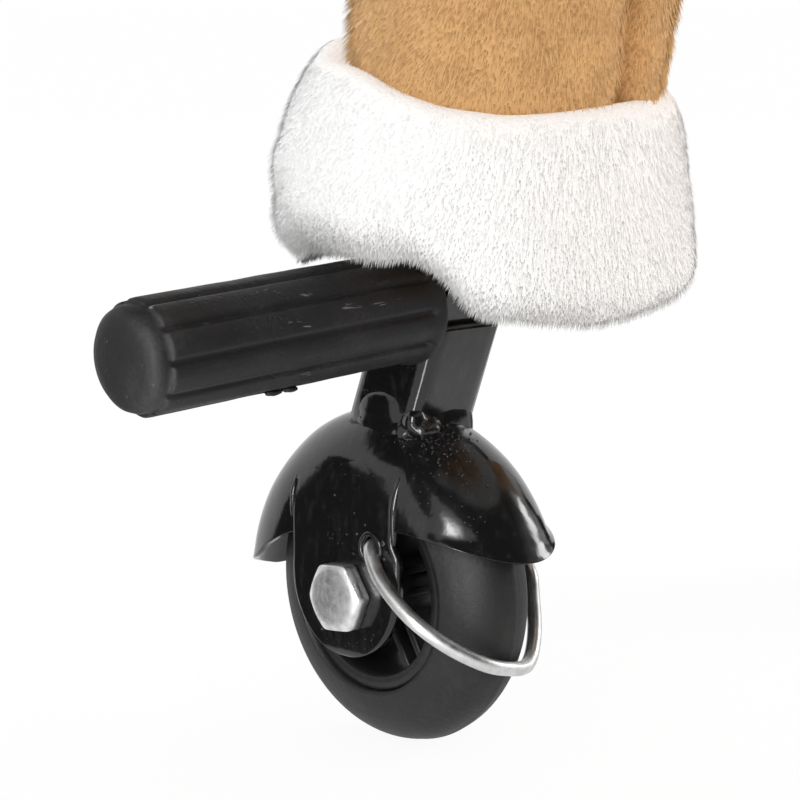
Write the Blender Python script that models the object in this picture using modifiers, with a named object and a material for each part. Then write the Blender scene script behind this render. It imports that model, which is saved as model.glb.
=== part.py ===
"""Plush ride-on horse on four small wheels.

Metres, +Z up. The horse faces -Y and its left side is +X. The origin lies on the floor, under the
middle of the horse. A steel beam carries the saddle and the rear leg frame. A steering stem stands in the
beam's head tube and carries the neck, the head, the handlebar and the front leg frame. Each leg ends in a
pressed fork with a wheel, and a wire hoop that brakes the wheel when it rolls backwards.
"""
import math

import bmesh
import bpy
from mathutils import Matrix, Vector

# Overall layout
TRACK = 0.264
WHEELBASE = 0.560
FRONT_AXLE_Y = -0.2704
HIP_HEIGHT = 0.430
LEG_LEAN = math.radians(21.0)
POST_OFFSET = 0.0156
STEER_LIMIT = math.radians(20.0)

# Clearances
GAP = 0.0003
PLUSH_GAP = 0.0005
SWING_GAP = 0.005

# Wheel
TYRE_RADIUS = 0.045
TYRE_HALF_WIDTH = 0.0148
TYRE_SECTION_HEIGHT = 0.020
RIM_RADIUS = 0.0286
WHEEL_SIDES = 26
TYRE_POINTS = 6
RIM_HALF_WIDTH = 0.0132
RIM_WALL = 0.0040
HUB_BOSS_RADIUS = 0.0105
SPOKE_PAIRS = 5
SPOKE_THICKNESS = 0.0022
SPOKE_SPACING = 0.0062
SPOKE_DEPTH = 0.016

# Axle bolt and nut
BOLT_RADIUS = 0.006
BOLT_FLATS = 0.0182
BOLT_HEAD_HEIGHT = 0.0054
NUT_HEIGHT = 0.0080
BOLT_END = 0.0030
BOLT_CROWN = 0.86
BOLT_TURN = math.radians(5.6)

# Pressed fork and fender
CHEEK_OUTER = 0.0223
CHEEK_THICKNESS = 0.0025
CHEEK_HALF_WIDTH = 0.0215
CHEEK_END_HEIGHT = 0.0050
CHEEK_TOP = 0.0400
CHEEK_STEPS = 7
FENDER_RING = 0.0316
FENDER_TUBE = 0.0220
FENDER_DROP = 0.0024
FENDER_WALL = 0.0018
FENDER_STEPS = 11
FENDER_SECTION_POINTS = 7
REAR_LIP_HEIGHT = 0.0160
FRONT_LIP_HIGH = 0.0150
FRONT_LIP_SLOPE = 0.53

# Socket post on the fork, and the leg tube that stands in it
POST_SIDE = 0.025
POST_BORE = 0.0208
POST_FOOT = 0.046
POST_TOP = 0.0868
TUBE_SIDE = 0.020
TUBE_FOOT = 0.062
WELD_HEIGHT = 0.011
WELD_SPREAD = 0.0042

# Foot peg
PEG_RADIUS = 0.01485
PEG_LENGTH = 0.0970
PEG_AXIS_RISE = 0.082
PEG_DROOP = math.radians(3.4)
PEG_LOBES = 10
PEG_GROOVE = 0.0011
PEG_END_ROUND = 0.006
PEG_END_WALL = 0.008
STUB_RADIUS = 0.008
STUB_SEAT = 0.0015

# Brake hoop
WIRE_RADIUS = 0.0020
HOOP_PIVOT_Y = 0.0107
HOOP_PIVOT_RISE = 0.0152
HOOP_TYRE_GAP = 0.0006
HOOP_DROP_ANGLE = math.radians(-19.0)

# Leg frame and its hip pivot
CROSS_RADIUS = 0.014
CROSS_OVERHANG = 0.012
CROSS_SIDES = 16
BOLT_SIDES = 12
HEAD_SIDES = 8
SLEEVE_WALL = 0.0045
SLEEVE_INNER_X = 0.012
SLEEVE_OUTER_X = 0.040
LEVER_HALF_WIDTH = 0.005
LEVER_LENGTH = 0.066
LEVER_HEIGHT = 0.010

# Main beam and head tube
BEAM_WIDTH = 0.040
BEAM_HEIGHT = 0.040
BEAM_RISE = 0.102
BEAM_TAIL = 0.045
PLATE_THICKNESS = 0.006
BRACKET_LENGTH = 0.036
HEAD_TUBE_RADIUS = 0.021
HEAD_TUBE_DROP = 0.026
HEAD_TUBE_LENGTH = 0.100
SEAT_PLATE = (0.120, 0.190, 0.004)
SEAT_PLATE_MID = 0.280

# Steering stem, handlebar and grips
STEM_RADIUS = 0.0150
STEM_STAND = 0.034
YOKE_HALF_DEPTH = 0.0165
YOKE_INSET = 0.0015
YOKE_RISE = 0.0025
YOKE_THICKNESS = 0.0060
POST_SIDES = 11
COLLAR_HEIGHT = 0.012
HANDLE_Y = -0.030
HANDLE_RISE = 0.305
HANDLE_RADIUS = 0.011
HANDLE_HALF_LENGTH = 0.165
GRIP_RADIUS = 0.0170
GRIP_START = 0.072
GRIP_END_WALL = 0.004
TEE_HALF_LENGTH = 0.028

# Return springs
SPRING_LENGTH = 0.058
SPRING_TURNS = 7
SPRING_RADIUS = 0.0095
SPRING_WIRE = 0.0013
SPRING_REACH = 0.056
SPRING_POINTS = 6
LUG_THICKNESS = 0.005

# Plush body: distance behind the hip, half width, half height and middle's rise above the hip of each section
BARREL_SECTIONS = (
    (0.040, 0.094, 0.092, 0.078),
    (0.130, 0.107, 0.103, 0.072),
    (0.220, 0.113, 0.107, 0.068),
    (0.310, 0.113, 0.107, 0.070),
    (0.375, 0.100, 0.096, 0.074),
    (0.418, 0.070, 0.068, 0.080),
    (0.434, 0.030, 0.030, 0.082),
)
CHEST_SECTIONS = (
    (-0.134, 0.030, 0.034, 0.062),
    (-0.117, 0.064, 0.070, 0.065),
    (-0.070, 0.090, 0.094, 0.072),
    (0.000, 0.102, 0.101, 0.077),
    (0.080, 0.106, 0.102, 0.076),
    (0.190, 0.108, 0.103, 0.072),
)
SEAM_RADIUS = 0.160
BODY_SIDES = 10
SEAM_SIDES = 22
POCKET_SIDES = 14
BELLY_SLOT_HALF_WIDTH = 0.047
BELLY_SLOT_START = 0.028
BELLY_SLOT_SPARE = 0.014
BELLY_SLOT_DEPTH = 0.12
SEAM_MARGIN = 0.10

# Neck: distance along its drawn length, half width and half depth
NECK_FOOT_Y = 0.020
NECK_FOOT_RISE = 0.140
NECK_TOP_Y = -0.052
NECK_TOP_ABOVE_BAR = 0.065
NECK_DRAWN_LENGTH = 0.241
NECK_SECTIONS = (
    (0.000, 0.084, 0.108),
    (0.060, 0.076, 0.096),
    (0.120, 0.065, 0.082),
    (0.180, 0.057, 0.071),
    (0.235, 0.050, 0.062),
    (0.262, 0.030, 0.038),
)

# Head: distance from the poll towards the muzzle, half width and half depth
POLL_Y = 0.002
POLL_ABOVE_BAR = 0.117
MUZZLE_Y = -0.213
MUZZLE_BELOW_BAR = 0.043
HEAD_SECTIONS = (
    (-0.012, 0.026, 0.030),
    (0.008, 0.050, 0.056),
    (0.050, 0.061, 0.069),
    (0.100, 0.058, 0.064),
    (0.150, 0.048, 0.048),
    (0.200, 0.042, 0.041),
    (0.245, 0.042, 0.040),
    (0.272, 0.028, 0.026),
)
EYE_ALONG = 0.088
EYE_RAISE = 0.020
EYE_RADIUS = 0.0125
EYE_SIDE = 0.0515
EAR_ALONG = 0.018
EAR_RAISE = 0.038
EAR_SPREAD = 0.036
EAR_HEIGHT = 0.078
EAR_HALF_WIDTH = 0.021
EAR_HALF_DEPTH = 0.013

# Mane: distance behind the hip line, rise above the neck's foot as drawn, half width and half depth
MANE_DRAWN_RISE = 0.282
MANE_PATH = (
    (0.112, 0.058, 0.014, 0.016),
    (0.094, 0.090, 0.021, 0.028),
    (0.054, 0.162, 0.022, 0.032),
    (0.024, 0.242, 0.021, 0.031),
    (0.006, 0.302, 0.019, 0.026),
    (-0.030, 0.335, 0.016, 0.020),
    (-0.062, 0.332, 0.010, 0.012),
)
# Tail: distance behind the barrel's end, rise above the hip, half width and half depth
TAIL_PATH = (
    (-0.031, 0.118, 0.013, 0.013),
    (0.007, 0.116, 0.020, 0.019),
    (0.035, 0.075, 0.027, 0.025),
    (0.041, 0.010, 0.032, 0.030),
    (0.033, -0.070, 0.030, 0.028),
    (0.021, -0.140, 0.014, 0.014),
)

# Plush leg: distance from the axle along the post, half width and half depth
LEG_SECTIONS = (
    (0.1180, 0.0440, 0.0450),
    (0.2300, 0.0465, 0.0495),
    (0.3400, 0.0455, 0.0660),
    (0.4200, 0.0430, 0.0770),
    (0.4650, 0.0370, 0.0620),
    (0.4880, 0.0200, 0.0340),
)
LEG_SIDES = 8
HIP_POCKET_RADIUS = 0.092
HIP_POCKET_X = 0.078

# White sock: distance from the axle along the post, half width and half depth
SOCK_SECTIONS = (
    (0.0885, 0.0500, 0.0520),
    (0.0960, 0.0620, 0.0640),
    (0.1420, 0.0620, 0.0640),
    (0.1600, 0.0500, 0.0515),
)
SOCK_HEM_TILT = 0.24
REAR_HEM_TILT = 0.06

# Saddle, girth and bridle
SADDLE_PADDING = (
    (0.160, 0.034),
    (0.185, 0.030),
    (0.220, 0.018),
    (0.275, 0.015),
    (0.330, 0.022),
    (0.370, 0.042),
    (0.392, 0.040),
)
SADDLE_SIDE_PADDING = 0.008
SADDLE_OUTLINE = (
    (0.1690, 0.2600),
    (0.1685, 0.1450),
    (0.1800, 0.1150),
    (0.1840, 0.0700),
    (0.1960, 0.0480),
    (0.2160, 0.0480),
    (0.2320, 0.0720),
    (0.2440, 0.1150),
    (0.2900, 0.1360),
    (0.3860, 0.1500),
    (0.3880, 0.2600),
)
GIRTH_THICKNESS = 0.0040
GIRTH_FRONT = 0.190
GIRTH_WIDTH = 0.032
GIRTH_TOP_RISE = 0.0465
BRIDLE_THICKNESS = 0.0040
STRAP_WIDTH = 0.013
NOSEBAND_ALONG = 0.178
HEADSTALL_ALONG = 0.052

# Derived sizes
AXLE_HEIGHT = TYRE_RADIUS * math.cos(math.pi / WHEEL_SIDES)
HIP_RISE = HIP_HEIGHT - AXLE_HEIGHT
HIP_REACH = HIP_RISE * math.tan(LEG_LEAN) - POST_OFFSET
HIP_ALONG = HIP_RISE / math.cos(LEG_LEAN)
REAR_AXLE_Y = FRONT_AXLE_Y + WHEELBASE
FRONT_HIP_Y = FRONT_AXLE_Y + HIP_REACH
REAR_HIP_Y = REAR_AXLE_Y - HIP_REACH
HALF_TRACK = TRACK / 2
CHEEK_INNER = CHEEK_OUTER - CHEEK_THICKNESS
PEG_SEAT = GAP + PEG_RADIUS * math.tan(PEG_DROOP)
SLEEVE_BORE = (CROSS_RADIUS + GAP) / math.cos(math.pi / CROSS_SIDES)
SLEEVE_RADIUS = SLEEVE_BORE + SLEEVE_WALL
STEM_BORE = (STEM_RADIUS + GAP) / math.cos(math.pi / CROSS_SIDES)
BEAM_BOTTOM = HIP_HEIGHT + BEAM_RISE
BEAM_TOP = BEAM_BOTTOM + BEAM_HEIGHT
HEAD_TUBE_BOTTOM = BEAM_BOTTOM - HEAD_TUBE_DROP
HEAD_TUBE_TOP = HEAD_TUBE_BOTTOM + HEAD_TUBE_LENGTH
STEM_TOP = HEAD_TUBE_TOP + STEM_STAND
HANDLE_HEIGHT = HIP_HEIGHT + HANDLE_RISE
NECK_FOOT = (NECK_FOOT_Y, HIP_HEIGHT + NECK_FOOT_RISE)
NECK_TOP = (NECK_TOP_Y, HANDLE_HEIGHT + NECK_TOP_ABOVE_BAR)
NECK_LENGTH = math.hypot(NECK_TOP[0] - NECK_FOOT[0], NECK_TOP[1] - NECK_FOOT[1])
POLL = (POLL_Y, HANDLE_HEIGHT + POLL_ABOVE_BAR)
MUZZLE = (MUZZLE_Y, HANDLE_HEIGHT - MUZZLE_BELOW_BAR)
LUG_BOTTOM = HIP_HEIGHT + LEVER_HEIGHT / 2 + SPRING_LENGTH + 2 * GAP

# Turns a shape's own Z axis onto X, its X axis onto Y and its Y axis onto Z
ACROSS = Matrix(((0, 0, 1, 0), (1, 0, 0, 0), (0, 1, 0, 0), (0, 0, 0, 1)))


def clear_scene():
    """Remove what the file holds at the start."""
    for obj in list(bpy.data.objects):
        bpy.data.objects.remove(obj)


def new_collection(name):
    """Make a collection under the scene's own."""
    collection = bpy.data.collections.new(name)
    bpy.context.scene.collection.children.link(collection)
    return collection


def make_material(name, colour, roughness, metallic=0.0):
    """Make a plain Principled material."""
    material = bpy.data.materials.new(name)
    material.use_nodes = True
    shader = material.node_tree.nodes["Principled BSDF"]
    shader.inputs["Base Color"].default_value = (*colour, 1.0)
    shader.inputs["Roughness"].default_value = roughness
    shader.inputs["Metallic"].default_value = metallic
    material.diffuse_color = (*colour, 1.0)
    return material


clear_scene()
PARTS = new_collection("ride_on_horse")
CUTTERS = new_collection("cutters")
FINISH = {
    "tan_plush": ((0.60, 0.37, 0.17), 0.95, 0.0),
    "white_plush": ((0.86, 0.86, 0.85), 0.95, 0.0),
    "mane": ((0.80, 0.72, 0.56), 0.9, 0.0),
    "saddle": ((0.16, 0.07, 0.035), 0.55, 0.0),
    "black_steel": ((0.012, 0.012, 0.012), 0.25, 0.3),
    "zinc": ((0.70, 0.72, 0.73), 0.3, 1.0),
    "spring_steel": ((0.45, 0.46, 0.47), 0.35, 1.0),
    "tyre": ((0.030, 0.030, 0.031), 0.8, 0.0),
    "hub": ((0.018, 0.018, 0.018), 0.45, 0.0),
    "rubber": ((0.022, 0.021, 0.019), 0.75, 0.0),
    "eye": ((0.02, 0.012, 0.008), 0.08, 0.0),
}


def finish(obj, kind):
    """Give a finished node its own material and put it with the parts."""
    colour, roughness, metallic = FINISH[kind]
    obj.data.materials.clear()
    obj.data.materials.append(make_material(obj.name, colour, roughness, metallic))
    for collection in list(obj.users_collection):
        collection.objects.unlink(obj)
    PARTS.objects.link(obj)
    return obj


def add_mesh(name, bm):
    """Make an object from a bmesh, with its faces pointing outwards, among the cutters."""
    bmesh.ops.recalc_face_normals(bm, faces=bm.faces)
    mesh = bpy.data.meshes.new(name)
    bm.to_mesh(mesh)
    bm.free()
    obj = bpy.data.objects.new(name, mesh)
    CUTTERS.objects.link(obj)
    return obj


def box(name, low, high):
    """A box between two corners."""
    bm = bmesh.new()
    bmesh.ops.create_cube(bm, size=1.0)
    size = [b - a for a, b in zip(low, high)]
    middle = [(a + b) / 2 for a, b in zip(low, high)]
    bmesh.ops.scale(bm, vec=size, verts=bm.verts)
    bmesh.ops.translate(bm, vec=middle, verts=bm.verts)
    return add_mesh(name, bm)


def rod(name, start, end, radius, sides=CROSS_SIDES, end_radius=None):
    """A round bar or a cone between two points, with a facet facing its first side."""
    start = Vector(start)
    axis = Vector(end) - start
    bm = bmesh.new()
    bmesh.ops.create_cone(bm, cap_ends=True, segments=sides, radius1=radius,
                          radius2=radius if end_radius is None else end_radius, depth=axis.length)
    turn = axis.to_track_quat("Z", "Y").to_matrix().to_4x4()
    place = Matrix.Translation(start + axis / 2) @ turn
    bmesh.ops.transform(bm, matrix=place, verts=bm.verts)
    return add_mesh(name, bm)


def turned(name, profile, sides, closed=False, angle=2 * math.pi):
    """Turn a profile of (radius, height) about Z. It runs down its outer side, top to bottom."""
    bm = bmesh.new()
    points = [bm.verts.new((radius, 0.0, height)) for radius, height in profile]
    for first, second in zip(points, points[1:]):
        bm.edges.new((first, second))
    if closed:
        bm.edges.new((points[-1], points[0]))
    mesh = bpy.data.meshes.new(name)
    bm.to_mesh(mesh)
    bm.free()
    obj = bpy.data.objects.new(name, mesh)
    CUTTERS.objects.link(obj)
    screw = obj.modifiers.new("Turn", "SCREW")
    screw.angle = angle
    screw.steps = sides
    screw.render_steps = sides
    screw.use_merge_vertices = True
    screw.merge_threshold = 0.00001
    return obj


def outline(name, points, thickness):
    """A flat outline in the Y-Z plane, given a thickness along X, as a mesh."""
    curve = bpy.data.curves.new(name, "CURVE")
    curve.dimensions = "2D"
    curve.fill_mode = "BOTH"
    curve.extrude = thickness / 2
    spline = curve.splines.new("POLY")
    spline.points.add(len(points) - 1)
    for slot, (y, z) in zip(spline.points, points):
        slot.co = (y, z, 0.0, 1.0)
    spline.use_cyclic_u = True
    obj = bpy.data.objects.new(name, curve)
    CUTTERS.objects.link(obj)
    obj.matrix_world = ACROSS
    return as_mesh(obj, name)


def wire(name, points, radius, bevel_resolution, cyclic=False):
    """A round wire through a list of points."""
    curve = bpy.data.curves.new(name, "CURVE")
    curve.dimensions = "3D"
    curve.bevel_depth = radius
    curve.bevel_resolution = bevel_resolution
    curve.use_fill_caps = not cyclic
    spline = curve.splines.new("POLY")
    spline.points.add(len(points) - 1)
    for slot, point in zip(spline.points, points):
        slot.co = (*point, 1.0)
    spline.use_cyclic_u = cyclic
    obj = bpy.data.objects.new(name, curve)
    CUTTERS.objects.link(obj)
    return as_mesh(obj, name)


def take_mesh(obj):
    """Keep an object's mesh and remove the object."""
    mesh = obj.data
    bpy.data.objects.remove(obj)
    return mesh


def as_mesh(obj, name):
    """Turn an object with its modifiers into a plain mesh object in place, and remove the first one."""
    bpy.context.view_layer.update()
    evaluated = obj.evaluated_get(bpy.context.evaluated_depsgraph_get())
    mesh = bpy.data.meshes.new_from_object(evaluated)
    place = obj.matrix_world.copy()
    bpy.data.objects.remove(obj)
    bm = bmesh.new()
    bm.from_mesh(mesh)
    bmesh.ops.remove_doubles(bm, verts=bm.verts, dist=0.000005)
    bmesh.ops.transform(bm, matrix=place, verts=bm.verts)
    bpy.data.meshes.remove(mesh)
    return add_mesh(name, bm)


def modify(target, other, operation):
    """Cut, join or intersect one mesh with another."""
    change = target.modifiers.new(operation.title(), "BOOLEAN")
    change.operation = operation
    change.solver = "EXACT"
    change.object = other
    other.hide_render = True
    other.display_type = "WIRE"
    return target


def cut(target, *others):
    """Cut each of the others away."""
    for other in others:
        modify(target, other, "DIFFERENCE")
    return target


def join(target, *others):
    """Join each of the others on."""
    for other in others:
        modify(target, other, "UNION")
    return target


def keep(target, other):
    """Keep only what lies inside the other."""
    return modify(target, other, "INTERSECT")


def swept_cage(name, rings, sides, levels=1):
    """A form through rings of (middle, first half axis, second half axis), rounded by subdivision if soft."""
    fill = 1.0 / math.cos(math.pi / sides) if levels else 1.0
    bm = bmesh.new()
    loops = []
    for middle, first, second in rings:
        middle = Vector(middle)
        loop = []
        for step in range(sides):
            turn = 2 * math.pi * (step + 0.5) / sides
            offset = Vector(first) * math.cos(turn) + Vector(second) * math.sin(turn)
            loop.append(bm.verts.new(middle + offset * fill))
        loops.append(loop)
    for low, high in zip(loops, loops[1:]):
        for step in range(sides):
            after = (step + 1) % sides
            bm.faces.new((low[step], low[after], high[after], high[step]))
    bm.faces.new(loops[0])
    bm.faces.new(loops[-1])
    obj = add_mesh(name, bm)
    if not levels:
        return obj
    obj.data.shade_smooth()
    soft = obj.modifiers.new("Round", "SUBSURF")
    soft.levels = levels
    soft.render_levels = levels
    return obj


def lengthwise_rings(sections, grow=0.0, hip_y=FRONT_HIP_Y):
    """Rings square to Y for the barrel and the chest."""
    rings = []
    for along, half_width, half_height, rise in sections:
        rings.append(((0.0, hip_y + along, HIP_HEIGHT + rise), (half_width + grow, 0.0, 0.0),
                      (0.0, 0.0, half_height + grow)))
    return rings


def axis_rings(sections, foot, top, grow=0.0, stretch=1.0):
    """Rings square to a line in the X = 0 plane, from foot towards top, with their distances stretched."""
    start = Vector((0.0, FRONT_HIP_Y + foot[0], foot[1]))
    along = (Vector((0.0, FRONT_HIP_Y + top[0], top[1])) - start).normalized()
    side = Vector((1.0, 0.0, 0.0))
    depth = side.cross(along)
    rings = []
    for distance, half_width, half_depth in sections:
        rings.append((start + along * distance * stretch, side * (half_width + grow), depth * (half_depth + grow)))
    return rings


def path_rings(path, base_y, grow=0.0):
    """Rings square to a bent path in the X = 0 plane."""
    middles = [Vector((0.0, base_y + y, z)) for y, z, _, _ in path]
    rings = []
    for index, (_, _, half_width, half_depth) in enumerate(path):
        before = middles[max(index - 1, 0)]
        after = middles[min(index + 1, len(middles) - 1)]
        along = (after - before).normalized()
        side = Vector((1.0, 0.0, 0.0))
        rings.append((middles[index], side * (half_width + grow), side.cross(along) * (half_depth + grow)))
    return rings


def leg_point(side, end, along, across=0.0, outward=0.0):
    """A point by its distance along the post from the axle, and its offsets across it and outwards."""
    axle_y = FRONT_AXLE_Y if end > 0 else REAR_AXLE_Y
    foot = Vector((side * (HALF_TRACK + outward), axle_y - end * POST_OFFSET, AXLE_HEIGHT))
    up = Vector((0.0, end * math.sin(LEG_LEAN), math.cos(LEG_LEAN)))
    back = Vector((0.0, end * math.cos(LEG_LEAN), -math.sin(LEG_LEAN)))
    return foot + up * along + back * across


def leg_rings(sections, side, end, grow=0.0, tilt=0.0):
    """Rings square to the post for the plush leg and the sock. A tilt lifts their outer sides."""
    across = leg_point(side, end, 0.0, 1.0) - leg_point(side, end, 0.0)
    up = leg_point(side, end, 1.0) - leg_point(side, end, 0.0)
    last = len(sections) - 1
    rings = []
    for index, (along, half_width, half_depth) in enumerate(sections):
        lift = tilt * (1.0 - index / last)
        along += grow * ((index == last) - (index == 0))
        first = (Vector((side, 0.0, 0.0)) + up * lift) * (half_width + grow)
        rings.append((leg_point(side, end, along), first, across * (half_depth + grow)))
    return rings


def post_box(name, side, end, width, low, high):
    """A square bar along the post."""
    bar = box(name, (-width / 2, -width / 2, low), (width / 2, width / 2, high))
    foot = leg_point(side, end, 0.0)
    bar.data.transform(Matrix.Translation(foot) @ Matrix.Rotation(-end * LEG_LEAN, 4, "X"))
    return bar


def peg_axis(side, distance):
    """A point on the foot peg's axis, by its distance from the post's outer face."""
    start = leg_point(side, 1, PEG_AXIS_RISE / math.cos(LEG_LEAN), outward=POST_SIDE / 2)
    return start + Vector((side * math.cos(PEG_DROOP), 0.0, -math.sin(PEG_DROOP))) * distance


def build_tyre_mesh():
    """Tyre with an oval section, which meets the hub at the rim radius."""
    middle = TYRE_RADIUS - TYRE_SECTION_HEIGHT
    start = math.asin((RIM_RADIUS - middle) / TYRE_SECTION_HEIGHT)
    step = (math.pi - 2 * start) / (TYRE_POINTS - 1)
    profile = []
    for index in range(TYRE_POINTS):
        turn = start + index * step
        profile.append((middle + TYRE_SECTION_HEIGHT * math.sin(turn), TYRE_HALF_WIDTH * math.cos(turn)))
    crown = max(radius for radius, _ in profile)
    profile = [(radius + (TYRE_RADIUS - crown if radius > crown - GAP else 0.0), x) for radius, x in profile]
    return take_mesh(as_mesh(turned("tyre_form", profile, WHEEL_SIDES, closed=True), "tyre_form"))


def build_hub_mesh():
    """Plastic hub: an outer rim, a boss with the axle's bore, and pairs of thin spokes."""
    rim_outer = RIM_RADIUS - GAP
    rim_inner = rim_outer - RIM_WALL
    boss_half = CHEEK_INNER - GAP
    bore = (BOLT_RADIUS + GAP) / math.cos(math.pi / BOLT_SIDES)
    hub = as_mesh(turned("hub_form", [(rim_outer, RIM_HALF_WIDTH), (rim_outer, -RIM_HALF_WIDTH),
                                      (rim_inner, -RIM_HALF_WIDTH), (rim_inner, RIM_HALF_WIDTH)],
                         WHEEL_SIDES, closed=True), "hub_form")
    boss = rod("hub_boss", (0, 0, -boss_half), (0, 0, boss_half), HUB_BOSS_RADIUS, BOLT_SIDES)
    hole = rod("hub_bore", (0, 0, -2 * boss_half), (0, 0, 2 * boss_half), bore, BOLT_SIDES)
    for pair in range(SPOKE_PAIRS):
        for half in (-0.5, 0.5):
            middle = half * SPOKE_SPACING
            spoke = box("spoke", (BOLT_RADIUS + SPOKE_THICKNESS, middle - SPOKE_THICKNESS / 2, -SPOKE_DEPTH / 2),
                        (rim_inner + RIM_WALL / 2, middle + SPOKE_THICKNESS / 2, SPOKE_DEPTH / 2))
            spoke.data.transform(Matrix.Rotation(2 * math.pi * pair / SPOKE_PAIRS, 4, "Z"))
            join(hub, spoke)
    join(hub, boss)
    cut(hub, hole)
    return take_mesh(as_mesh(hub, "hub_form"))


def wheel_place(side, end):
    """Where a wheel's own Z axis becomes the axle, with a facet of the tread on the floor."""
    axle_y = FRONT_AXLE_Y if end > 0 else REAR_AXLE_Y
    move = Matrix.Translation((side * HALF_TRACK, axle_y, AXLE_HEIGHT))
    return move @ ACROSS @ Matrix.Rotation(math.pi / WHEEL_SIDES - math.pi / 2, 4, "Z")


def build_wheels(label, side, end, tyre_mesh, hub_mesh):
    """One wheel's tyre and hub, which share their meshes with the other wheels."""
    for part, mesh, kind in (("tyre", tyre_mesh, "tyre"), ("hub", hub_mesh, "hub")):
        obj = bpy.data.objects.new(f"{label}_{part}", mesh.copy())
        CUTTERS.objects.link(obj)
        obj.data.set_sharp_from_angle(angle=math.radians(40))
        obj.matrix_world = wheel_place(side, end)
        finish(obj, kind)


def build_axle(label, side, end):
    """Hexagon bolt through the fork's cheeks and the hub, head outwards, with its nut inside."""
    axle_y = FRONT_AXLE_Y if end > 0 else REAR_AXLE_Y
    hex_radius = BOLT_FLATS / math.sqrt(3)

    def along(distance):
        return (side * (HALF_TRACK + distance), axle_y, AXLE_HEIGHT)

    seat = CHEEK_OUTER + GAP
    end_x = seat + NUT_HEIGHT + BOLT_END
    chamfer = BOLT_HEAD_HEIGHT * 0.25
    head_top = seat + BOLT_HEAD_HEIGHT
    corner = BOLT_TURN - math.pi / 6
    first = Vector((0.0, math.cos(corner), math.sin(corner))) * hex_radius
    second = Vector((0.0, -math.sin(corner), math.cos(corner))) * hex_radius
    stations = ((seat, 1.0), (head_top - chamfer, 1.0), (head_top, BOLT_CROWN))
    rings = [(along(distance), first * size, second * size) for distance, size in stations]
    bolt = swept_cage(f"{label}_axle_bolt", rings, 6, levels=0)
    shank = rod("bolt_shank", along(head_top - 2 * chamfer), along(-end_x), BOLT_RADIUS, BOLT_SIDES)
    finish(join(bolt, shank), "zinc")
    rings = [(along(-seat - distance), first, second) for distance in (0.0, NUT_HEIGHT)]
    nut = swept_cage(f"{label}_axle_nut", rings, 6, levels=0)
    thread = (BOLT_RADIUS + GAP) / math.cos(math.pi / BOLT_SIDES)
    hole = rod("nut_thread", along(0), along(-end_x), thread, BOLT_SIDES)
    finish(cut(nut, hole), "zinc")


def fender_shell():
    """Pressed fender: an arched section turned about the axle over the wheel's top, with its wall."""
    profile = []
    for index in range(FENDER_SECTION_POINTS):
        turn = math.radians(92.0) * (1.0 - 2.0 * index / (FENDER_SECTION_POINTS - 1))
        profile.append((FENDER_RING + FENDER_TUBE * math.cos(turn), FENDER_TUBE * math.sin(turn)))
    shell = turned("fender_form", profile, FENDER_STEPS, angle=math.radians(215.0))
    wall = shell.modifiers.new("Wall", "SOLIDIFY")
    wall.thickness = FENDER_WALL
    wall.offset = -1.0
    shell.matrix_world = ACROSS @ Matrix.Rotation(math.radians(-15.0), 4, "Z")
    return as_mesh(shell, "fender_form")


def fender_room(centre, depth):
    """The space under the fender, up to a depth in its wall, which trims what is welded on top."""
    tube = FENDER_TUBE - depth
    profile = [(0.0, tube)]
    for index in range(FENDER_SECTION_POINTS):
        turn = math.radians(90.0) * (1.0 - 2.0 * index / (FENDER_SECTION_POINTS - 1))
        profile.append((FENDER_RING + tube * math.cos(turn), tube * math.sin(turn)))
    profile.append((0.0, -tube))
    room = turned("fender_room", profile, 2 * FENDER_STEPS)
    room.matrix_world = Matrix.Translation(centre - Vector((0, 0, FENDER_DROP))) @ ACROSS
    return as_mesh(room, "fender_room")


def cheek_points():
    """Side outline of a cheek: a flat tongue with a half-round lower end."""
    points = [(CHEEK_HALF_WIDTH * 0.84, CHEEK_TOP), (-CHEEK_HALF_WIDTH * 0.84, CHEEK_TOP),
              (-CHEEK_HALF_WIDTH, CHEEK_TOP * 0.62)]
    for step in range(CHEEK_STEPS + 1):
        turn = math.pi * (1.0 + step / CHEEK_STEPS)
        points.append((CHEEK_HALF_WIDTH * math.cos(turn), CHEEK_END_HEIGHT + CHEEK_HALF_WIDTH * math.sin(turn)))
    points.append((CHEEK_HALF_WIDTH, CHEEK_TOP * 0.62))
    return points


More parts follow.
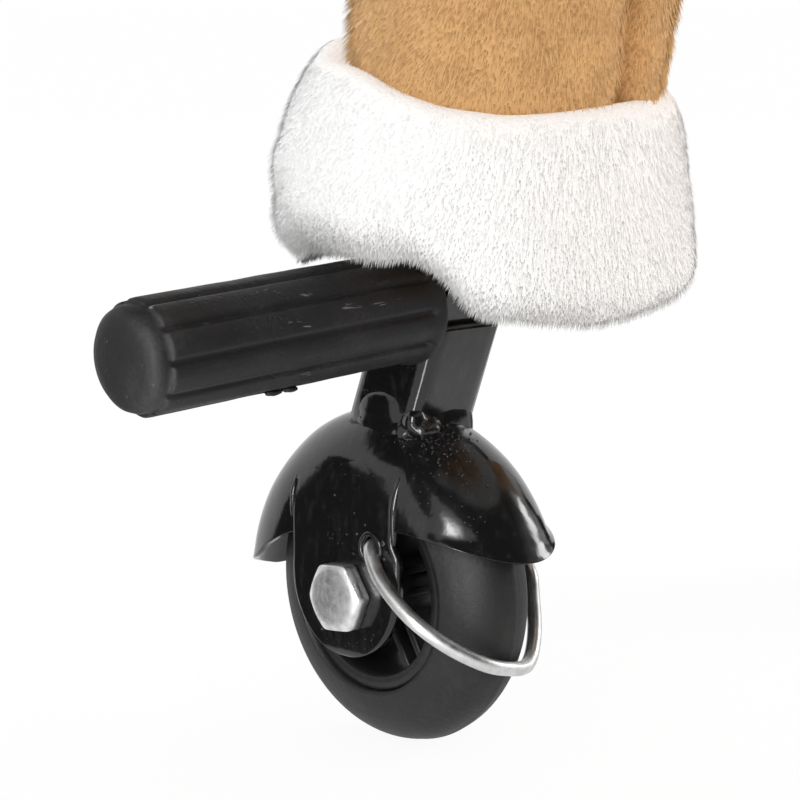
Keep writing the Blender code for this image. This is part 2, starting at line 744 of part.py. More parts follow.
def build_fork(label, side, end):
    """Pressed fork: fender, two cheeks and the socket post, welded to one piece. Front forks have a peg stub."""
    axle_y = FRONT_AXLE_Y if end > 0 else REAR_AXLE_Y
    centre = Vector((side * HALF_TRACK, axle_y, AXLE_HEIGHT))
    fork = fender_shell()
    fork.name = f"{label}_fork"
    fork.data.transform(Matrix.Translation(centre - Vector((0, 0, FENDER_DROP))))

    reach = 2 * FENDER_TUBE + FENDER_RING
    drop = FRONT_LIP_HIGH - FRONT_LIP_SLOPE * (reach - CHEEK_HALF_WIDTH)
    below = outline("fender_lips", [(-reach, -reach), (reach, -reach), (reach, REAR_LIP_HEIGHT),
                                    (0.0, REAR_LIP_HEIGHT), (-CHEEK_HALF_WIDTH, FRONT_LIP_HIGH), (-reach, drop)],
                    4 * FENDER_TUBE)
    below.data.transform(Matrix.Translation(centre))
    cut(fork, below)

    for face in (-1, 1):
        cheek = outline("cheek", cheek_points(), CHEEK_THICKNESS)
        middle = face * (CHEEK_OUTER - CHEEK_THICKNESS / 2)
        cheek.data.transform(Matrix.Translation(centre + Vector((middle, 0, 0))))
        join(fork, cheek)

    post = post_box("post", side, end, POST_SIDE, POST_FOOT, POST_TOP)
    weld = rod("weld", (0, 0, POST_FOOT), (0, 0, POST_FOOT + WELD_HEIGHT),
               (POST_SIDE / 2 + WELD_SPREAD) * math.sqrt(2), 4, (POST_SIDE / 2 + GAP) * math.sqrt(2))
    weld.data.transform(Matrix.Translation(leg_point(side, end, 0.0)) @ Matrix.Rotation(-end * LEG_LEAN, 4, "X")
                        @ Matrix.Rotation(math.pi / 4, 4, "Z"))
    join(fork, cut(post, fender_room(centre, FENDER_WALL * 0.5)), cut(weld, fender_room(centre, FENDER_WALL * 0.3)))
    if end > 0:
        stub_end = PEG_LENGTH - PEG_END_WALL - GAP
        join(fork, rod("peg_stub", peg_axis(side, -STUB_SEAT), peg_axis(side, stub_end), STUB_RADIUS, 12))

    wide = Vector((2 * CHEEK_OUTER, 0, 0))
    axle_hole = rod("axle_hole", centre - wide, centre + wide,
                    (BOLT_RADIUS + GAP) / math.cos(math.pi / BOLT_SIDES), BOLT_SIDES)
    pivot = centre + Vector((0, HOOP_PIVOT_Y, HOOP_PIVOT_RISE))
    hoop_hole = rod("hoop_hole", pivot - wide, pivot + wide, (WIRE_RADIUS + GAP) / math.cos(math.pi / 8), 8)
    bore = post_box("post_bore", side, end, POST_BORE, TUBE_FOOT - GAP, POST_TOP + POST_SIDE)
    cut(fork, axle_hole, hoop_hole, bore)
    finish(fork, "black_steel")


def hoop_points(side, end):
    """The hoop's centre line, from one cheek's hole round the back of the tyre to the other."""
    axle_y = FRONT_AXLE_Y if end > 0 else REAR_AXLE_Y
    centre = Vector((side * HALF_TRACK, axle_y, AXLE_HEIGHT))
    reach = TYRE_RADIUS + HOOP_TYRE_GAP + WIRE_RADIUS
    bight = Vector((0.0, reach * math.cos(HOOP_DROP_ANGLE), reach * math.sin(HOOP_DROP_ANGLE)))
    pivot = Vector((0.0, HOOP_PIVOT_Y, HOOP_PIVOT_RISE))
    chord = bight - pivot
    sag = Vector((0.0, chord.z, -chord.y)).normalized()
    half = []
    wide = CHEEK_OUTER + WIRE_RADIUS + 0.0012
    half.append(pivot + Vector((CHEEK_INNER - 0.001, 0, 0)))
    half.append(pivot + Vector((CHEEK_OUTER + 0.0002, 0, 0)))
    half.append(pivot + Vector((wide, 0, 0)) + chord * 0.05)
    for share, width, bow in ((0.30, 1.0, 0.0040), (0.58, 0.96, 0.0045), (0.80, 0.80, 0.0030),
                              (0.94, 0.50, 0.0008), (1.0, 0.16, 0.0)):
        half.append(pivot + chord * share + Vector((wide * width, 0, 0)) + sag * bow)
    mirrored = [Vector((-point.x, point.y, point.z)) for point in reversed(half)]
    return [centre + point for point in half + mirrored]


def build_hoop(label, side, end):
    """Zinc wire hoop, which turns in the cheeks' holes and drags on the tyre."""
    finish(wire(f"{label}_brake_hoop", hoop_points(side, end), WIRE_RADIUS, 1), "zinc")


def build_peg(label, side):
    """Fluted rubber foot peg, pushed onto the fork's stub."""
    lobe = 2 * math.pi / PEG_LOBES
    shares = (0.0, 0.16, 0.84)
    depths = (PEG_GROOVE, 0.0, 0.0)
    stations = ((PEG_SEAT, 1.0), (PEG_LENGTH - PEG_END_ROUND, 1.0), (PEG_LENGTH - PEG_END_ROUND * 0.35, 0.93),
                (PEG_LENGTH, 0.76))
    axis = (peg_axis(side, 1.0) - peg_axis(side, 0.0)).normalized()
    upright = Vector((0.0, 1.0, 0.0)).cross(axis).normalized()
    level = Vector((0.0, 1.0, 0.0))
    bm = bmesh.new()
    loops = []
    for distance, scale in stations:
        loop = []
        for index in range(PEG_LOBES):
            for share, depth in zip(shares, depths):
                turn = (index + share) * lobe
                radius = (PEG_RADIUS - depth) * scale
                offset = (level * math.cos(turn) + upright * math.sin(turn)) * radius
                loop.append(bm.verts.new(peg_axis(side, distance) + offset))
        loops.append(loop)
    count = len(loops[0])
    for low, high in zip(loops, loops[1:]):
        for step in range(count):
            after = (step + 1) % count
            bm.faces.new((low[step], low[after], high[after], high[step]))
    bm.faces.new(loops[0])
    bm.faces.new(loops[-1])
    peg = add_mesh(f"{label}_foot_peg", bm)
    bore = (STUB_RADIUS + GAP) / math.cos(math.pi / 12)
    cut(peg, rod("peg_bore", peg_axis(side, -0.01), peg_axis(side, PEG_LENGTH - PEG_END_WALL), bore, 12))
    finish(peg, "rubber")


def hip_y(end):
    """The hip pivot's Y of the front (1) or rear (-1) leg frame."""
    return FRONT_HIP_Y if end > 0 else REAR_HIP_Y


def build_leg_frame(name, end):
    """Leg frame: a round cross tube that turns in the hip sleeves, two square legs and the spring's lever."""
    y = hip_y(end)
    wide = HALF_TRACK + CROSS_OVERHANG
    frame = rod(name, (-wide, y, HIP_HEIGHT), (wide, y, HIP_HEIGHT), CROSS_RADIUS)
    for side in (-1, 1):
        join(frame, post_box("leg_tube", side, end, TUBE_SIDE, TUBE_FOOT, HIP_ALONG))
    near, far = sorted((y + end * CROSS_RADIUS * 0.6, y + end * LEVER_LENGTH))
    join(frame, box("lever", (-LEVER_HALF_WIDTH, near, HIP_HEIGHT - LEVER_HEIGHT / 2),
                    (LEVER_HALF_WIDTH, far, HIP_HEIGHT + LEVER_HEIGHT / 2)))
    finish(frame, "black_steel")


def hip_sleeves(end):
    """The two sleeves that hold a cross tube, one at each side of the lever."""
    y = hip_y(end)
    sleeves = []
    for side in (-1, 1):
        sleeves.append(rod("hip_sleeve", (side * SLEEVE_INNER_X, y, HIP_HEIGHT),
                           (side * SLEEVE_OUTER_X, y, HIP_HEIGHT), SLEEVE_RADIUS))
    return sleeves


def hip_bore(end):
    """The bore through both sleeves."""
    y = hip_y(end)
    return rod("hip_bore", (-2 * SLEEVE_OUTER_X, y, HIP_HEIGHT), (2 * SLEEVE_OUTER_X, y, HIP_HEIGHT), SLEEVE_BORE)


def spring_lug(end, top):
    """The plate that a return spring hangs from, with its web up to what carries it."""
    y = hip_y(end)
    near, far = sorted((y, y + end * LEVER_LENGTH))
    return box("spring_lug", (-LEVER_HALF_WIDTH * 2, near, LUG_BOTTOM), (LEVER_HALF_WIDTH * 2, far, top))


def build_beam():
    """Main beam: a square tube with the head tube, the rear hip brackets and the rear spring's lug."""
    half = BEAM_WIDTH / 2
    beam = box("main_beam", (-half, FRONT_HIP_Y, BEAM_BOTTOM), (half, REAR_HIP_Y + BEAM_TAIL, BEAM_TOP))
    join(beam, rod("head_tube", (0, FRONT_HIP_Y, HEAD_TUBE_BOTTOM), (0, FRONT_HIP_Y, HEAD_TUBE_TOP), HEAD_TUBE_RADIUS))
    for side in (-1, 1):
        inner, outer = sorted((side * (half - PLATE_THICKNESS), side * half))
        join(beam, box("hip_plate", (inner, REAR_HIP_Y - BRACKET_LENGTH / 2, HIP_HEIGHT),
                       (outer, REAR_HIP_Y + BRACKET_LENGTH / 2, BEAM_BOTTOM + PLATE_THICKNESS)))
    join(beam, *hip_sleeves(-1))
    join(beam, spring_lug(-1, BEAM_BOTTOM + PLATE_THICKNESS))
    cut(beam, hip_bore(-1))
    cut(beam, rod("stem_bore", (0, FRONT_HIP_Y, HIP_HEIGHT), (0, FRONT_HIP_Y, 2 * HEAD_TUBE_TOP), STEM_BORE))
    finish(beam, "black_steel")


def build_stem():
    """Steering stem: hip yoke, stem, neck post and the tee that holds the handlebar."""
    y = FRONT_HIP_Y
    foot = HIP_HEIGHT + CROSS_RADIUS + GAP
    yoke_foot = HIP_HEIGHT + CROSS_RADIUS + YOKE_RISE
    tee = Vector((0, y + HANDLE_Y, HANDLE_HEIGHT))
    stem = rod("steering_stem", (0, y, foot + GAP), (0, y, STEM_TOP), STEM_RADIUS)
    join(stem, rod("neck_post", (0, y, STEM_TOP - STEM_RADIUS), tee, STEM_RADIUS * 0.9, POST_SIDES))
    join(stem, box("yoke", (-SLEEVE_OUTER_X + YOKE_INSET, y - YOKE_HALF_DEPTH, yoke_foot),
                   (SLEEVE_OUTER_X - YOKE_INSET, y + YOKE_HALF_DEPTH, yoke_foot + YOKE_THICKNESS)))
    join(stem, *hip_sleeves(1))
    join(stem, spring_lug(1, LUG_BOTTOM + LUG_THICKNESS))
    width = Vector((TEE_HALF_LENGTH, 0, 0))
    join(stem, rod("tee", tee - width, tee + width, HANDLE_RADIUS + SLEEVE_WALL))
    handle_bore = (HANDLE_RADIUS + GAP) / math.cos(math.pi / CROSS_SIDES)
    cut(stem, hip_bore(1), rod("handle_bore", tee - width * 2, tee + width * 2, handle_bore))
    finish(stem, "black_steel")

    collar = turned("steering_collar", [(STEM_BORE + 0.0055, HEAD_TUBE_TOP + GAP + COLLAR_HEIGHT),
                                        (STEM_BORE + 0.0055, HEAD_TUBE_TOP + GAP),
                                        (STEM_BORE, HEAD_TUBE_TOP + GAP),
                                        (STEM_BORE, HEAD_TUBE_TOP + GAP + COLLAR_HEIGHT)], CROSS_SIDES, closed=True)
    collar.location = (0, y, 0)
    finish(as_mesh(collar, "steering_collar"), "zinc")


def build_handlebar():
    """Straight handlebar through the neck, with a closed rubber grip on each end."""
    y = FRONT_HIP_Y + HANDLE_Y
    finish(rod("handlebar", (-HANDLE_HALF_LENGTH, y, HANDLE_HEIGHT), (HANDLE_HALF_LENGTH, y, HANDLE_HEIGHT),
               HANDLE_RADIUS), "black_steel")
    bore = (HANDLE_RADIUS + GAP) / math.cos(math.pi / CROSS_SIDES)
    last = HANDLE_HALF_LENGTH + GAP + GRIP_END_WALL
    length = last - GRIP_START
    profile = [(0.0, length), (GRIP_RADIUS * 0.8, length), (GRIP_RADIUS, length - 0.003),
               (GRIP_RADIUS, 0.006), (GRIP_RADIUS * 1.25, 0.006),
               (GRIP_RADIUS * 1.25, 0.0), (bore, 0.0), (bore, length - GRIP_END_WALL), (0.0, length - GRIP_END_WALL)]
    for side, label in ((1, "left"), (-1, "right")):
        grip = turned(f"{label}_hand_grip", profile, BOLT_SIDES)
        grip.matrix_world = (Matrix.Translation((0, y, HANDLE_HEIGHT)) @ Matrix.Rotation(math.pi * (side < 0), 4, "Z")
                             @ Matrix.Translation((GRIP_START, 0, 0)) @ ACROSS)
        finish(as_mesh(grip, f"{label}_hand_grip"), "rubber")


def build_spring(name, end):
    """Coiled return spring between the lever and the lug, upright."""
    y = hip_y(end) + end * SPRING_REACH
    low = HIP_HEIGHT + LEVER_HEIGHT / 2 + GAP + SPRING_WIRE
    high = LUG_BOTTOM - GAP - SPRING_WIRE
    count = SPRING_TURNS * SPRING_POINTS
    points = []
    for index in range(count + 1):
        turn = 2 * math.pi * index / SPRING_POINTS
        height = low + (high - low) * index / count
        points.append((SPRING_RADIUS * math.cos(turn), y + SPRING_RADIUS * math.sin(turn), height))
    finish(wire(name, points, SPRING_WIRE, 0), "spring_steel")


def seam_cylinder(radius):
    """The upright cylinder about the steering axis where the barrel and the chest part."""
    return rod("seam", (0, FRONT_HIP_Y, HIP_HEIGHT - SEAM_MARGIN), (0, FRONT_HIP_Y, HEAD_TUBE_TOP + SEAM_MARGIN), radius,
               SEAM_SIDES)


def hip_pockets(end):
    """The round pockets in the body where a pair of plush legs turns."""
    y = hip_y(end)
    pockets = []
    for side in (-1, 1):
        pockets.append(rod("hip_pocket", (side * HIP_POCKET_X, y, HIP_HEIGHT), (side * TRACK, y, HIP_HEIGHT),
                           HIP_POCKET_RADIUS, POCKET_SIDES))
    return pockets


def cross_hole(end):
    """The hole through the body for a cross tube."""
    y = hip_y(end)
    return rod("cross_hole", (-TRACK, y, HIP_HEIGHT), (TRACK, y, HIP_HEIGHT), CROSS_RADIUS + 2 * PLUSH_GAP)


def belly_slot(end):
    """The opening under the body that clears the hip sleeves, the lever and its spring."""
    y = hip_y(end)
    near, far = sorted((y - end * BELLY_SLOT_START, y + end * (LEVER_LENGTH + BELLY_SLOT_SPARE)))
    return box("belly_slot", (-BELLY_SLOT_HALF_WIDTH, near, HIP_HEIGHT - BELLY_SLOT_DEPTH),
               (BELLY_SLOT_HALF_WIDTH, far, BEAM_BOTTOM + PLATE_THICKNESS))


def build_barrel():
    """Barrel and rump of the plush body, hollow round the beam and the seat plate."""
    barrel = swept_cage("barrel_plush", lengthwise_rings(BARREL_SECTIONS), BODY_SIDES)
    half = BEAM_WIDTH / 2 + PLUSH_GAP
    tunnel = box("beam_tunnel", (-half, FRONT_HIP_Y, BEAM_BOTTOM - PLUSH_GAP),
                 (half, REAR_HIP_Y + BEAM_TAIL + PLUSH_GAP, BEAM_TOP + PLUSH_GAP))
    plate = seat_plate_box("plate_tunnel", PLUSH_GAP)
    cut(barrel, seam_cylinder(SEAM_RADIUS), tunnel, plate, belly_slot(-1), cross_hole(-1), *hip_pockets(-1))
    finish(barrel, "tan_plush")


def seat_plate_box(name, grow):
    """The seat plate on the beam, or its tunnel."""
    width, length, thickness = SEAT_PLATE
    middle = FRONT_HIP_Y + SEAT_PLATE_MID
    bottom = BEAM_TOP + GAP
    return box(name, (-width / 2 - grow, middle - length / 2 - grow, bottom - grow),
               (width / 2 + grow, middle + length / 2 + grow, bottom + thickness + grow))


def build_chest():
    """Chest and shoulders of the plush body, which steer with the neck."""
    chest = swept_cage("chest_plush", lengthwise_rings(CHEST_SECTIONS), BODY_SIDES)
    keep(chest, seam_cylinder(SEAM_RADIUS - SWING_GAP))
    fan = STEER_LIMIT + math.asin((BEAM_WIDTH / 2 + 0.004) / SEAM_RADIUS)
    far = SEAM_RADIUS * 1.2
    slot = bmesh.new()
    corners = [(-0.024, -0.024), (0.024, -0.024), (far * math.sin(fan), far * math.cos(fan)),
               (-far * math.sin(fan), far * math.cos(fan))]
    low = [slot.verts.new((x, FRONT_HIP_Y + y, BEAM_BOTTOM - 0.002)) for x, y in corners]
    floor = slot.faces.new(low)
    wall = bmesh.ops.extrude_face_region(slot, geom=[floor])
    raised = [item for item in wall["geom"] if isinstance(item, bmesh.types.BMVert)]
    bmesh.ops.translate(slot, vec=(0, 0, BEAM_HEIGHT + 0.004), verts=raised)
    beam_fan = add_mesh("beam_fan", slot)
    cut(chest, beam_fan, belly_slot(1), cross_hole(1), stem_room(), *hip_pockets(1))
    finish(chest, "tan_plush")


def stem_room():
    """The round hole that clears the head tube, the collar and the stem."""
    return rod("stem_room", (0, FRONT_HIP_Y, HIP_HEIGHT), (0, FRONT_HIP_Y, STEM_TOP + 0.004),
               HEAD_TUBE_RADIUS + 0.002, BOLT_SIDES)


def chest_block():
    """The chest's outer form, a little larger, for cutting what sits on it."""
    return swept_cage("chest_block", lengthwise_rings(CHEST_SECTIONS, PLUSH_GAP), BODY_SIDES)


def neck_block(grow):
    """The neck's outer form, a little larger."""
    return swept_cage("neck_block", axis_rings(NECK_SECTIONS, NECK_FOOT, NECK_TOP, grow, NECK_LENGTH / NECK_DRAWN_LENGTH),
                      HEAD_SIDES)


def head_block(grow):
    """The head's outer form, a little larger."""
    return swept_cage("head_block", axis_rings(HEAD_SECTIONS, POLL, MUZZLE, grow), HEAD_SIDES)


def build_neck():
    """Plush neck round the neck post and the handlebar."""
    neck = neck_block(0.0)
    neck.name = "neck_plush"
    tee = Vector((0, FRONT_HIP_Y + HANDLE_Y, HANDLE_HEIGHT))
    foot = Vector((0, FRONT_HIP_Y, STEM_TOP - STEM_RADIUS))
    wide = Vector((HANDLE_HALF_LENGTH, 0, 0))
    post = rod("neck_post_room", foot, tee, STEM_RADIUS + PLUSH_GAP, 12)
    bar = rod("handle_room", tee - wide, tee + wide, HANDLE_RADIUS + PLUSH_GAP)
    width = Vector((TEE_HALF_LENGTH + PLUSH_GAP, 0, 0))
    sleeve = rod("tee_room", tee - width, tee + width, HANDLE_RADIUS + SLEEVE_WALL + PLUSH_GAP)
    keep_room = rod("neck_swing", (0, FRONT_HIP_Y, HIP_HEIGHT), (0, FRONT_HIP_Y, 1.0), SEAM_RADIUS - SWING_GAP, SEAM_SIDES)
    keep(neck, keep_room)
    cut(neck, chest_block(), stem_room(), post, bar, sleeve)
    finish(neck, "tan_plush")


def build_head():
    """Plush head, seated on the neck's end."""
    head = swept_cage("head_plush", axis_rings(HEAD_SECTIONS, POLL, MUZZLE), HEAD_SIDES)
    cut(head, neck_block(PLUSH_GAP))
    finish(head, "tan_plush")


def head_point(along, raise_by=0.0, sideways=0.0):
    """A point in the head by its distance from the poll, its offset upwards and sideways."""
    start = Vector((0.0, FRONT_HIP_Y + POLL[0], POLL[1]))
    axis = (Vector((0.0, FRONT_HIP_Y + MUZZLE[0], MUZZLE[1])) - start).normalized()
    upward = Vector((1.0, 0.0, 0.0)).cross(axis)
    if upward.z < 0:
        upward = -upward
    return start + axis * along + upward * raise_by + Vector((sideways, 0.0, 0.0))


def build_face():
    """Eyes and ears."""
    for side, label in ((1, "left"), (-1, "right")):
        bm = bmesh.new()
        bmesh.ops.create_uvsphere(bm, u_segments=10, v_segments=6, radius=EYE_RADIUS)
        bmesh.ops.transform(bm, matrix=Matrix.Rotation(math.pi / 2, 4, "Y"), verts=bm.verts)
        bmesh.ops.translate(bm, vec=head_point(EYE_ALONG, EYE_RAISE, side * EYE_SIDE), verts=bm.verts)
        eye = add_mesh(f"{label}_eye", bm)
        cut(eye, head_block(PLUSH_GAP))
        finish(eye, "eye")

        foot = head_point(EAR_ALONG, EAR_RAISE, side * EAR_SPREAD)
        lean = Vector((side * 0.20, 0.10, 1.0)).normalized()
        level = Vector((1.0, 0.0, 0.0))
        depth = Vector((0.0, 1.0, 0.0))
        rings = []
        for share, size in ((0.0, 0.62), (0.34, 1.0), (0.78, 0.66), (1.0, 0.12)):
            rings.append((foot + lean * EAR_HEIGHT * share, level * EAR_HALF_WIDTH * size,
                          depth * EAR_HALF_DEPTH * size))
        ear = swept_cage(f"{label}_ear", rings, 6)
        cut(ear, head_block(PLUSH_GAP))
        finish(ear, "tan_plush")


def build_hair():
    """Mane along the crest of the neck, and the tail."""
    stretch = (POLL[1] - NECK_FOOT[1]) / MANE_DRAWN_RISE
    crest = [(y, NECK_FOOT[1] + rise * stretch, width, depth) for y, rise, width, depth in MANE_PATH]
    mane = swept_cage("mane", path_rings(crest, FRONT_HIP_Y), 6)
    cut(mane, chest_block(), neck_block(PLUSH_GAP), head_block(BRIDLE_THICKNESS + PLUSH_GAP))
    finish(mane, "mane")
    fall = [(y, HIP_HEIGHT + rise, width, depth) for y, rise, width, depth in TAIL_PATH]
    tail = swept_cage("tail", path_rings(fall, FRONT_HIP_Y + BARREL_SECTIONS[-1][0]), 6)
    cut(tail, swept_cage("barrel_block", lengthwise_rings(BARREL_SECTIONS, PLUSH_GAP), BODY_SIDES))
    finish(tail, "mane")


def barrel_at(along):
    """The barrel's half width, half height and middle's rise at a distance behind the front hip."""
    for low, high in zip(BARREL_SECTIONS, BARREL_SECTIONS[1:]):
        if along <= high[0]:
            share = (along - low[0]) / (high[0] - low[0])
            return [a + (b - a) * share for a, b in zip(low[1:], high[1:])]
    return list(BARREL_SECTIONS[-1][1:])


def build_saddle():
    """Padded saddle over the barrel, with its flaps, and the girth under the belly."""
    rings = []
    for along, padding in SADDLE_PADDING:
        half_width, half_height, rise = barrel_at(along)
        rings.append(((0.0, FRONT_HIP_Y + along, HIP_HEIGHT + rise), (half_width + SADDLE_SIDE_PADDING, 0.0, 0.0),
                      (0.0, 0.0, half_height + padding)))
    saddle = swept_cage("saddle", rings, BODY_SIDES)
    side_view = outline("saddle_outline", [(FRONT_HIP_Y + y, HIP_HEIGHT + rise) for y, rise in SADDLE_OUTLINE], 2 * TRACK)
    keep(saddle, side_view)
    block = swept_cage("barrel_block", lengthwise_rings(BARREL_SECTIONS, PLUSH_GAP), BODY_SIDES)
    cut(saddle, block)
    finish(saddle, "saddle")

    girth = swept_cage("girth", lengthwise_rings(BARREL_SECTIONS, GIRTH_THICKNESS), BODY_SIDES)
    front = FRONT_HIP_Y + GIRTH_FRONT
    keep(girth, box("girth_band", (-TRACK, front, 0.0), (TRACK, front + GIRTH_WIDTH, HIP_HEIGHT + GIRTH_TOP_RISE)))
    block = swept_cage("barrel_block", lengthwise_rings(BARREL_SECTIONS, PLUSH_GAP), BODY_SIDES)
    cut(girth, block)
    finish(girth, "saddle")


def build_bridle():
    """Bridle: a noseband and a headstall joined by cheek straps, all one leather piece."""
    bridle = head_block(BRIDLE_THICKNESS)
    bridle.name = "bridle"

    def band(along):
        slab = box("band", (-0.2, -STRAP_WIDTH / 2, -0.12), (0.2, STRAP_WIDTH / 2, 0.12))
        axis = head_point(1.0) - head_point(0.0)
        turn = Matrix.Rotation(math.atan2(axis.z, axis.y), 4, "X")
        slab.data.transform(Matrix.Translation(head_point(along)) @ turn)
        return slab

    cheek = box("cheek_strap", (-0.2, HEADSTALL_ALONG, -STRAP_WIDTH / 2), (0.2, NOSEBAND_ALONG, STRAP_WIDTH / 2))
    axis = head_point(1.0) - head_point(0.0)
    cheek.data.transform(Matrix.Translation(head_point(0.0, -0.008)) @ Matrix.Rotation(math.atan2(axis.z, axis.y), 4, "X"))
    straps = join(band(NOSEBAND_ALONG), band(HEADSTALL_ALONG), cheek)
    straps = as_mesh(straps, "straps")
    keep(bridle, straps)
    cut(bridle, head_block(PLUSH_GAP), neck_block(PLUSH_GAP))
    finish(bridle, "saddle")


def build_leg_plush(label, side, end):
    """Tan plush leg round its tube, and the white sock under it."""
    tube = TUBE_SIDE + 2 * PLUSH_GAP
    leg = swept_cage(f"{label}_leg_plush", leg_rings(LEG_SECTIONS, side, end), LEG_SIDES)
    y = hip_y(end)
    hip_hole = rod("hip_hole", (0, y, HIP_HEIGHT), (side * (HALF_TRACK + CROSS_OVERHANG + PLUSH_GAP), y, HIP_HEIGHT),
                   CROSS_RADIUS + PLUSH_GAP)
    cut(leg, hip_hole, post_box("tube_room", side, end, tube, TUBE_FOOT, HIP_ALONG))
    finish(leg, "tan_plush")

    tilt = SOCK_HEM_TILT if end > 0 else REAR_HEM_TILT
    sock = swept_cage(f"{label}_sock", leg_rings(SOCK_SECTIONS, side, end, 0.0, tilt), LEG_SIDES)
    socket = POST_SIDE + 2 * PLUSH_GAP
    cut(sock, swept_cage("leg_block", leg_rings(LEG_SECTIONS, side, end, 4 * PLUSH_GAP), LEG_SIDES),
        post_box("tube_room", side, end, tube + 2 * PLUSH_GAP, 0.0, HIP_ALONG),
        post_box("socket_room", side, end, socket, 0.0, POST_TOP + PLUSH_GAP))
    if end > 0:
        cut(sock, rod("peg_room", peg_axis(side, -GAP), peg_axis(side, PEG_LENGTH), PEG_RADIUS + 2 * PLUSH_GAP, 20),
            rod("stub_room", peg_axis(side, -STUB_SEAT - PLUSH_GAP), peg_axis(side, PEG_LENGTH),
                STUB_RADIUS + 2 * PLUSH_GAP, 12))
    finish(as_mesh(sock, f"{label}_sock"), "white_plush")


def build_legs():
    """The four legs with their forks, wheels, hoops and plush."""
    tyre_mesh = build_tyre_mesh()
    hub_mesh = build_hub_mesh()
    for end, where in ((1, "front"), (-1, "rear")):
        build_leg_frame(f"{where}_leg_frame", end)
        build_spring(f"{where}_spring", end)
        for side, hand in ((1, "left"), (-1, "right")):
            label = f"{where}_{hand}"
            build_fork(label, side, end)
            build_wheels(label, side, end, tyre_mesh, hub_mesh)
            build_axle(label, side, end)
            build_hoop(label, side, end)
            build_leg_plush(label, side, end)
            if end > 0:
                build_peg(label, side)


def main():
    """Build the whole horse."""
    build_beam()
    finish(seat_plate_box("seat_plate", 0.0), "black_steel")
    build_stem()
    build_handlebar()
    build_barrel()
    build_chest()
    build_neck()
    build_head()
    build_face()
    build_hair()
    build_saddle()
    build_bridle()
    build_legs()


main()
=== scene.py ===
"""Scene of a plush ride-on horse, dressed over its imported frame.

Metres, +Z up. The horse faces -Y and its left side is +X. Each leg is drawn once round the middle of its
wheel, with X outwards and Y towards the rear, and is then set at its corner of the horse.
"""
import sys

import logging
import math
from collections.abc import Callable
from dataclasses import dataclass, replace
from enum import Enum

import bmesh
import bpy
import numpy as np
from bpy.types import Material, Mesh, NodeSocket, Object
from mathutils import Matrix, Vector, noise


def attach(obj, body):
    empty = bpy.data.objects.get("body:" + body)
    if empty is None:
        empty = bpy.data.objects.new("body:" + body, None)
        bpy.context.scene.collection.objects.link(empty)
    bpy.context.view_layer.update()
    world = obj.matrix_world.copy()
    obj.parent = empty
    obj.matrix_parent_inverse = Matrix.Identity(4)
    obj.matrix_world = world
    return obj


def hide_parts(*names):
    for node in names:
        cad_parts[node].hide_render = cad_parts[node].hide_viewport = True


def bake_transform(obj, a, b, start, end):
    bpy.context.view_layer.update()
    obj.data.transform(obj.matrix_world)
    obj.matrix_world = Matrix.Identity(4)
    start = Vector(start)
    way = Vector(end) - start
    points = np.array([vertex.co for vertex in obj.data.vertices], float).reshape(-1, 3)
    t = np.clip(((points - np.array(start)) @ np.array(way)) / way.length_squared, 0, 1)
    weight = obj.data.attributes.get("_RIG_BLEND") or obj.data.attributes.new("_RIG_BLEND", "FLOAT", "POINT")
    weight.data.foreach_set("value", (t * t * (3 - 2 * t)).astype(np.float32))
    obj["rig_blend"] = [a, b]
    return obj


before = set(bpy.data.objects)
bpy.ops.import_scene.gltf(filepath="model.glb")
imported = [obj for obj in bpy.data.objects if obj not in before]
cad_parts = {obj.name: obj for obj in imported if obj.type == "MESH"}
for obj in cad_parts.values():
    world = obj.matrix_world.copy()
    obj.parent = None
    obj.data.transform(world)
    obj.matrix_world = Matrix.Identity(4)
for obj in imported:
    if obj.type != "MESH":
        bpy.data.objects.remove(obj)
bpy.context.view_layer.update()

log = logging.getLogger("horse")
Array = np.ndarray
Value = NodeSocket | float | tuple


# Layout of the horse

@dataclass(frozen=True)
class Layout:
    """Places that all the sub-assemblies share."""

    half_track: float = 0.132
    axle_height: float = 0.04467
    front_axle_y: float = -0.2704
    rear_axle_y: float = 0.2896
    front_hip_y: float = -0.13809
    hip_height: float = 0.43
    lean: float = math.radians(21.0)
    post_offset: float = 0.0156


LAYOUT = Layout()


class End(Enum):
    """The horse's two ends, with the sign that a leg's Y takes there."""

    FRONT = 1
    REAR = -1


class Side(Enum):
    """The horse's two sides, with the sign that a leg's X takes there."""

    LEFT = 1
    RIGHT = -1


@dataclass(frozen=True)
class Corner:
    """One of the four places where a leg stands."""

    end: End
    side: Side

    @property
    def label(self) -> str:
        """The start of the corner's node names."""
        return f"{self.end.name.lower()}_{self.side.name.lower()}"

    @property
    def legs(self) -> str:
        """The body that carries this corner's leg."""
        return f"{self.end.name.lower()}_legs"

    def signs(self, leans: bool) -> tuple[int, int]:
        """How a part is mirrored here: only a part that leans with the leg is turned round at the rear."""
        return self.side.value, self.end.value if leans else 1

    def place(self, leans: bool = True) -> Matrix:
        """The matrix from round the wheel's middle to the horse's own frame.

        Args:
            leans: whether the part leans with the leg.

        Returns:
            The matrix.
        """
        axle_y = LAYOUT.front_axle_y if self.end is End.FRONT else LAYOUT.rear_axle_y
        spot = Matrix.Translation((self.side.value * LAYOUT.half_track, axle_y, LAYOUT.axle_height))
        return spot @ Matrix.Diagonal((*self.signs(leans), 1.0, 1.0))


CORNERS = tuple(Corner(end, side) for end in End for side in Side)


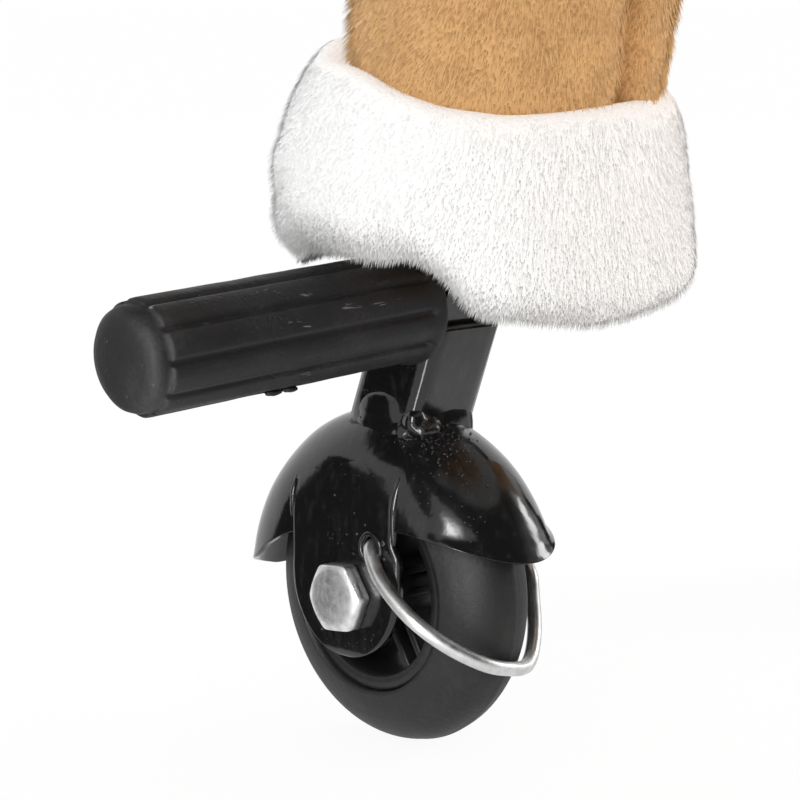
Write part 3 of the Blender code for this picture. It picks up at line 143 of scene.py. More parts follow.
def from_post(outward: Array, across: Array, along: Array) -> Array:
    """Points given along the leaning post, in the leg's frame.

    Args:
        outward: distance from the post's axis, away from the horse.
        across: distance from the axis towards the rear, square to the post.
        along: distance up the post from the axle's height.

    Returns:
        One row of X, Y and Z for each point.
    """
    sine, cosine = math.sin(LAYOUT.lean), math.cos(LAYOUT.lean)
    outward, across, along = np.broadcast_arrays(outward, across, along)
    y = -LAYOUT.post_offset + along * sine + across * cosine
    return np.stack([outward, y, along * cosine - across * sine], axis=-1)


def smooth(value: Array, low: float, high: float) -> Array:
    """A smooth step.

    Args:
        value: what is stepped.
        low: where the step starts.
        high: where it ends.

    Returns:
        0 before low and 1 after high, with an S curve between.
    """
    share = np.clip((np.asarray(value, float) - low) / (high - low), 0.0, 1.0)
    return share * share * (3.0 - 2.0 * share)


def bell(value: Array, width: float) -> Array:
    """A round hump, 1 at 0 and nearly gone at twice the width."""
    return np.exp(-(value / width) ** 2)


def round_turns(count: int) -> Array:
    """Angles spread evenly round a circle, in radians."""
    return np.linspace(0.0, 2 * math.pi, count, endpoint=False)


def unit(rows: Array) -> Array:
    """Rows made one long."""
    return rows / np.linalg.norm(rows, axis=-1, keepdims=True)


def waves_at(points: Array, scale: float) -> Array:
    """Soft noise at each point, finer for a higher scale."""
    return np.array([noise.noise(Vector(point) * scale) for point in points])


def round_table(angles: Array, table: tuple[tuple[float, float], ...]) -> Array:
    """Values of a table that runs right round, eased between its entries.

    Args:
        angles: where the values are wanted, in degrees.
        table: angle in degrees and value, in rising order.

    Returns:
        One value for each angle.
    """
    keys = np.array([entry[0] for entry in table])
    values = np.array([entry[1] for entry in table])
    keys = np.concatenate([keys - 360.0, keys, keys + 360.0])
    values = np.tile(values, 3)
    turned = (np.asarray(angles) + 180.0) % 360.0 - 180.0
    spread = np.linspace(-9.0, 9.0, 7)
    return sum(np.interp(turned + step, keys, values) for step in spread) / len(spread)


# Meshes

TOUCHING = 1e-6
SUBDIVIDED = ("SUBSURF", {"levels": 1, "render_levels": 1})


def voxels(size: float) -> tuple[str, dict]:
    """The remesh that gives a form an even net of small faces."""
    return "REMESH", {"mode": "VOXEL", "voxel_size": size, "use_smooth_shade": True}


def eased(steps: int) -> tuple[str, dict]:
    """The smoothing that takes a form's steps off."""
    return "SMOOTH", {"factor": 0.5, "iterations": steps}


def rounded(width: float, fold: float = 30.0) -> tuple[str, dict]:
    """The bevel that rounds each edge folded by more than an angle in degrees."""
    return "BEVEL", {
        "width": width, "segments": 2, "limit_method": "ANGLE", "angle_limit": math.radians(fold)}


def make_mesh(points: Array, faces: list, smooth_faces: bool = True) -> Mesh:
    """Make a mesh from points and faces.

    Args:
        points: one row for each point.
        faces: point numbers of each face, running anticlockwise seen from outside.
        smooth_faces: whether its faces are shaded smooth.

    Returns:
        The mesh.
    """
    mesh = bpy.data.meshes.new("made")
    mesh.from_pydata(np.asarray(points, float).tolist(), [], [tuple(map(int, face)) for face in faces])
    mesh.validate()
    mesh.shade_smooth() if smooth_faces else mesh.shade_flat()
    return mesh


def grid_faces(rows: int, columns: int, wrap: bool, start: int = 0, flip: bool = False) -> list:
    """Faces of a grid of points that is stored row by row.

    Args:
        rows: number of rows.
        columns: number of points in a row.
        wrap: whether each row is a closed loop.
        start: number of the grid's first point.
        flip: whether the faces run the other way.

    Returns:
        The faces, as point numbers.
    """
    faces = []
    for row in range(rows - 1):
        for column in range(columns if wrap else columns - 1):
            after = (column + 1) % columns
            a = start + row * columns + column
            b = start + row * columns + after
            face = (a, b, b + columns, a + columns)
            faces.append(face[::-1] if flip else face)
    return faces


def loft(rings: Array, caps: bool = True) -> Mesh:
    """Join closed rings to a tube, with a point at the middle of each end.

    Args:
        rings: array of rings by points by 3.
        caps: whether the ends are closed.

    Returns:
        The mesh, with its faces outwards.
    """
    count, sides, _ = rings.shape
    points = rings.reshape(-1, 3)
    faces = grid_faces(count, sides, True)
    if caps:
        points = np.vstack([points, rings[0].mean(0), rings[-1].mean(0)])
        low, high = len(points) - 2, len(points) - 1
        last = (count - 1) * sides
        for side in range(sides):
            after = (side + 1) % sides
            faces.append((low, after, side))
            faces.append((high, last + side, last + after))
    return outwards(make_mesh(points, faces))


def outwards(mesh: Mesh, merged: float = 0.0) -> Mesh:
    """Turn a mesh's faces outwards and return it.

    Args:
        mesh: the mesh.
        merged: distance within which its points are merged first, if any.

    Returns:
        The same mesh.
    """
    bm = bmesh.new()
    bm.from_mesh(mesh)
    if merged:
        bmesh.ops.remove_doubles(bm, verts=bm.verts, dist=merged)
        bm.normal_update()
    bmesh.ops.recalc_face_normals(bm, faces=bm.faces)
    bm.to_mesh(mesh)
    bm.free()
    return mesh


def merge(meshes: list[Mesh]) -> Mesh:
    """Put several meshes into one, with their attributes, and remove them.

    Args:
        meshes: the meshes to take.

    Returns:
        The new mesh.
    """
    bm = bmesh.new()
    for mesh in meshes:
        bm.from_mesh(mesh)
    result = bpy.data.meshes.new("merged")
    bm.to_mesh(result)
    bm.free()
    for mesh in meshes:
        bpy.data.meshes.remove(mesh)
    return result


def joined(rings: Array, closed: bool) -> Mesh:
    """The rings of a path joined to a tube, with its ends shut or run into each other.

    Args:
        rings: array of rings by points by 3.
        closed: whether the path is a loop.

    Returns:
        The mesh.
    """
    if not closed:
        return loft(rings)
    return outwards(loft(np.concatenate([rings, rings[:1]]), caps=False), TOUCHING)


def way_along(path: Array, closed: bool) -> Array:
    """The way that a path runs at each of its points, as rows one long.

    Args:
        path: one row for each point.
        closed: whether it is a loop.

    Returns:
        One row for each point.
    """
    ahead = np.roll(path, -1, 0) - np.roll(path, 1, 0)
    if not closed:
        ahead[0], ahead[-1] = path[1] - path[0], path[-1] - path[-2]
    return unit(ahead)


def tube(
        path: Array, radius: Array | float, sides: int = 10, closed: bool = False,
        roughness: float = 0.0) -> Mesh:
    """A round tube along a path.

    Args:
        path: one row for each point that the tube follows.
        radius: its radius, or one for each point.
        sides: number of its sides.
        closed: whether the path is a loop.
        roughness: how far its surface goes in and out, in metres, as on a weld bead.

    Returns:
        The mesh.
    """
    path = np.asarray(path, float)
    radii = np.broadcast_to(np.asarray(radius, float), (len(path),))
    ahead = way_along(path, closed)
    side = np.cross(ahead[0], (0.0, 0.0, 1.0) if abs(ahead[0][2]) < 0.9 else (1.0, 0.0, 0.0))
    rings = []
    for point, direction, size in zip(path, ahead, radii):
        side = unit(side - direction * (side @ direction))
        other = np.cross(direction, side)
        ring = []
        for index in range(sides):
            turn = 2 * math.pi * index / sides
            away = side * math.cos(turn) + other * math.sin(turn)
            reach = size
            if roughness:
                spot = Vector(point + away * size) * 420.0
                reach += roughness * noise.noise(spot)
            ring.append(point + away * reach)
        rings.append(ring)
    return joined(np.array(rings), closed)


def spline_through(points: Array, count: int) -> Array:
    """A smooth line through points.

    Args:
        points: the points that it passes.
        count: how many points the line gets.

    Returns:
        The line's points, evenly spread by number.
    """
    points = np.asarray(points, float)
    padded = np.vstack([2 * points[0] - points[1], points, 2 * points[-1] - points[-2]])
    line = []
    for share in np.linspace(0.0, len(points) - 1 - 1e-9, count):
        index = int(share)
        t = share - index
        a, b, c, d = padded[index:index + 4]
        line.append(
            0.5 * (2 * b + (c - a) * t + (2 * a - 5 * b + 4 * c - d) * t * t
            + (3 * b - a - 3 * c + d) * t ** 3))
    return np.array(line)


def lathe(profile: Array, sides: int, closed: bool = True) -> Mesh:
    """Turn a profile about the X axis.

    Args:
        profile: rows of X and radius.
        sides: number of steps round.
        closed: whether the profile is a loop.

    Returns:
        The mesh.
    """
    profile = np.asarray(profile, float)
    turns = round_turns(sides)
    rings = np.stack(
        [np.broadcast_to(profile[:, 0], (sides, len(profile))), np.outer(np.cos(turns), profile[:, 1]),
        np.outer(np.sin(turns), profile[:, 1])], axis=-1)
    points = rings.reshape(-1, 3)
    columns = len(profile)
    faces = []
    for row in range(sides):
        low = row * columns
        high = ((row + 1) % sides) * columns
        for column in range(columns if closed else columns - 1):
            after = (column + 1) % columns
            faces.append((low + column, low + after, high + after, high + column))
    return outwards(make_mesh(points, faces), TOUCHING)


def airy(obj: Object) -> Object:
    """Let light through a pile, as thin fibres do, so that it doesn't darken its own ground.

    Args:
        obj: the pile.

    Returns:
        The same object.
    """
    obj.visible_shadow = False
    obj.visible_diffuse = False
    return obj


def in_scene(name: str, data: bpy.types.ID) -> Object:
    """Make an object at the origin and put it in the scene.

    Args:
        name: its name.
        data: its mesh, camera or lamp.

    Returns:
        The object.
    """
    obj = bpy.data.objects.new(name, data)
    bpy.context.scene.collection.objects.link(obj)
    return obj


def shown(name: str, mesh: Mesh, *materials: Material) -> Object:
    """Put a mesh in the scene as an object at the origin.

    Args:
        name: the object's name.
        mesh: its mesh.
        materials: the materials of its slots, or none to keep the mesh's own.

    Returns:
        The object.
    """
    mesh.name = name
    if materials:
        mesh.materials.clear()
        for material in materials:
            mesh.materials.append(material)
    return in_scene(name, mesh)


def put(
        name: str, mesh: Mesh, body: str, slot: str, replaced: tuple[str, ...],
        *materials: Material) -> Object:
    """Set one finished piece in the scene, on its body, and hide the nodes that it stands for.

    Args:
        name: its name.
        mesh: its mesh, in the horse's frame.
        body: the body that carries it, or nothing for a piece that will bend.
        slot: the record's material slot; not used.
        replaced: the nodes that it stands for.
        materials: its finishes, or none to keep the mesh's own.

    Returns:
        The piece.
    """
    obj = shown(name, mesh, *materials)
    if body:
        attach(obj, body)
    if replaced:
        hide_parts(*replaced)
    log.info("%s: %d faces", obj.name, len(obj.data.polygons))
    return obj


def at_corner(mesh: Mesh, corner: Corner, leans: bool) -> Mesh:
    """A copy of a leg's mesh, set at its corner of the horse.

    Args:
        mesh: the mesh round the wheel's middle.
        corner: where it goes.
        leans: whether it is turned round at the rear.

    Returns:
        The copy, with its faces outwards.
    """
    copy = mesh.copy()
    copy.transform(corner.place(leans))
    for attribute in copy.attributes:
        if attribute.name in ("skin_normal", "comb"):
            values = np.zeros(len(attribute.data) * 3, np.float32)
            attribute.data.foreach_get("vector", values)
            values = values.reshape(-1, 3) * (*corner.signs(leans), 1.0)
            attribute.data.foreach_set("vector", values.astype(np.float32).ravel())
    if math.prod(corner.signs(leans)) < 0:
        copy.flip_normals()
    return copy


def set_attribute(mesh: Mesh, name: str, values: Array) -> None:
    """Store one number or one vector for each point of a mesh.

    Args:
        mesh: the mesh.
        name: the attribute's name.
        values: one row for each point.
    """
    values = np.asarray(values, np.float32)
    kind, field = ("FLOAT", "value") if values.ndim == 1 else ("FLOAT_VECTOR", "vector")
    if name in mesh.attributes:
        mesh.attributes.remove(mesh.attributes[name])
    attribute = mesh.attributes.new(name, kind, "POINT")
    attribute.data.foreach_set(field, values.ravel())


def points_of(mesh: Mesh) -> Array:
    """A mesh's points, one row each.

    Args:
        mesh: the mesh.

    Returns:
        Their places.
    """
    values = np.zeros(len(mesh.vertices) * 3)
    mesh.vertices.foreach_get("co", values)
    return values.reshape(-1, 3)


def normals_of(mesh: Mesh) -> Array:
    """The normals at a mesh's points, one row each.

    Args:
        mesh: the mesh.

    Returns:
        The normals.
    """
    values = np.zeros(len(mesh.vertices) * 3, np.float32)
    mesh.vertex_normals.foreach_get("vector", values)
    return values.reshape(-1, 3).astype(float)


def move_points(mesh: Mesh, points: Array) -> None:
    """Give a mesh's points new places."""
    mesh.vertices.foreach_set("co", np.asarray(points, float).ravel())
    mesh.update()


def modified(mesh: Mesh, *modifiers: tuple[str, dict]) -> Mesh:
    """Run a mesh through modifiers.

    Args:
        mesh: the mesh to change, which is removed.
        modifiers: the kind and the settings of each.

    Returns:
        The changed mesh.
    """
    obj = in_scene("work", mesh)
    for kind, settings in modifiers:
        modifier = obj.modifiers.new(kind.lower(), kind)
        for key, value in settings.items():
            setattr(modifier, key, value)
    result = baked(obj)
    bpy.data.meshes.remove(mesh)
    return result


def baked(obj: Object) -> Mesh:
    """Turn what an object shows into a plain mesh, and remove the object.

    Args:
        obj: the object.

    Returns:
        The mesh, with its modifiers applied.
    """
    evaluated = obj.evaluated_get(bpy.context.evaluated_depsgraph_get())
    mesh = bpy.data.meshes.new_from_object(
        evaluated, preserve_all_data_layers=True, depsgraph=bpy.context.evaluated_depsgraph_get())
    bpy.data.objects.remove(obj)
    return mesh


def swell(mesh: Mesh, voxel: float, pressure: float, cap: float, hold: float = 0.0) -> Mesh:
    """Fill a soft form as stuffing does, with a short cloth simulation.

    Args:
        mesh: the form, slightly smaller than the finished one. It is removed.
        voxel: edge length that it is remeshed at.
        pressure: pressure of the stuffing.
        cap: how far a point may move.
        hold: how much the result is smoothed back, 0 to 1.

    Returns:
        The filled form.
    """
    mesh = modified(mesh, voxels(voxel), eased(4))
    frames = 20
    start = points_of(mesh)
    obj = in_scene("filling", mesh)
    cloth = obj.modifiers.new("cloth", "CLOTH")
    cloth.settings.quality = 4
    cloth.settings.mass = 0.3
    cloth.settings.tension_stiffness = 30.0
    cloth.settings.compression_stiffness = 30.0
    cloth.settings.bending_stiffness = 0.6
    cloth.settings.use_pressure = True
    cloth.settings.uniform_pressure_force = pressure
    cloth.settings.effector_weights.gravity = 0.0
    cloth.point_cache.frame_start = 1
    cloth.point_cache.frame_end = frames
    for frame_number in range(1, frames + 1):
        bpy.context.scene.frame_set(frame_number)
    filled = baked(obj)
    bpy.context.scene.frame_set(1)
    bpy.data.meshes.remove(mesh)
    moved = points_of(filled) - start
    reach = np.linalg.norm(moved, axis=1)[:, None]
    moved *= np.minimum(1.0, cap / np.maximum(reach, 1e-9)) * (1.0 - hold)
    move_points(filled, start + moved)
    return modified(filled, SUBDIVIDED)


# Finishes

class NodeTree:
    """A tree of nodes that is filled node by node."""

    def __init__(self, tree: bpy.types.NodeTree) -> None:
        """Keep the tree."""
        self.tree = tree

    def add(self, kind: str, inputs: dict | None = None, **settings) -> bpy.types.Node:
        """Add a node.

        Args:
            kind: the node's type.
            inputs: for each socket's name or number, the socket or the value that it takes.
            settings: the node's own settings.

        Returns:
            The node.
        """
        node = self.tree.nodes.new(kind)
        for key, value in settings.items():
            setattr(node, key, value)
        for key, value in (inputs or {}).items():
            self.feed(node.inputs[key], value)
        return node

    def sum(self, operation: str, first: Value, second: Value = 0.0) -> NodeSocket:
        """One sum of numbers."""
        return self.add("ShaderNodeMath", {0: first, 1: second}, operation=operation).outputs[0]

    def times(self, first: Value, second: Value) -> NodeSocket:
        """One product."""
        return self.sum("MULTIPLY", first, second)

    def weigh(self, *parts: tuple[Value, float]) -> NodeSocket:
        """The sum of values, each times its weight.

        Args:
            parts: each value with its weight.

        Returns:
            The sum's socket.
        """
        total, *rest = [self.times(value, weight) for value, weight in parts]
        for part in rest:
            total = self.sum("ADD", total, part)
        return total

    def seen(self) -> NodeSocket:
        """1 for what the camera, reflections and glass see, and 0 for what lights the object.

        Returns:
            The number's socket.
        """
        rays = self.add("ShaderNodeLightPath").outputs
        seen = self.sum("MAXIMUM", rays["Is Camera Ray"], rays["Is Glossy Ray"])
        return self.sum("MAXIMUM", seen, rays["Is Transmission Ray"])

    def feed(self, socket: NodeSocket, value: Value) -> None:
        """Give a socket a value or a link.

        Args:
            socket: the socket that takes it.
            value: a value, or the socket to link from.
        """
        if isinstance(value, NodeSocket):
            self.tree.links.new(value, socket)
        else:
            socket.default_value = value


class Graph(NodeTree):
    """The nodes of one material, with its shader and output."""

    def __init__(self, name: str) -> None:
        """Start a material with a bare shader.

        Args:
            name: the material's name.
        """
        self.material = bpy.data.materials.new(name)
        self.material.use_nodes = True
        super().__init__(self.material.node_tree)
        self.tree.nodes.clear()
        self.shader = self.tree.nodes.new("ShaderNodeBsdfPrincipled")
        output = self.tree.nodes.new("ShaderNodeOutputMaterial")
        self.tree.links.new(self.shader.outputs[0], output.inputs[0])

    def place(self, stretch: tuple[float, float, float] = (1.0, 1.0, 1.0)) -> NodeSocket:
        """The object's own coordinates, stretched."""
        own = self.add("ShaderNodeTexCoord").outputs["Object"]
        return self.add("ShaderNodeMapping", {"Vector": own, "Scale": stretch}).outputs[0]

    def noise(
            self, place: NodeSocket, scale: float, detail: float = 3.0, roughness: float = 0.55,
            distortion: float = 0.0) -> NodeSocket:
        """Soft noise from 0 to 1."""
        return self.add(
            "ShaderNodeTexNoise", {"Vector": place, "Scale": scale, "Detail": detail,
            "Roughness": roughness, "Distortion": distortion}).outputs[0]

    def cells(self, place: NodeSocket, scale: float, feature: str = "F1") -> NodeSocket:
        """Distance in a field of cells."""
        return self.add(
            "ShaderNodeTexVoronoi", {"Vector": place, "Scale": scale}, feature=feature).outputs["Distance"]

    def between(
            self, value: Value, low: float, high: float, start: float = 0.0,
            stop: float = 1.0) -> NodeSocket:
        """Fit a value smoothly into another range."""
        return self.add(
            "ShaderNodeMapRange", {"Value": value, "From Min": low, "From Max": high, "To Min": start,
            "To Max": stop}, interpolation_type="SMOOTHSTEP").outputs[0]

    def mix(self, share: Value, first: Value, second: Value) -> NodeSocket:
        """Mix two colours."""
        return self.add("ShaderNodeMix", {0: share, 6: first, 7: second}, data_type="RGBA").outputs[2]

    def attribute(self, name: str, output: str = "Fac") -> NodeSocket:
        """A value stored on the mesh."""
        return self.add("ShaderNodeAttribute", attribute_name=name).outputs[output]

    def bump(self, height: NodeSocket, depth: float) -> NodeSocket:
        """A bump from a height of 0 to 1, as deep as given in metres."""
        return self.add("ShaderNodeBump", {"Height": height, "Distance": depth}).outputs[0]

    def finish(self, **sockets: Value) -> Material:
        """Set the shader's sockets and return the material.

        Args:
            sockets: value or link by the socket's name, with _ for a space.

        Returns:
            The material.
        """
        for key, value in sockets.items():
            self.feed(self.shader.inputs[key.replace("_", " ")], value)
        return self.material


def tone(red: float, green: float, blue: float) -> tuple[float, float, float, float]:
    """A colour with full alpha."""
    return (red, green, blue, 1.0)


def dimmed(colour: tuple, share: float) -> tuple[float, float, float, float]:
    """A share of a colour, with full alpha."""
    return tone(*(share * part for part in colour[:3]))


@dataclass(frozen=True)
class PlushCloth:
    """Backing cloth of the plush, which shows between the fibres."""

    name: str
    colour: tuple
    deep: tuple
    pale: tuple | None = None

    def material(self) -> Material:
        """Make the material: knitted ground, darker in random patches, with a second colour where tone is 1.

        Returns:
            The material.
        """
        graph = Graph(self.name)
        place = graph.place()
        fine = graph.noise(place, 900.0, 2.0)
        broad = graph.noise(place, 90.0, 3.0)
        share = graph.between(graph.weigh((fine, 0.5), (broad, 0.5)), 0.36, 0.62)
        colour = graph.mix(share, self.deep, self.colour)
        if self.pale is not None:
            colour = graph.mix(graph.between(graph.attribute("tone"), 0.35, 0.65), colour, self.pale)
        return graph.finish(
            Base_Color=colour, Roughness=1.0, Specular_IOR_Level=0.1, Sheen_Weight=0.25,
            Sheen_Roughness=0.6, Normal=graph.bump(fine, 0.0006))


@dataclass(frozen=True)
class Fibre:
    """Fibres of the plush, coloured from their root to their tip; the darker root is painted shade deep in
    the pile.
    """

    name: str
    root: tuple
    tip: tuple
    pale_root: tuple
    pale_tip: tuple
    softness: float = 0.6
    roughness: float = 0.85

    def material(self) -> Material:
        """Make the material: shaded partly as the skin below it is, so that the pile looks soft.

        Returns:
            The material.
        """
        graph = Graph(self.name)
        graph.material.cycles.use_bump_map_correction = False
        # Colour runs from root to tip along each fibre, with a random share from tint: the darker root is
        # painted shade deep in the pile.
        height = graph.weigh((graph.attribute("along"), 0.75), (graph.attribute("tint"), 0.35))
        share = graph.between(height, 0.05, 0.95)
        dark = graph.mix(share, self.root, self.tip)
        pale = graph.mix(share, self.pale_root, self.pale_tip)
        patch = graph.between(graph.attribute("tone"), 0.4, 0.6)
        colour = graph.mix(patch, dark, pale)
        skin = graph.add(
            "ShaderNodeVectorTransform", {"Vector": graph.attribute("skin_normal", "Vector")},
            vector_type="NORMAL", convert_from="OBJECT", convert_to="WORLD").outputs[0]
        own = graph.add("ShaderNodeNewGeometry").outputs["Normal"]
        soft = graph.add(
            "ShaderNodeMix", {0: self.softness, 4: own, 5: skin}, data_type="VECTOR").outputs[1]
        soft = graph.add("ShaderNodeVectorMath", {0: soft}, operation="NORMALIZE").outputs[0]
        return graph.finish(
            Base_Color=colour, Roughness=self.roughness, Specular_IOR_Level=0.12, Normal=soft)


@dataclass(frozen=True)
class GlossPaint:
    """Black stove paint on pressed and welded steel."""

    name: str = "black_gloss_paint"
    colour: tuple = tone(0.0075, 0.0075, 0.0075)
    dust: tuple = tone(0.16, 0.15, 0.14)
    roughness: float = 0.1
    ripple: float = 0.0001
    specks: float = 0.055

    def material(self) -> Material:
        """Make the material: orange peel, dust caught in the paint, and smudges in its gloss.

        Returns:
            The material.
        """
        graph = Graph(self.name)
        place = graph.place()
        peel = graph.noise(place, 420.0, 2.0, 0.5)
        lumps = graph.noise(place, 95.0, 2.0, 0.5)
        speck = graph.cells(place, 620.0)
        film = graph.between(
            graph.noise(graph.place((1.0, 1.0, 0.45)), 300.0, 5.0, 0.7), 0.48, 0.72, 0.0, 0.075)
        coarse = graph.cells(place, 120.0)
        where = graph.between(graph.noise(place, 60.0, 2.0), 0.42, 0.62)
        dots = graph.between(speck, self.specks, self.specks + 0.05, 1.0, 0.0)
        grit = graph.between(coarse, 0.025, 0.045, 1.0, 0.0)
        mark = graph.sum("MAXIMUM", graph.times(dots, where), grit)
        colour = graph.mix(graph.weigh((film, 1.0), (mark, 0.4)), self.colour, self.dust)
        smudge = graph.between(
            graph.noise(place, 38.0, 4.0, 0.65), 0.35, 0.75, self.roughness, self.roughness + 0.13)
        rough = graph.weigh((smudge, 1.0), (mark, 0.35))
        height = graph.weigh((peel, 0.45), (lumps, 1.0), (mark, 0.35))
        return graph.finish(
            Base_Color=colour, Roughness=rough, IOR=1.5, Normal=graph.bump(height, self.ripple))


@dataclass(frozen=True)
class Metal:
    """Plated or bare metal."""

    name: str
    colour: tuple
    dull: tuple
    roughness: float
    grain: float
    stretch: tuple[float, float, float] = (1.0, 1.0, 1.0)
    ripple: float = 0.00006

    def material(self) -> Material:
        """Make the material: a mottled plating, blotchy in its gloss and faintly grained.

        Returns:
            The material.
        """
        graph = Graph(self.name)
        place = graph.place(self.stretch)
        blotch = graph.noise(place, 130.0, 4.0, 0.65)
        spangle = graph.cells(graph.place(), 420.0)
        grain = graph.noise(place, self.grain, 3.0, 0.6)
        share = graph.between(graph.weigh((blotch, 0.7), (spangle, 0.35)), 0.3, 0.72)
        colour = graph.mix(share, self.dull, self.colour)
        rough = graph.between(blotch, 0.3, 0.7, self.roughness + 0.12, self.roughness - 0.06)
        return graph.finish(
            Base_Color=colour, Metallic=1.0, Roughness=rough,
            Normal=graph.bump(graph.sum("ADD", grain, blotch), self.ripple))


@dataclass(frozen=True)
class Rubber:
    """Black rubber or plastic, with dust where it touches the floor or is handled."""

    name: str
    colour: tuple
    dust: tuple
    roughness: float
    dust_share: float
    grain: float = 700.0
    pits: float = 0.0
    scuffs: float = 0.0

    def material(self) -> Material:
        """Make the material: fine grain, dust in patches, and any pits and pale scuffs.

        Returns:
            The material.
        """
        graph = Graph(self.name)
        place = graph.place()
        grain = graph.noise(place, self.grain, 3.0, 0.6)
        patch = graph.noise(place, 55.0, 4.0, 0.65)
        dust = graph.between(graph.weigh((patch, 0.75), (grain, 0.3)), 0.5, 0.74, 0.0, self.dust_share)
        colour = graph.mix(dust, self.colour, self.dust)
        height = grain
        if self.pits:
            pit = graph.between(graph.cells(place, 520.0), 0.1, 0.3)
            zone = graph.between(graph.noise(place, 30.0, 1.0), 0.52, 0.6)
            height = graph.weigh((height, 1.0), (graph.times(pit, zone), self.pits))
        if self.scuffs:
            streak = graph.noise(graph.place((0.35, 1.6, 1.6)), 150.0, 4.0, 0.7, 0.6)
            worn = graph.between(streak, 0.655, 0.72, 0.0, self.scuffs)
            colour = graph.mix(worn, colour, tone(0.3, 0.29, 0.28))
        rough = graph.between(patch, 0.3, 0.7, self.roughness, self.roughness + 0.12)
        return graph.finish(
            Base_Color=colour, Roughness=rough, Specular_IOR_Level=0.35, Normal=graph.bump(height, 0.00014))


@dataclass(frozen=True)
class Leather:
    """Coated leather cloth of the saddle, the girth and the bridle."""

    name: str
    colour: tuple
    worn: tuple
    roughness: float = 0.42
    grain: float = 620.0

    def material(self) -> Material:
        """Make the material: pebbled grain with creases, paler where it stands proud.

        Returns:
            The material.
        """
        graph = Graph(self.name)
        place = graph.place()
        pebble = graph.cells(graph.place(), self.grain, "SMOOTH_F1")
        crease = graph.noise(place, 130.0, 4.0, 0.6, 0.8)
        broad = graph.noise(place, 22.0, 3.0)
        share = graph.between(graph.weigh((broad, 0.7), (crease, 0.3)), 0.38, 0.66)
        colour = graph.mix(share, self.colour, self.worn)
        height = graph.weigh((pebble, -0.8), (crease, 0.6))
        rough = graph.between(crease, 0.3, 0.7, self.roughness, self.roughness + 0.16)
        return graph.finish(Base_Color=colour, Roughness=rough, Normal=graph.bump(height, 0.00025))


@dataclass(frozen=True)
class Thread:
    """Twisted sewing thread."""

    name: str
    colour: tuple

    def material(self) -> Material:
        """Make the material: short bands of painted shade in the grooves of the twist, where its bump is
        low.

        Returns:
            The material.
        """
        graph = Graph(self.name)
        twist = graph.noise(graph.place(), 2600.0, 2.0)
        # Where the twist's bump is low the thread is dimmed: painted shade in its grooves.
        colour = graph.mix(graph.between(twist, 0.4, 0.6), dimmed(self.colour, 0.55), self.colour)
        return graph.finish(Base_Color=colour, Roughness=0.8, Normal=graph.bump(twist, 0.0002))


@dataclass(frozen=True)
class EyeGlass:
    """Glossy moulded eye with a dark pupil."""

    name: str = "eye_gloss"
    iris: tuple = tone(0.085, 0.032, 0.012)
    pupil: tuple = tone(0.004, 0.003, 0.003)

    def material(self) -> Material:
        """Make the material: brown iris with fine rays round a dark pupil, under a clear coat.

        Returns:
            The material.
        """
        graph = Graph(self.name)
        rays = graph.noise(graph.place(), 700.0, 2.0)
        ring = graph.attribute("along")
        iris = graph.mix(graph.between(rays, 0.4, 0.65), dimmed(self.iris, 0.5), self.iris)
        colour = graph.mix(graph.between(ring, 0.5, 0.56), self.pupil, iris)
        return graph.finish(
            Base_Color=colour, Roughness=graph.between(rays, 0.3, 0.7, 0.06, 0.1), Coat_Weight=1.0,
            Coat_Roughness=0.03)


@dataclass(frozen=True)
class Palette:
    """The finishes of the whole horse."""

    cloth: Material
    sock_cloth: Material
    fibre: Material
    sock_fibre: Material
    hair: Material
    ground: Material
    paint: Material
    bolt: Material
    wire: Material
    zinc: Material
    spring: Material
    tyre: Material
    hub: Material
    grip: Material
    leather: Material
    strap: Material
    thread: Material
    eye: Material


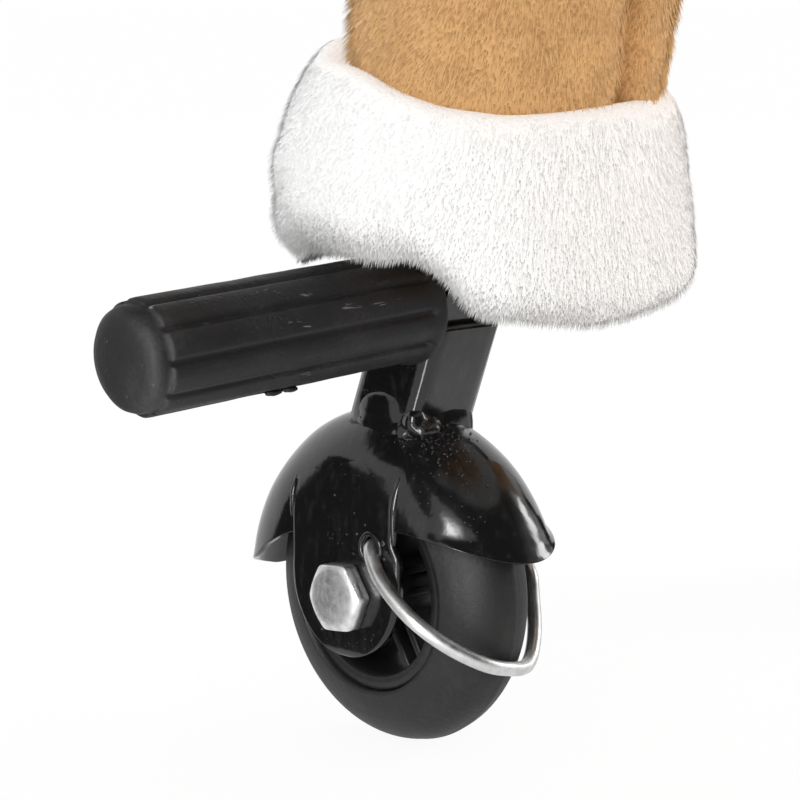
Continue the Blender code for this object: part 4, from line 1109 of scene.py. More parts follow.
def make_palette() -> Palette:
    """Make every finish once.

    Returns:
        The finishes.
    """
    # Fibre roots are darker than their tips: painted shade deep in the pile.
    tan_deep, tan_root, tan_tip = tone(0.42, 0.215, 0.08), tone(0.6, 0.325, 0.125), tone(0.84, 0.5, 0.22)
    white_root, white_tip = tone(0.935, 0.937, 0.931), tone(0.962, 0.965, 0.96)
    finishes = dict(
        cloth=PlushCloth("tan_plush_ground", tone(0.68, 0.385, 0.16), tan_deep, white_root),
        sock_cloth=PlushCloth("white_plush_ground", tone(0.94, 0.942, 0.937), tone(0.9, 0.902, 0.895)),
        fibre=Fibre("tan_plush_fibre", tan_root, tan_tip, white_root, white_tip, 0.82),
        sock_fibre=Fibre("white_plush_fibre", white_root, white_tip, white_root, white_tip, 1.0),
        hair=Fibre(
            "cream_hair", tone(0.6, 0.48, 0.33), tone(0.93, 0.84, 0.68), white_root, white_tip, 0.4, 0.6),
        paint=GlossPaint(),
        ground=PlushCloth("hair_ground", tone(0.8, 0.69, 0.52), tone(0.62, 0.5, 0.35)),
        bolt=Metal(
            "bolt_zinc", tone(0.82, 0.83, 0.82), tone(0.58, 0.59, 0.58), 0.32, 1500.0, (2.6, 2.6, 2.6)),
        wire=Metal("wire_zinc", tone(0.66, 0.665, 0.66), tone(0.55, 0.552, 0.55), 0.38, 900.0),
        zinc=Metal("zinc_plating", tone(0.78, 0.78, 0.77), tone(0.4, 0.39, 0.38), 0.27, 900.0),
        spring=Metal("spring_wire", tone(0.42, 0.42, 0.44), tone(0.22, 0.22, 0.23), 0.3, 700.0),
        tyre=Rubber("tyre_rubber", tone(0.0125, 0.0125, 0.0128), tone(0.066, 0.062, 0.057), 0.5, 0.26),
        hub=Rubber("hub_plastic", tone(0.014, 0.014, 0.015), tone(0.06, 0.055, 0.05), 0.36, 0.25, 420.0),
        grip=Rubber(
            "peg_rubber", tone(0.011, 0.011, 0.012), tone(0.045, 0.043, 0.041), 0.52, 0.45, 800.0, 1.6,
            0.55),
        leather=Leather("saddle_leather", tone(0.07, 0.026, 0.011), tone(0.15, 0.062, 0.027)),
        strap=Leather("strap_leather", tone(0.045, 0.018, 0.009), tone(0.105, 0.045, 0.021), 0.38, 800.0),
        thread=Thread("cream_thread", tone(0.7, 0.6, 0.42)),
        eye=EyeGlass())
    return Palette(**{name: finish.material() for name, finish in finishes.items()})


# Geometry Nodes trees

class Recipe(NodeTree):
    """A Geometry Nodes tree with named inputs, which turns a mesh into a plain mesh."""

    def __init__(self, name: str) -> None:
        """Start a tree with a geometry in and out.

        Args:
            name: the tree's name.
        """
        super().__init__(bpy.data.node_groups.new(name, "GeometryNodeTree"))
        self.tree.interface.new_socket("Geometry", in_out="INPUT", socket_type="NodeSocketGeometry")
        self.tree.interface.new_socket("Geometry", in_out="OUTPUT", socket_type="NodeSocketGeometry")
        self.source = self.tree.nodes.new("NodeGroupInput")
        self.sink = self.tree.nodes.new("NodeGroupOutput")

    def inputs(self, **kinds: str) -> list[NodeSocket]:
        """Add named inputs, each of its kind, and return their sockets inside the tree.

        Args:
            kinds: the kind of each input, by its name.

        Returns:
            The sockets, in the same order.
        """
        for name, kind in kinds.items():
            self.tree.interface.new_socket(name, in_out="INPUT", socket_type=f"NodeSocket{kind}")
        return [self.source.outputs[name] for name in kinds]

    def close(self, geometry: NodeSocket, material: NodeSocket) -> None:
        """End the tree: realise the instances and set their material.

        Args:
            geometry: what the tree has made.
            material: its finish.
        """
        real = self.add("GeometryNodeRealizeInstances", {0: geometry})
        dressed = self.add("GeometryNodeSetMaterial", {0: real.outputs[0], "Material": material})
        self.tree.links.new(dressed.outputs[0], self.sink.inputs[0])

    def value(self, name: str, kind: str = "FLOAT") -> NodeSocket:
        """A value stored on the mesh."""
        return self.add("GeometryNodeInputNamedAttribute", {"Name": name}, data_type=kind).outputs[0]

    def random(self, low: float, high: float, seed: NodeSocket) -> NodeSocket:
        """A random number for each point."""
        return self.add("FunctionNodeRandomValue", {2: low, 3: high, 8: seed}, data_type="FLOAT").outputs[1]

    def vector(
            self, operation: str, first: Value, second: Value = (0.0, 0.0, 0.0),
            scale: Value = 1.0) -> NodeSocket:
        """One sum of vectors."""
        return self.add(
            "ShaderNodeVectorMath", {0: first, 1: second, 3: scale}, operation=operation).outputs[0]

    def facing(self, axis: str, way: NodeSocket, second: str, beside: NodeSocket) -> NodeSocket:
        """The rotation that points an axis one way and turns a second axis towards another way.

        Args:
            axis: the first axis.
            way: where it points.
            second: the second axis.
            beside: what it turns towards.

        Returns:
            The rotation.
        """
        kind = "FunctionNodeAlignRotationToVector"
        turn = self.add(kind, {"Vector": way}, axis=axis).outputs[0]
        return self.add(kind, {"Rotation": turn, "Vector": beside}, axis=second, pivot_axis=axis).outputs[0]

    def keep(self, geometry: NodeSocket, name: str, kind: str, value: NodeSocket) -> NodeSocket:
        """The geometry with a value of a kind stored on its points."""
        return self.add(
            "GeometryNodeStoreNamedAttribute", {"Geometry": geometry, "Name": name, "Value": value},
            data_type=kind, domain="POINT").outputs[0]

    def drop(self, geometry: NodeSocket, *names: str) -> NodeSocket:
        """The geometry without some stored values.

        Args:
            geometry: the geometry.
            names: the values' names.

        Returns:
            What is left.
        """
        for name in names:
            geometry = self.add(
                "GeometryNodeRemoveAttribute", {"Geometry": geometry, "Name": name}).outputs[0]
        return geometry

    def run(self, mesh: Mesh, **values) -> Mesh:
        """Run the tree on a mesh.

        Args:
            mesh: the mesh that goes in, which is kept.
            values: what each named input takes.

        Returns:
            The result as a plain mesh.
        """
        obj = in_scene("grown", mesh)
        modifier = obj.modifiers.new("recipe", "NODES")
        modifier.node_group = self.tree
        for item in self.tree.interface.items_tree:
            if item.in_out == "INPUT" and item.name != "Geometry":
                modifier[item.identifier] = values[item.name]
        return baked(obj)


def pile_recipe() -> Recipe:
    """The tree that grows fibres, hair or small lumps on a skin.

    Returns:
        The tree. The skin carries coat, a share of the density; pile, a share of the length; and comb, the
        way the fibres lie.
    """
    tree = Recipe("pile")
    strand, density, length, width, rise, swirl, tuft, seed, material = tree.inputs(
        Strand="Object", Density="Float", Length="Float", Width="Float", Rise="Float", Swirl="Float",
        Tuft="Float", Seed="Int", Material="Material")
    spread = tree.add(
        "GeometryNodeDistributePointsOnFaces", {"Mesh": tree.source.outputs["Geometry"], "Seed": seed,
        "Density": tree.times(density, tree.value("coat"))})
    points = tree.keep(spread.outputs["Points"], "skin_normal", "FLOAT_VECTOR", spread.outputs["Normal"])
    points = tree.keep(points, "tint", "FLOAT", tree.random(0.0, 1.0, seed))
    place = tree.add("GeometryNodeInputPosition").outputs[0]
    comb = tree.value("comb", "FLOAT_VECTOR")
    eddy = tree.add("ShaderNodeTexNoise", {"Vector": place, "Scale": tuft, "Detail": 2.0}).outputs["Color"]
    eddy = tree.vector(
        "SCALE", tree.vector("SUBTRACT", eddy, (0.5, 0.5, 0.5)), scale=tree.times(swirl, 4.0))
    way = tree.vector(
        "ADD", tree.vector("SCALE", tree.value("skin_normal", "FLOAT_VECTOR"), scale=rise), comb)
    turn = tree.facing("Z", tree.vector("NORMALIZE", tree.vector("ADD", way, eddy)), "X", comb)
    yaw = tree.add(
        "FunctionNodeAxisAngleToRotation", {"Axis": (0.0, 0.0, 1.0),
        "Angle": tree.random(-0.45, 0.45, seed)})
    turn = tree.add(
        "FunctionNodeRotateRotation", {"Rotation": turn, "Rotate By": yaw.outputs[0]},
        rotation_space="LOCAL").outputs[0]
    tall = tree.times(tree.times(length, tree.value("pile")), tree.random(0.6, 1.15, seed))
    wide = tree.times(width, tree.random(0.7, 1.2, seed))
    size = tree.add("ShaderNodeCombineXYZ", {0: wide, 1: wide, 2: tall}).outputs[0]
    shape = tree.add("GeometryNodeObjectInfo", {"Object": strand}).outputs["Geometry"]
    grown = tree.add(
        "GeometryNodeInstanceOnPoints", {"Points": points, "Instance": shape, "Rotation": turn,
        "Scale": size}).outputs[0]
    tree.close(tree.drop(grown, "comb", "coat", "pile"), material)
    return tree


def row_recipe() -> Recipe:
    """The tree that sets a shape along a line at an even step, as stitches on a seam.

    Returns:
        The tree. The line's mesh carries up, the way that the shape's Z faces.
    """
    tree = Recipe("row")
    shape, step, size, material = tree.inputs(
        Shape="Object", Step="Float", Size="Float", Material="Material")
    curve = tree.add("GeometryNodeMeshToCurve", {"Mesh": tree.source.outputs["Geometry"]})
    spread = tree.add(
        "GeometryNodeResampleCurve", {"Curve": curve.outputs[0], "Length": step}, mode="LENGTH")
    tangent = tree.add("GeometryNodeInputTangent").outputs[0]
    turn = tree.facing("X", tangent, "Z", tree.value("up", "FLOAT_VECTOR"))
    scale = tree.add("ShaderNodeCombineXYZ", {0: size, 1: size, 2: size}).outputs[0]
    model = tree.add("GeometryNodeObjectInfo", {"Object": shape}).outputs["Geometry"]
    made = tree.add(
        "GeometryNodeInstanceOnPoints", {"Points": spread.outputs[0], "Instance": model, "Rotation": turn,
        "Scale": scale}).outputs[0]
    tree.close(tree.drop(made, "up"), material)
    return tree


def ring_recipe() -> Recipe:
    """The tree that repeats a shape round the X axis, as a hub's spokes.

    Returns:
        The tree, which takes the shape as its geometry.
    """
    tree = Recipe("ring")
    count, material = tree.inputs(Count="Int", Material="Material")
    points = tree.add("GeometryNodePoints", {"Count": count})
    index = tree.add("GeometryNodeInputIndex").outputs[0]
    angle = tree.times(tree.sum("DIVIDE", index, count), 2 * math.pi)
    turn = tree.add("FunctionNodeAxisAngleToRotation", {"Axis": (1.0, 0.0, 0.0), "Angle": angle})
    made = tree.add(
        "GeometryNodeInstanceOnPoints",
        {"Points": points.outputs[0], "Instance": tree.source.outputs["Geometry"],
        "Rotation": turn.outputs[0]})
    tree.close(made.outputs[0], material)
    return tree


def strand_mesh(bend: float, joints: int) -> Mesh:
    """A pointed fibre, one long and one wide, flat on the side that faces away from the skin.

    Args:
        bend: how far its tip bends over, in widths.
        joints: number of rings of points below the tip.

    Returns:
        The mesh, with along from 0 at the root to 1 at the tip.
    """
    points, share = [], []
    section = ((0.0, 0.5), (0.0, -0.5), (0.3, 0.0))
    for row in range(joints):
        rise = row / joints
        slim = (1.0 - rise) ** 0.6
        for x, y in section:
            points.append((slim * x + bend * rise * rise, slim * y, rise))
            share.append(rise)
    points.append((bend, 0.0, 1.0))
    share.append(1.0)
    faces = grid_faces(joints, 3, True)
    low = (joints - 1) * 3
    faces += [(low + side, low + (side + 1) % 3, len(points) - 1) for side in range(3)]
    faces.append((2, 1, 0))
    mesh = outwards(make_mesh(np.array(points), faces))
    set_attribute(mesh, "along", np.array(share))
    return mesh


class Trees:
    """The trees and the shapes that they repeat, each made once."""

    def __init__(self) -> None:
        """Make them."""
        self.pile = pile_recipe()
        self.row = row_recipe()
        self.ring = ring_recipe()
        self.strands = {
            shape: bpy.data.objects.new(f"strand_{index}", strand_mesh(*shape))
            for index, shape in enumerate(((0.0, 1), (9.0, 3)))}
        self.stitch = bpy.data.objects.new("stitch", self.stitch_mesh())

    @staticmethod
    def stitch_mesh() -> Mesh:
        """A plump stitch one long, lying along X.

        Returns:
            The mesh.
        """
        turns = round_turns(6)
        rings = []
        for x, size, lift in (
                (-0.5, 0.06, -0.1), (-0.36, 0.15, 0.0), (0.0, 0.17, 0.07), (0.36, 0.15, 0.0),
                (0.5, 0.06, -0.1)):
            rings.append(np.stack(
                [np.full(6, x), size * np.cos(turns), lift + size * np.sin(turns)], axis=-1))
        return loft(np.array(rings))

    def stitches(
            self, line: Array, up: Array, step: float, material: Material, closed: bool = False) -> Mesh:
        """A row of stitches.

        Args:
            line: the points that the row follows.
            up: the way that each stitch faces at each point.
            step: distance from one stitch to the next.
            material: the thread.
            closed: whether the row is a loop.

        Returns:
            The stitches as a mesh.
        """
        edges = [(index, index + 1) for index in range(len(line) - 1)]
        if closed:
            edges.append((len(line) - 1, 0))
        mesh = bpy.data.meshes.new("row")
        mesh.from_pydata(np.asarray(line).tolist(), edges, [])
        set_attribute(mesh, "up", up)
        result = self.row.run(mesh, Shape=self.stitch, Step=step, Size=step * 0.82, Material=material)
        bpy.data.meshes.remove(mesh)
        result.shade_smooth()
        return result


@dataclass(frozen=True)
class Pile:
    """The fibres that grow on one kind of plush."""

    density: float
    length: float
    width: float
    rise: float = 1.0
    swirl: float = 0.5
    tuft: float = 110.0
    shape: tuple[float, int] = (0.0, 1)
    seed: int = 3

    def thinned(self, share: float) -> "Pile":
        """The same pile with fewer, wider fibres, for a part that is seen from further away."""
        return replace(self, density=self.density * share, width=self.width * share ** -0.5)

    def grow(self, trees: Trees, skin: Mesh, material: Material) -> Mesh:
        """Grow the fibres.

        Args:
            trees: the shared trees.
            skin: the mesh that they grow on, with coat, pile and comb stored on it.
            material: the fibres' finish.

        Returns:
            The fibres as a mesh.
        """
        return trees.pile.run(
            skin, Strand=trees.strands[self.shape], Density=self.density, Length=self.length,
            Width=self.width, Rise=self.rise, Swirl=self.swirl, Tuft=self.tuft, Seed=self.seed,
            Material=material)


def dress_skin(
        mesh: Mesh, coat: Array, comb: Array, tone_share: Array | float = 0.0,
        pile: Array | float = 1.0) -> None:
    """Store on a skin what its pile and its finish read.

    Args:
        mesh: the skin.
        coat: share of the density at each point.
        comb: the way the fibres lie at each point.
        tone_share: 0 for the first colour and 1 for the second.
        pile: share of the length.
    """
    count = len(mesh.vertices)
    set_attribute(mesh, "coat", np.broadcast_to(coat, (count,)))
    set_attribute(mesh, "comb", np.broadcast_to(comb, (count, 3)))
    set_attribute(mesh, "tone", np.broadcast_to(tone_share, (count,)))
    set_attribute(mesh, "pile", np.broadcast_to(pile, (count,)))


# Running gear of one leg, drawn round the wheel's middle

def slab(outer: Array, inner: Array) -> Mesh:
    """A closed plate between two grids of points.

    Args:
        outer: rows by columns by 3, the plate's outer face.
        inner: the same for its inner face.

    Returns:
        The mesh.
    """
    rows, columns, _ = outer.shape
    count = rows * columns
    faces = grid_faces(rows, columns, False) + grid_faces(rows, columns, False, count, True)
    rim = [(0, c) for c in range(columns)] + [(r, columns - 1) for r in range(1, rows)]
    rim += [(rows - 1, c) for c in range(columns - 2, -1, -1)] + [(r, 0) for r in range(rows - 2, 0, -1)]
    numbers = [r * columns + c for r, c in rim]
    for first, second in zip(numbers, numbers[1:] + numbers[:1]):
        faces.append((second, first, first + count, second + count))
    mesh = make_mesh(np.concatenate([outer.reshape(-1, 3), inner.reshape(-1, 3)]), faces)
    return outwards(mesh, 2 * TOUCHING)


def lump(middle: tuple[float, float, float], size: tuple[float, float, float], waves: float = 0.16) -> Mesh:
    """An uneven blob of weld or paint.

    Args:
        middle: its middle.
        size: its half width along each axis.
        waves: how uneven it is, as a share of its size.

    Returns:
        The mesh.
    """
    bm = bmesh.new()
    bmesh.ops.create_icosphere(bm, subdivisions=3, radius=1.0)
    for vert in bm.verts:
        away = vert.co.copy()
        reach = 1.0 + waves * 2.0 * noise.noise(away * 1.9 + Vector(middle) * 400.0)
        vert.co = Vector([m + a * s * reach for m, a, s in zip(middle, away, size)])
    mesh = bpy.data.meshes.new("lump")
    bm.to_mesh(mesh)
    bm.free()
    mesh.shade_smooth()
    return mesh


@dataclass(frozen=True)
class Fork:
    """Pressed fender with two cheeks and the square socket post welded on it."""

    ring: float = 0.0316
    tube: float = 0.022
    drop: float = 0.0024
    wall: float = 0.0018
    lip_curl: float = 0.001
    rear_lip: float = 0.014
    rear_lip_at_cheek: float = 0.0209
    front_lip: tuple = (
        (-0.0536, -0.0019), (-0.0526, -0.0008), (-0.0503, 0.0006), (-0.0467, 0.0024), (-0.0421, 0.004),
        (-0.0386, 0.0061), (-0.0356, 0.0088), (-0.0276, 0.0129), (-0.0227, 0.0149))
    cheek_x: float = 0.0223
    cheek_mid: float = -0.00075
    cheek_half: float = 0.02175
    cheek_low: float = 0.00425
    cheek_top: float = 0.044
    cheek_wall: float = 0.0017
    rear_step: float = 0.0024
    hole: tuple[float, float] = (0.0107, 0.0152)
    hole_radius: float = 0.0032
    post_half: float = 0.0125
    post_corner: float = 0.003
    post_wall: float = 0.0021
    post_foot: float = 0.04
    post_top: float = 0.0868
    bore_depth: float = 0.014
    bubbles: tuple = (
        (0.4, 0.0056, 0.0009), (0.0, 0.0064, 0.0006), (5.9, 0.0058, 0.0007), (1.9, 0.0066, 0.0004),
        (2.6, 0.0062, 0.0005), (3.5, 0.0074, 0.0005), (2.9, 0.01, 0.0003), (2.2, 0.011, 0.0003),
        (5.2, 0.0061, 0.0005))
    weld_lumps: tuple = (
        ((0.0116, 0.0046, 0.0494), (0.0024, 0.0108, 0.0084)),
        ((0.0112, 0.012, 0.0466), (0.0032, 0.004, 0.0038)),
        ((0.0104, 0.0158, 0.0498), (0.0036, 0.0032, 0.0042)),
        ((0.008, 0.018, 0.0474), (0.0044, 0.0034, 0.003)),
        ((-0.002, 0.0152, 0.0474), (0.0114, 0.003, 0.0084)))

    def dome(self, turn: Array, lean: Array, offset: Array | float = 0.0) -> Array:
        """Points of the fender's round form.

        Args:
            turn: angle about the axle from the rear over the top, in radians.
            lean: angle round the fender's section in radians, past a right angle down its flat side.
            offset: distance outside the form.

        Returns:
            One row for each point.
        """
        inside = np.clip(lean, -math.pi / 2, math.pi / 2)
        past = np.abs(lean) - np.abs(inside)
        reach = self.ring + (self.tube + offset) * np.cos(inside) - past * self.tube
        x = (self.tube + offset) * np.sin(inside)
        return np.stack(
            np.broadcast_arrays(x, reach * np.cos(turn), reach * np.sin(turn) - self.drop), axis=-1)

    def lips(self, lean: float) -> tuple[float, float]:
        """The angles at which the fender's rear and front lips end a line of its section.

        Args:
            lean: angle round the section, in radians.

        Returns:
            Both angles about the axle, in radians.
        """
        inside = max(-math.pi / 2, min(math.pi / 2, lean))
        reach = self.ring + self.tube * math.cos(inside) - (abs(lean) - abs(inside)) * self.tube
        height = self.rear_lip + (self.rear_lip_at_cheek - self.rear_lip) * abs(math.sin(inside)) ** 2
        rear = math.asin(min(1.0, (height + self.drop) / reach))
        low, high = math.radians(95), math.radians(185)
        places, heights = zip(*self.front_lip)
        for _ in range(40):
            middle = (low + high) / 2
            lip = np.interp(reach * math.cos(middle), places, heights)
            low, high = (middle, high) if reach * math.sin(middle) - self.drop > lip else (low, middle)
        return rear, low

    def fender(self) -> Mesh:
        """The fender's shell, with its lips turned outwards.

        Returns:
            The mesh.
        """
        leans = np.radians(np.linspace(-106, 106, 57))
        shares = np.linspace(0.0, 1.0, 85)
        grids = []
        for offset in (0.0, -self.wall):
            columns = []
            for lean in leans:
                rear, front = self.lips(lean)
                turns = rear + (front - rear) * shares
                reach = self.ring + self.tube * max(0.0, math.cos(lean))
                edge = np.minimum(turns - rear, front - turns) * reach
                curl = self.lip_curl * np.clip(1.0 - edge / 0.0045, 0.0, 1.0) ** 2
                curl = curl * np.where(shares > 0.5, 0.25, 1.0)
                curl = curl * min(1.0, max(0.0, (1.5 - abs(lean)) / 0.5))
                dent = np.array([
                    noise.noise(Vector((lean * 1.7, turn * 2.3, 4.0))) for turn in turns]) * 0.0004
                columns.append(self.dome(turns, lean, offset + curl + dent))
            grids.append(np.stack(columns, axis=1))
        return modified(slab(*grids), rounded(0.0006, 50))

    def cheek_face(self, y: Array, z: Array) -> Array:
        """How far out the cheek's outer face is.

        Args:
            y: places towards the rear.
            z: heights above the axle.

        Returns:
            One distance for each place.
        """
        reach = np.hypot(y, z + self.drop)
        over = np.clip((reach - self.ring) / self.tube, 0.0, 0.98)
        dome = self.tube * np.sqrt(1.0 - over * over)
        return dome + (self.cheek_x - self.tube) - 0.0008 * smooth(reach, 0.03, 0.05)

    def cheek(self) -> Mesh:
        """The outer cheek: a tongue with a round lower end that runs up into the fender.

        Returns:
            The mesh.
        """
        low = self.cheek_low - self.cheek_half
        heights = np.concatenate([
            self.cheek_low - self.cheek_half * np.cos(np.linspace(0.08, math.pi / 2, 16)),
            np.linspace(self.cheek_low, self.cheek_top, 30)[1:]])
        across = np.sin(np.linspace(-math.pi / 2, math.pi / 2, 33))
        rows = []
        for z in heights:
            half = math.sqrt(max(0.0, self.cheek_half ** 2 - min(0.0, z - self.cheek_low) ** 2))
            half -= 0.006 * max(0.0, (z - 0.036) / 0.008) ** 2
            step = self.rear_step * float(smooth(z, 0.0125, 0.0175)) * np.maximum(across, 0.0)
            rows.append(np.stack([self.cheek_mid + across * half - step, np.full(33, z)], axis=-1))
        flat = np.array(rows)
        y, z = flat[..., 0], flat[..., 1]
        edge = 1.0 - np.abs(np.broadcast_to(across, y.shape))
        edge = np.minimum(edge * self.cheek_half, np.maximum(z - low, 0.0) * 0.6)
        ease = 0.0007 * np.clip(1.0 - edge / 0.0011, 0.0, 1.0) ** 2
        waves = np.array([
            [noise.noise(Vector((a * 60, b * 60, 2.0))) for a, b in zip(*row)] for row in zip(y, z)])
        x = self.cheek_face(y, z) - ease + waves * 0.00022
        outer = np.stack([x, y, z], axis=-1)
        inner = np.stack([x - self.cheek_wall, y, z], axis=-1)
        return slab(outer, inner)

    def weld_line(self, steps: int, grow: float, rise: float) -> Array:
        """The line round the post's foot, on the fender.

        Args:
            steps: number of points.
            grow: how far outside the post it runs.
            rise: how far above the fender it runs.

        Returns:
            The line's points.
        """
        line = []
        for turn in round_turns(steps):
            square = max(abs(math.cos(turn)), abs(math.sin(turn)))
            square = (square ** 6 + 0.55) / 1.55 * square + (1 - (square ** 6 + 0.55) / 1.55)
            reach = (self.post_half + grow) / square
            x, across = reach * math.cos(turn), reach * math.sin(turn)
            for along in np.linspace(0.078, 0.03, 120):
                point = from_post(x, across, along)
                if math.hypot(math.hypot(point[1], point[2] + self.drop) - self.ring, x) < self.tube + rise:
                    break
            line.append(point)
        return np.array(line)

    def post(self) -> Mesh:
        """The socket post: a square tube with round corners, open at its top.

        Returns:
            The mesh.
        """
        turns = round_turns(48)

        def square(half: float, corner: float) -> Array:
            """A square with round corners.

            Args:
                half: half its width.
                corner: radius of its corners.

            Returns:
                Its points.
            """
            points = []
            for turn in turns:
                c, s = math.cos(turn), math.sin(turn)
                flat = half - corner
                reach = half / max(abs(c), abs(s))
                x, y = c * reach, s * reach
                if abs(x) > flat and abs(y) > flat:
                    fx, fy = math.copysign(flat, x), math.copysign(flat, y)
                    away = Vector((x - fx, y - fy)).normalized() * corner
                    x, y = fx + away.x, fy + away.y
                points.append((x, y))
            return np.array(points)

        rings = []
        full, top, inner = self.post_half, self.post_top, self.post_half - self.post_wall
        for along, half in (
                (self.post_foot, full), (0.055, full), (0.07, full), (top - 0.0012, full),
                (top - 0.0003, full - 0.0004), (top, full - 0.001), (top - 0.0002, inner + 0.0003),
                (top - 0.001, inner), (top - self.bore_depth, inner)):
            outline = square(half, self.post_corner * half / full)
            rings.append(from_post(outline[:, 0], outline[:, 1], np.full(48, along)))
        return loft(np.array(rings))

    def welds(self) -> list[Mesh]:
        """The weld round the post's foot, run together with its flaps, and the grit on it.

        Returns:
            The weld and the grit.
        """
        parts = [tube(self.weld_line(90, -0.0006, 0.0), 0.0019, 12, True, 0.0003)]
        parts += [lump(middle, size, 0.07) for middle, size in self.weld_lumps]
        weld = modified(merge(parts), voxels(0.0006), eased(9), ("DECIMATE", {"ratio": 0.35}))
        points, normals = points_of(weld), normals_of(weld)
        waves = waves_at(points, 420.0) + 0.5 * waves_at(points, 1300.0)
        low = 1.0 - smooth(points[:, 2], 0.044, 0.049)
        move_points(weld, points + normals * (waves * (0.00008 + 0.00014 * low))[:, None])
        random = np.random.default_rng(4)
        picks = [
            tuple(points[index]) for index in random.permutation(len(points))
            if points[index][0] > 0.004][:50]
        for lean, turn in random.normal((0.36, 1.1), (0.2, 0.13), (170, 2)):
            picks.append(tuple(self.dome(np.array(turn), np.array(lean), 0.0)))
        sizes = random.uniform(0.00014, 0.0004, len(picks))
        specks = merge([lump(spot, (size, size, size), 0.2) for spot, size in zip(picks, sizes)])
        specks = modified(specks, ("DECIMATE", {"ratio": 0.12}))
        specks.shade_smooth()
        return [weld, specks]

    def cheeks(self) -> list[Mesh]:
        """Both cheeks, each with the hole that the hoop hangs in.

        Returns:
            The outer and the inner one.
        """
        radius = self.hole_radius
        drill = lathe([(-0.01, 0.0), (-0.01, radius), (0.03, radius), (0.03, 0.0)], 24, False)
        drill.transform(Matrix.Translation((0.02, *self.hole)))
        cutter = in_scene("drill", drill)
        cheek = modified(
            self.cheek(), ("BOOLEAN", {"object": cutter, "operation": "DIFFERENCE", "solver": "EXACT"}))
        bpy.data.objects.remove(cutter)
        other = cheek.copy()
        other.transform(Matrix.Scale(-1.0, 4, (1.0, 0.0, 0.0)))
        other.flip_normals()
        return [cheek, other]

    def creases(self, sign: int) -> list[Mesh]:
        """The folds and the bead where a cheek runs up into the fender.

        Args:
            sign: 1 for the outer cheek and -1 for the inner one.

        Returns:
            Their meshes.
        """
        meshes = []
        for edge, step, top in ((-1, 0.0, 0.0345), (1, self.rear_step, 0.0405)):
            heights = np.linspace(0.0165, top, 30)
            y = np.full(30, self.cheek_mid + edge * self.cheek_half - step)
            fade = np.sin(np.linspace(0.12, math.pi - 0.12, 30)) ** 0.5
            x = self.cheek_face(y, heights) - 0.0014 + 0.0004 * fade
            uneven = np.array([noise.noise(Vector((edge * 9.0, z * 160, 0.0))) for z in heights])
            meshes.append(tube(
                np.stack([sign * x, y, heights], axis=-1), 0.0014 * fade + 0.0002 * uneven, 16))
        heights = np.linspace(0.0225, 0.03, 14)
        y = np.full(14, self.cheek_mid - self.cheek_half + 0.0002)
        size = 0.0009 * np.sin(np.linspace(0.25, math.pi - 0.25, 14)) ** 0.6
        meshes.append(tube(np.stack([sign * self.cheek_face(y, heights), y, heights], axis=-1), size, 12))
        return meshes

    def hole_trim(self, sign: int) -> list[Mesh]:
        """The lip of paint round a cheek's hole, and the bubbles near it.

        Args:
            sign: 1 for the outer cheek and -1 for the inner one.

        Returns:
            Their meshes.
        """
        def spot(turn: float, reach: float, rise: float) -> tuple[float, float, float]:
            """A place round the hole, a little above the cheek's face."""
            y, z = self.hole
            return sign * (self.cheek_x + rise), y + reach * math.cos(turn), z + reach * math.sin(turn)

        ring = [spot(turn, 0.004, 0.0001) for turn in round_turns(28)]
        meshes = [tube(np.array(ring), 0.0008, 10, True, 0.0003)]
        for turn, reach, size in self.bubbles:
            meshes.append(lump(spot(turn, reach, 0.0002), (size * 0.6, size, size)))
        return meshes

    def build(self, end: End) -> Mesh:
        """Build the fork with its welds.

        Args:
            end: the end of the horse, which says how the post leans.

        Returns:
            The fork as one mesh.
        """
        cheeks = self.cheeks()
        raised = merge([self.post(), *self.welds()])
        if end is End.REAR:
            raised.transform(Matrix.Scale(-1.0, 4, (0.0, 1.0, 0.0)))
            raised.flip_normals()
        meshes = [self.fender(), *cheeks, raised]
        for sign in (-1, 1):
            meshes += self.creases(sign) + self.hole_trim(sign)
        return merge(meshes)


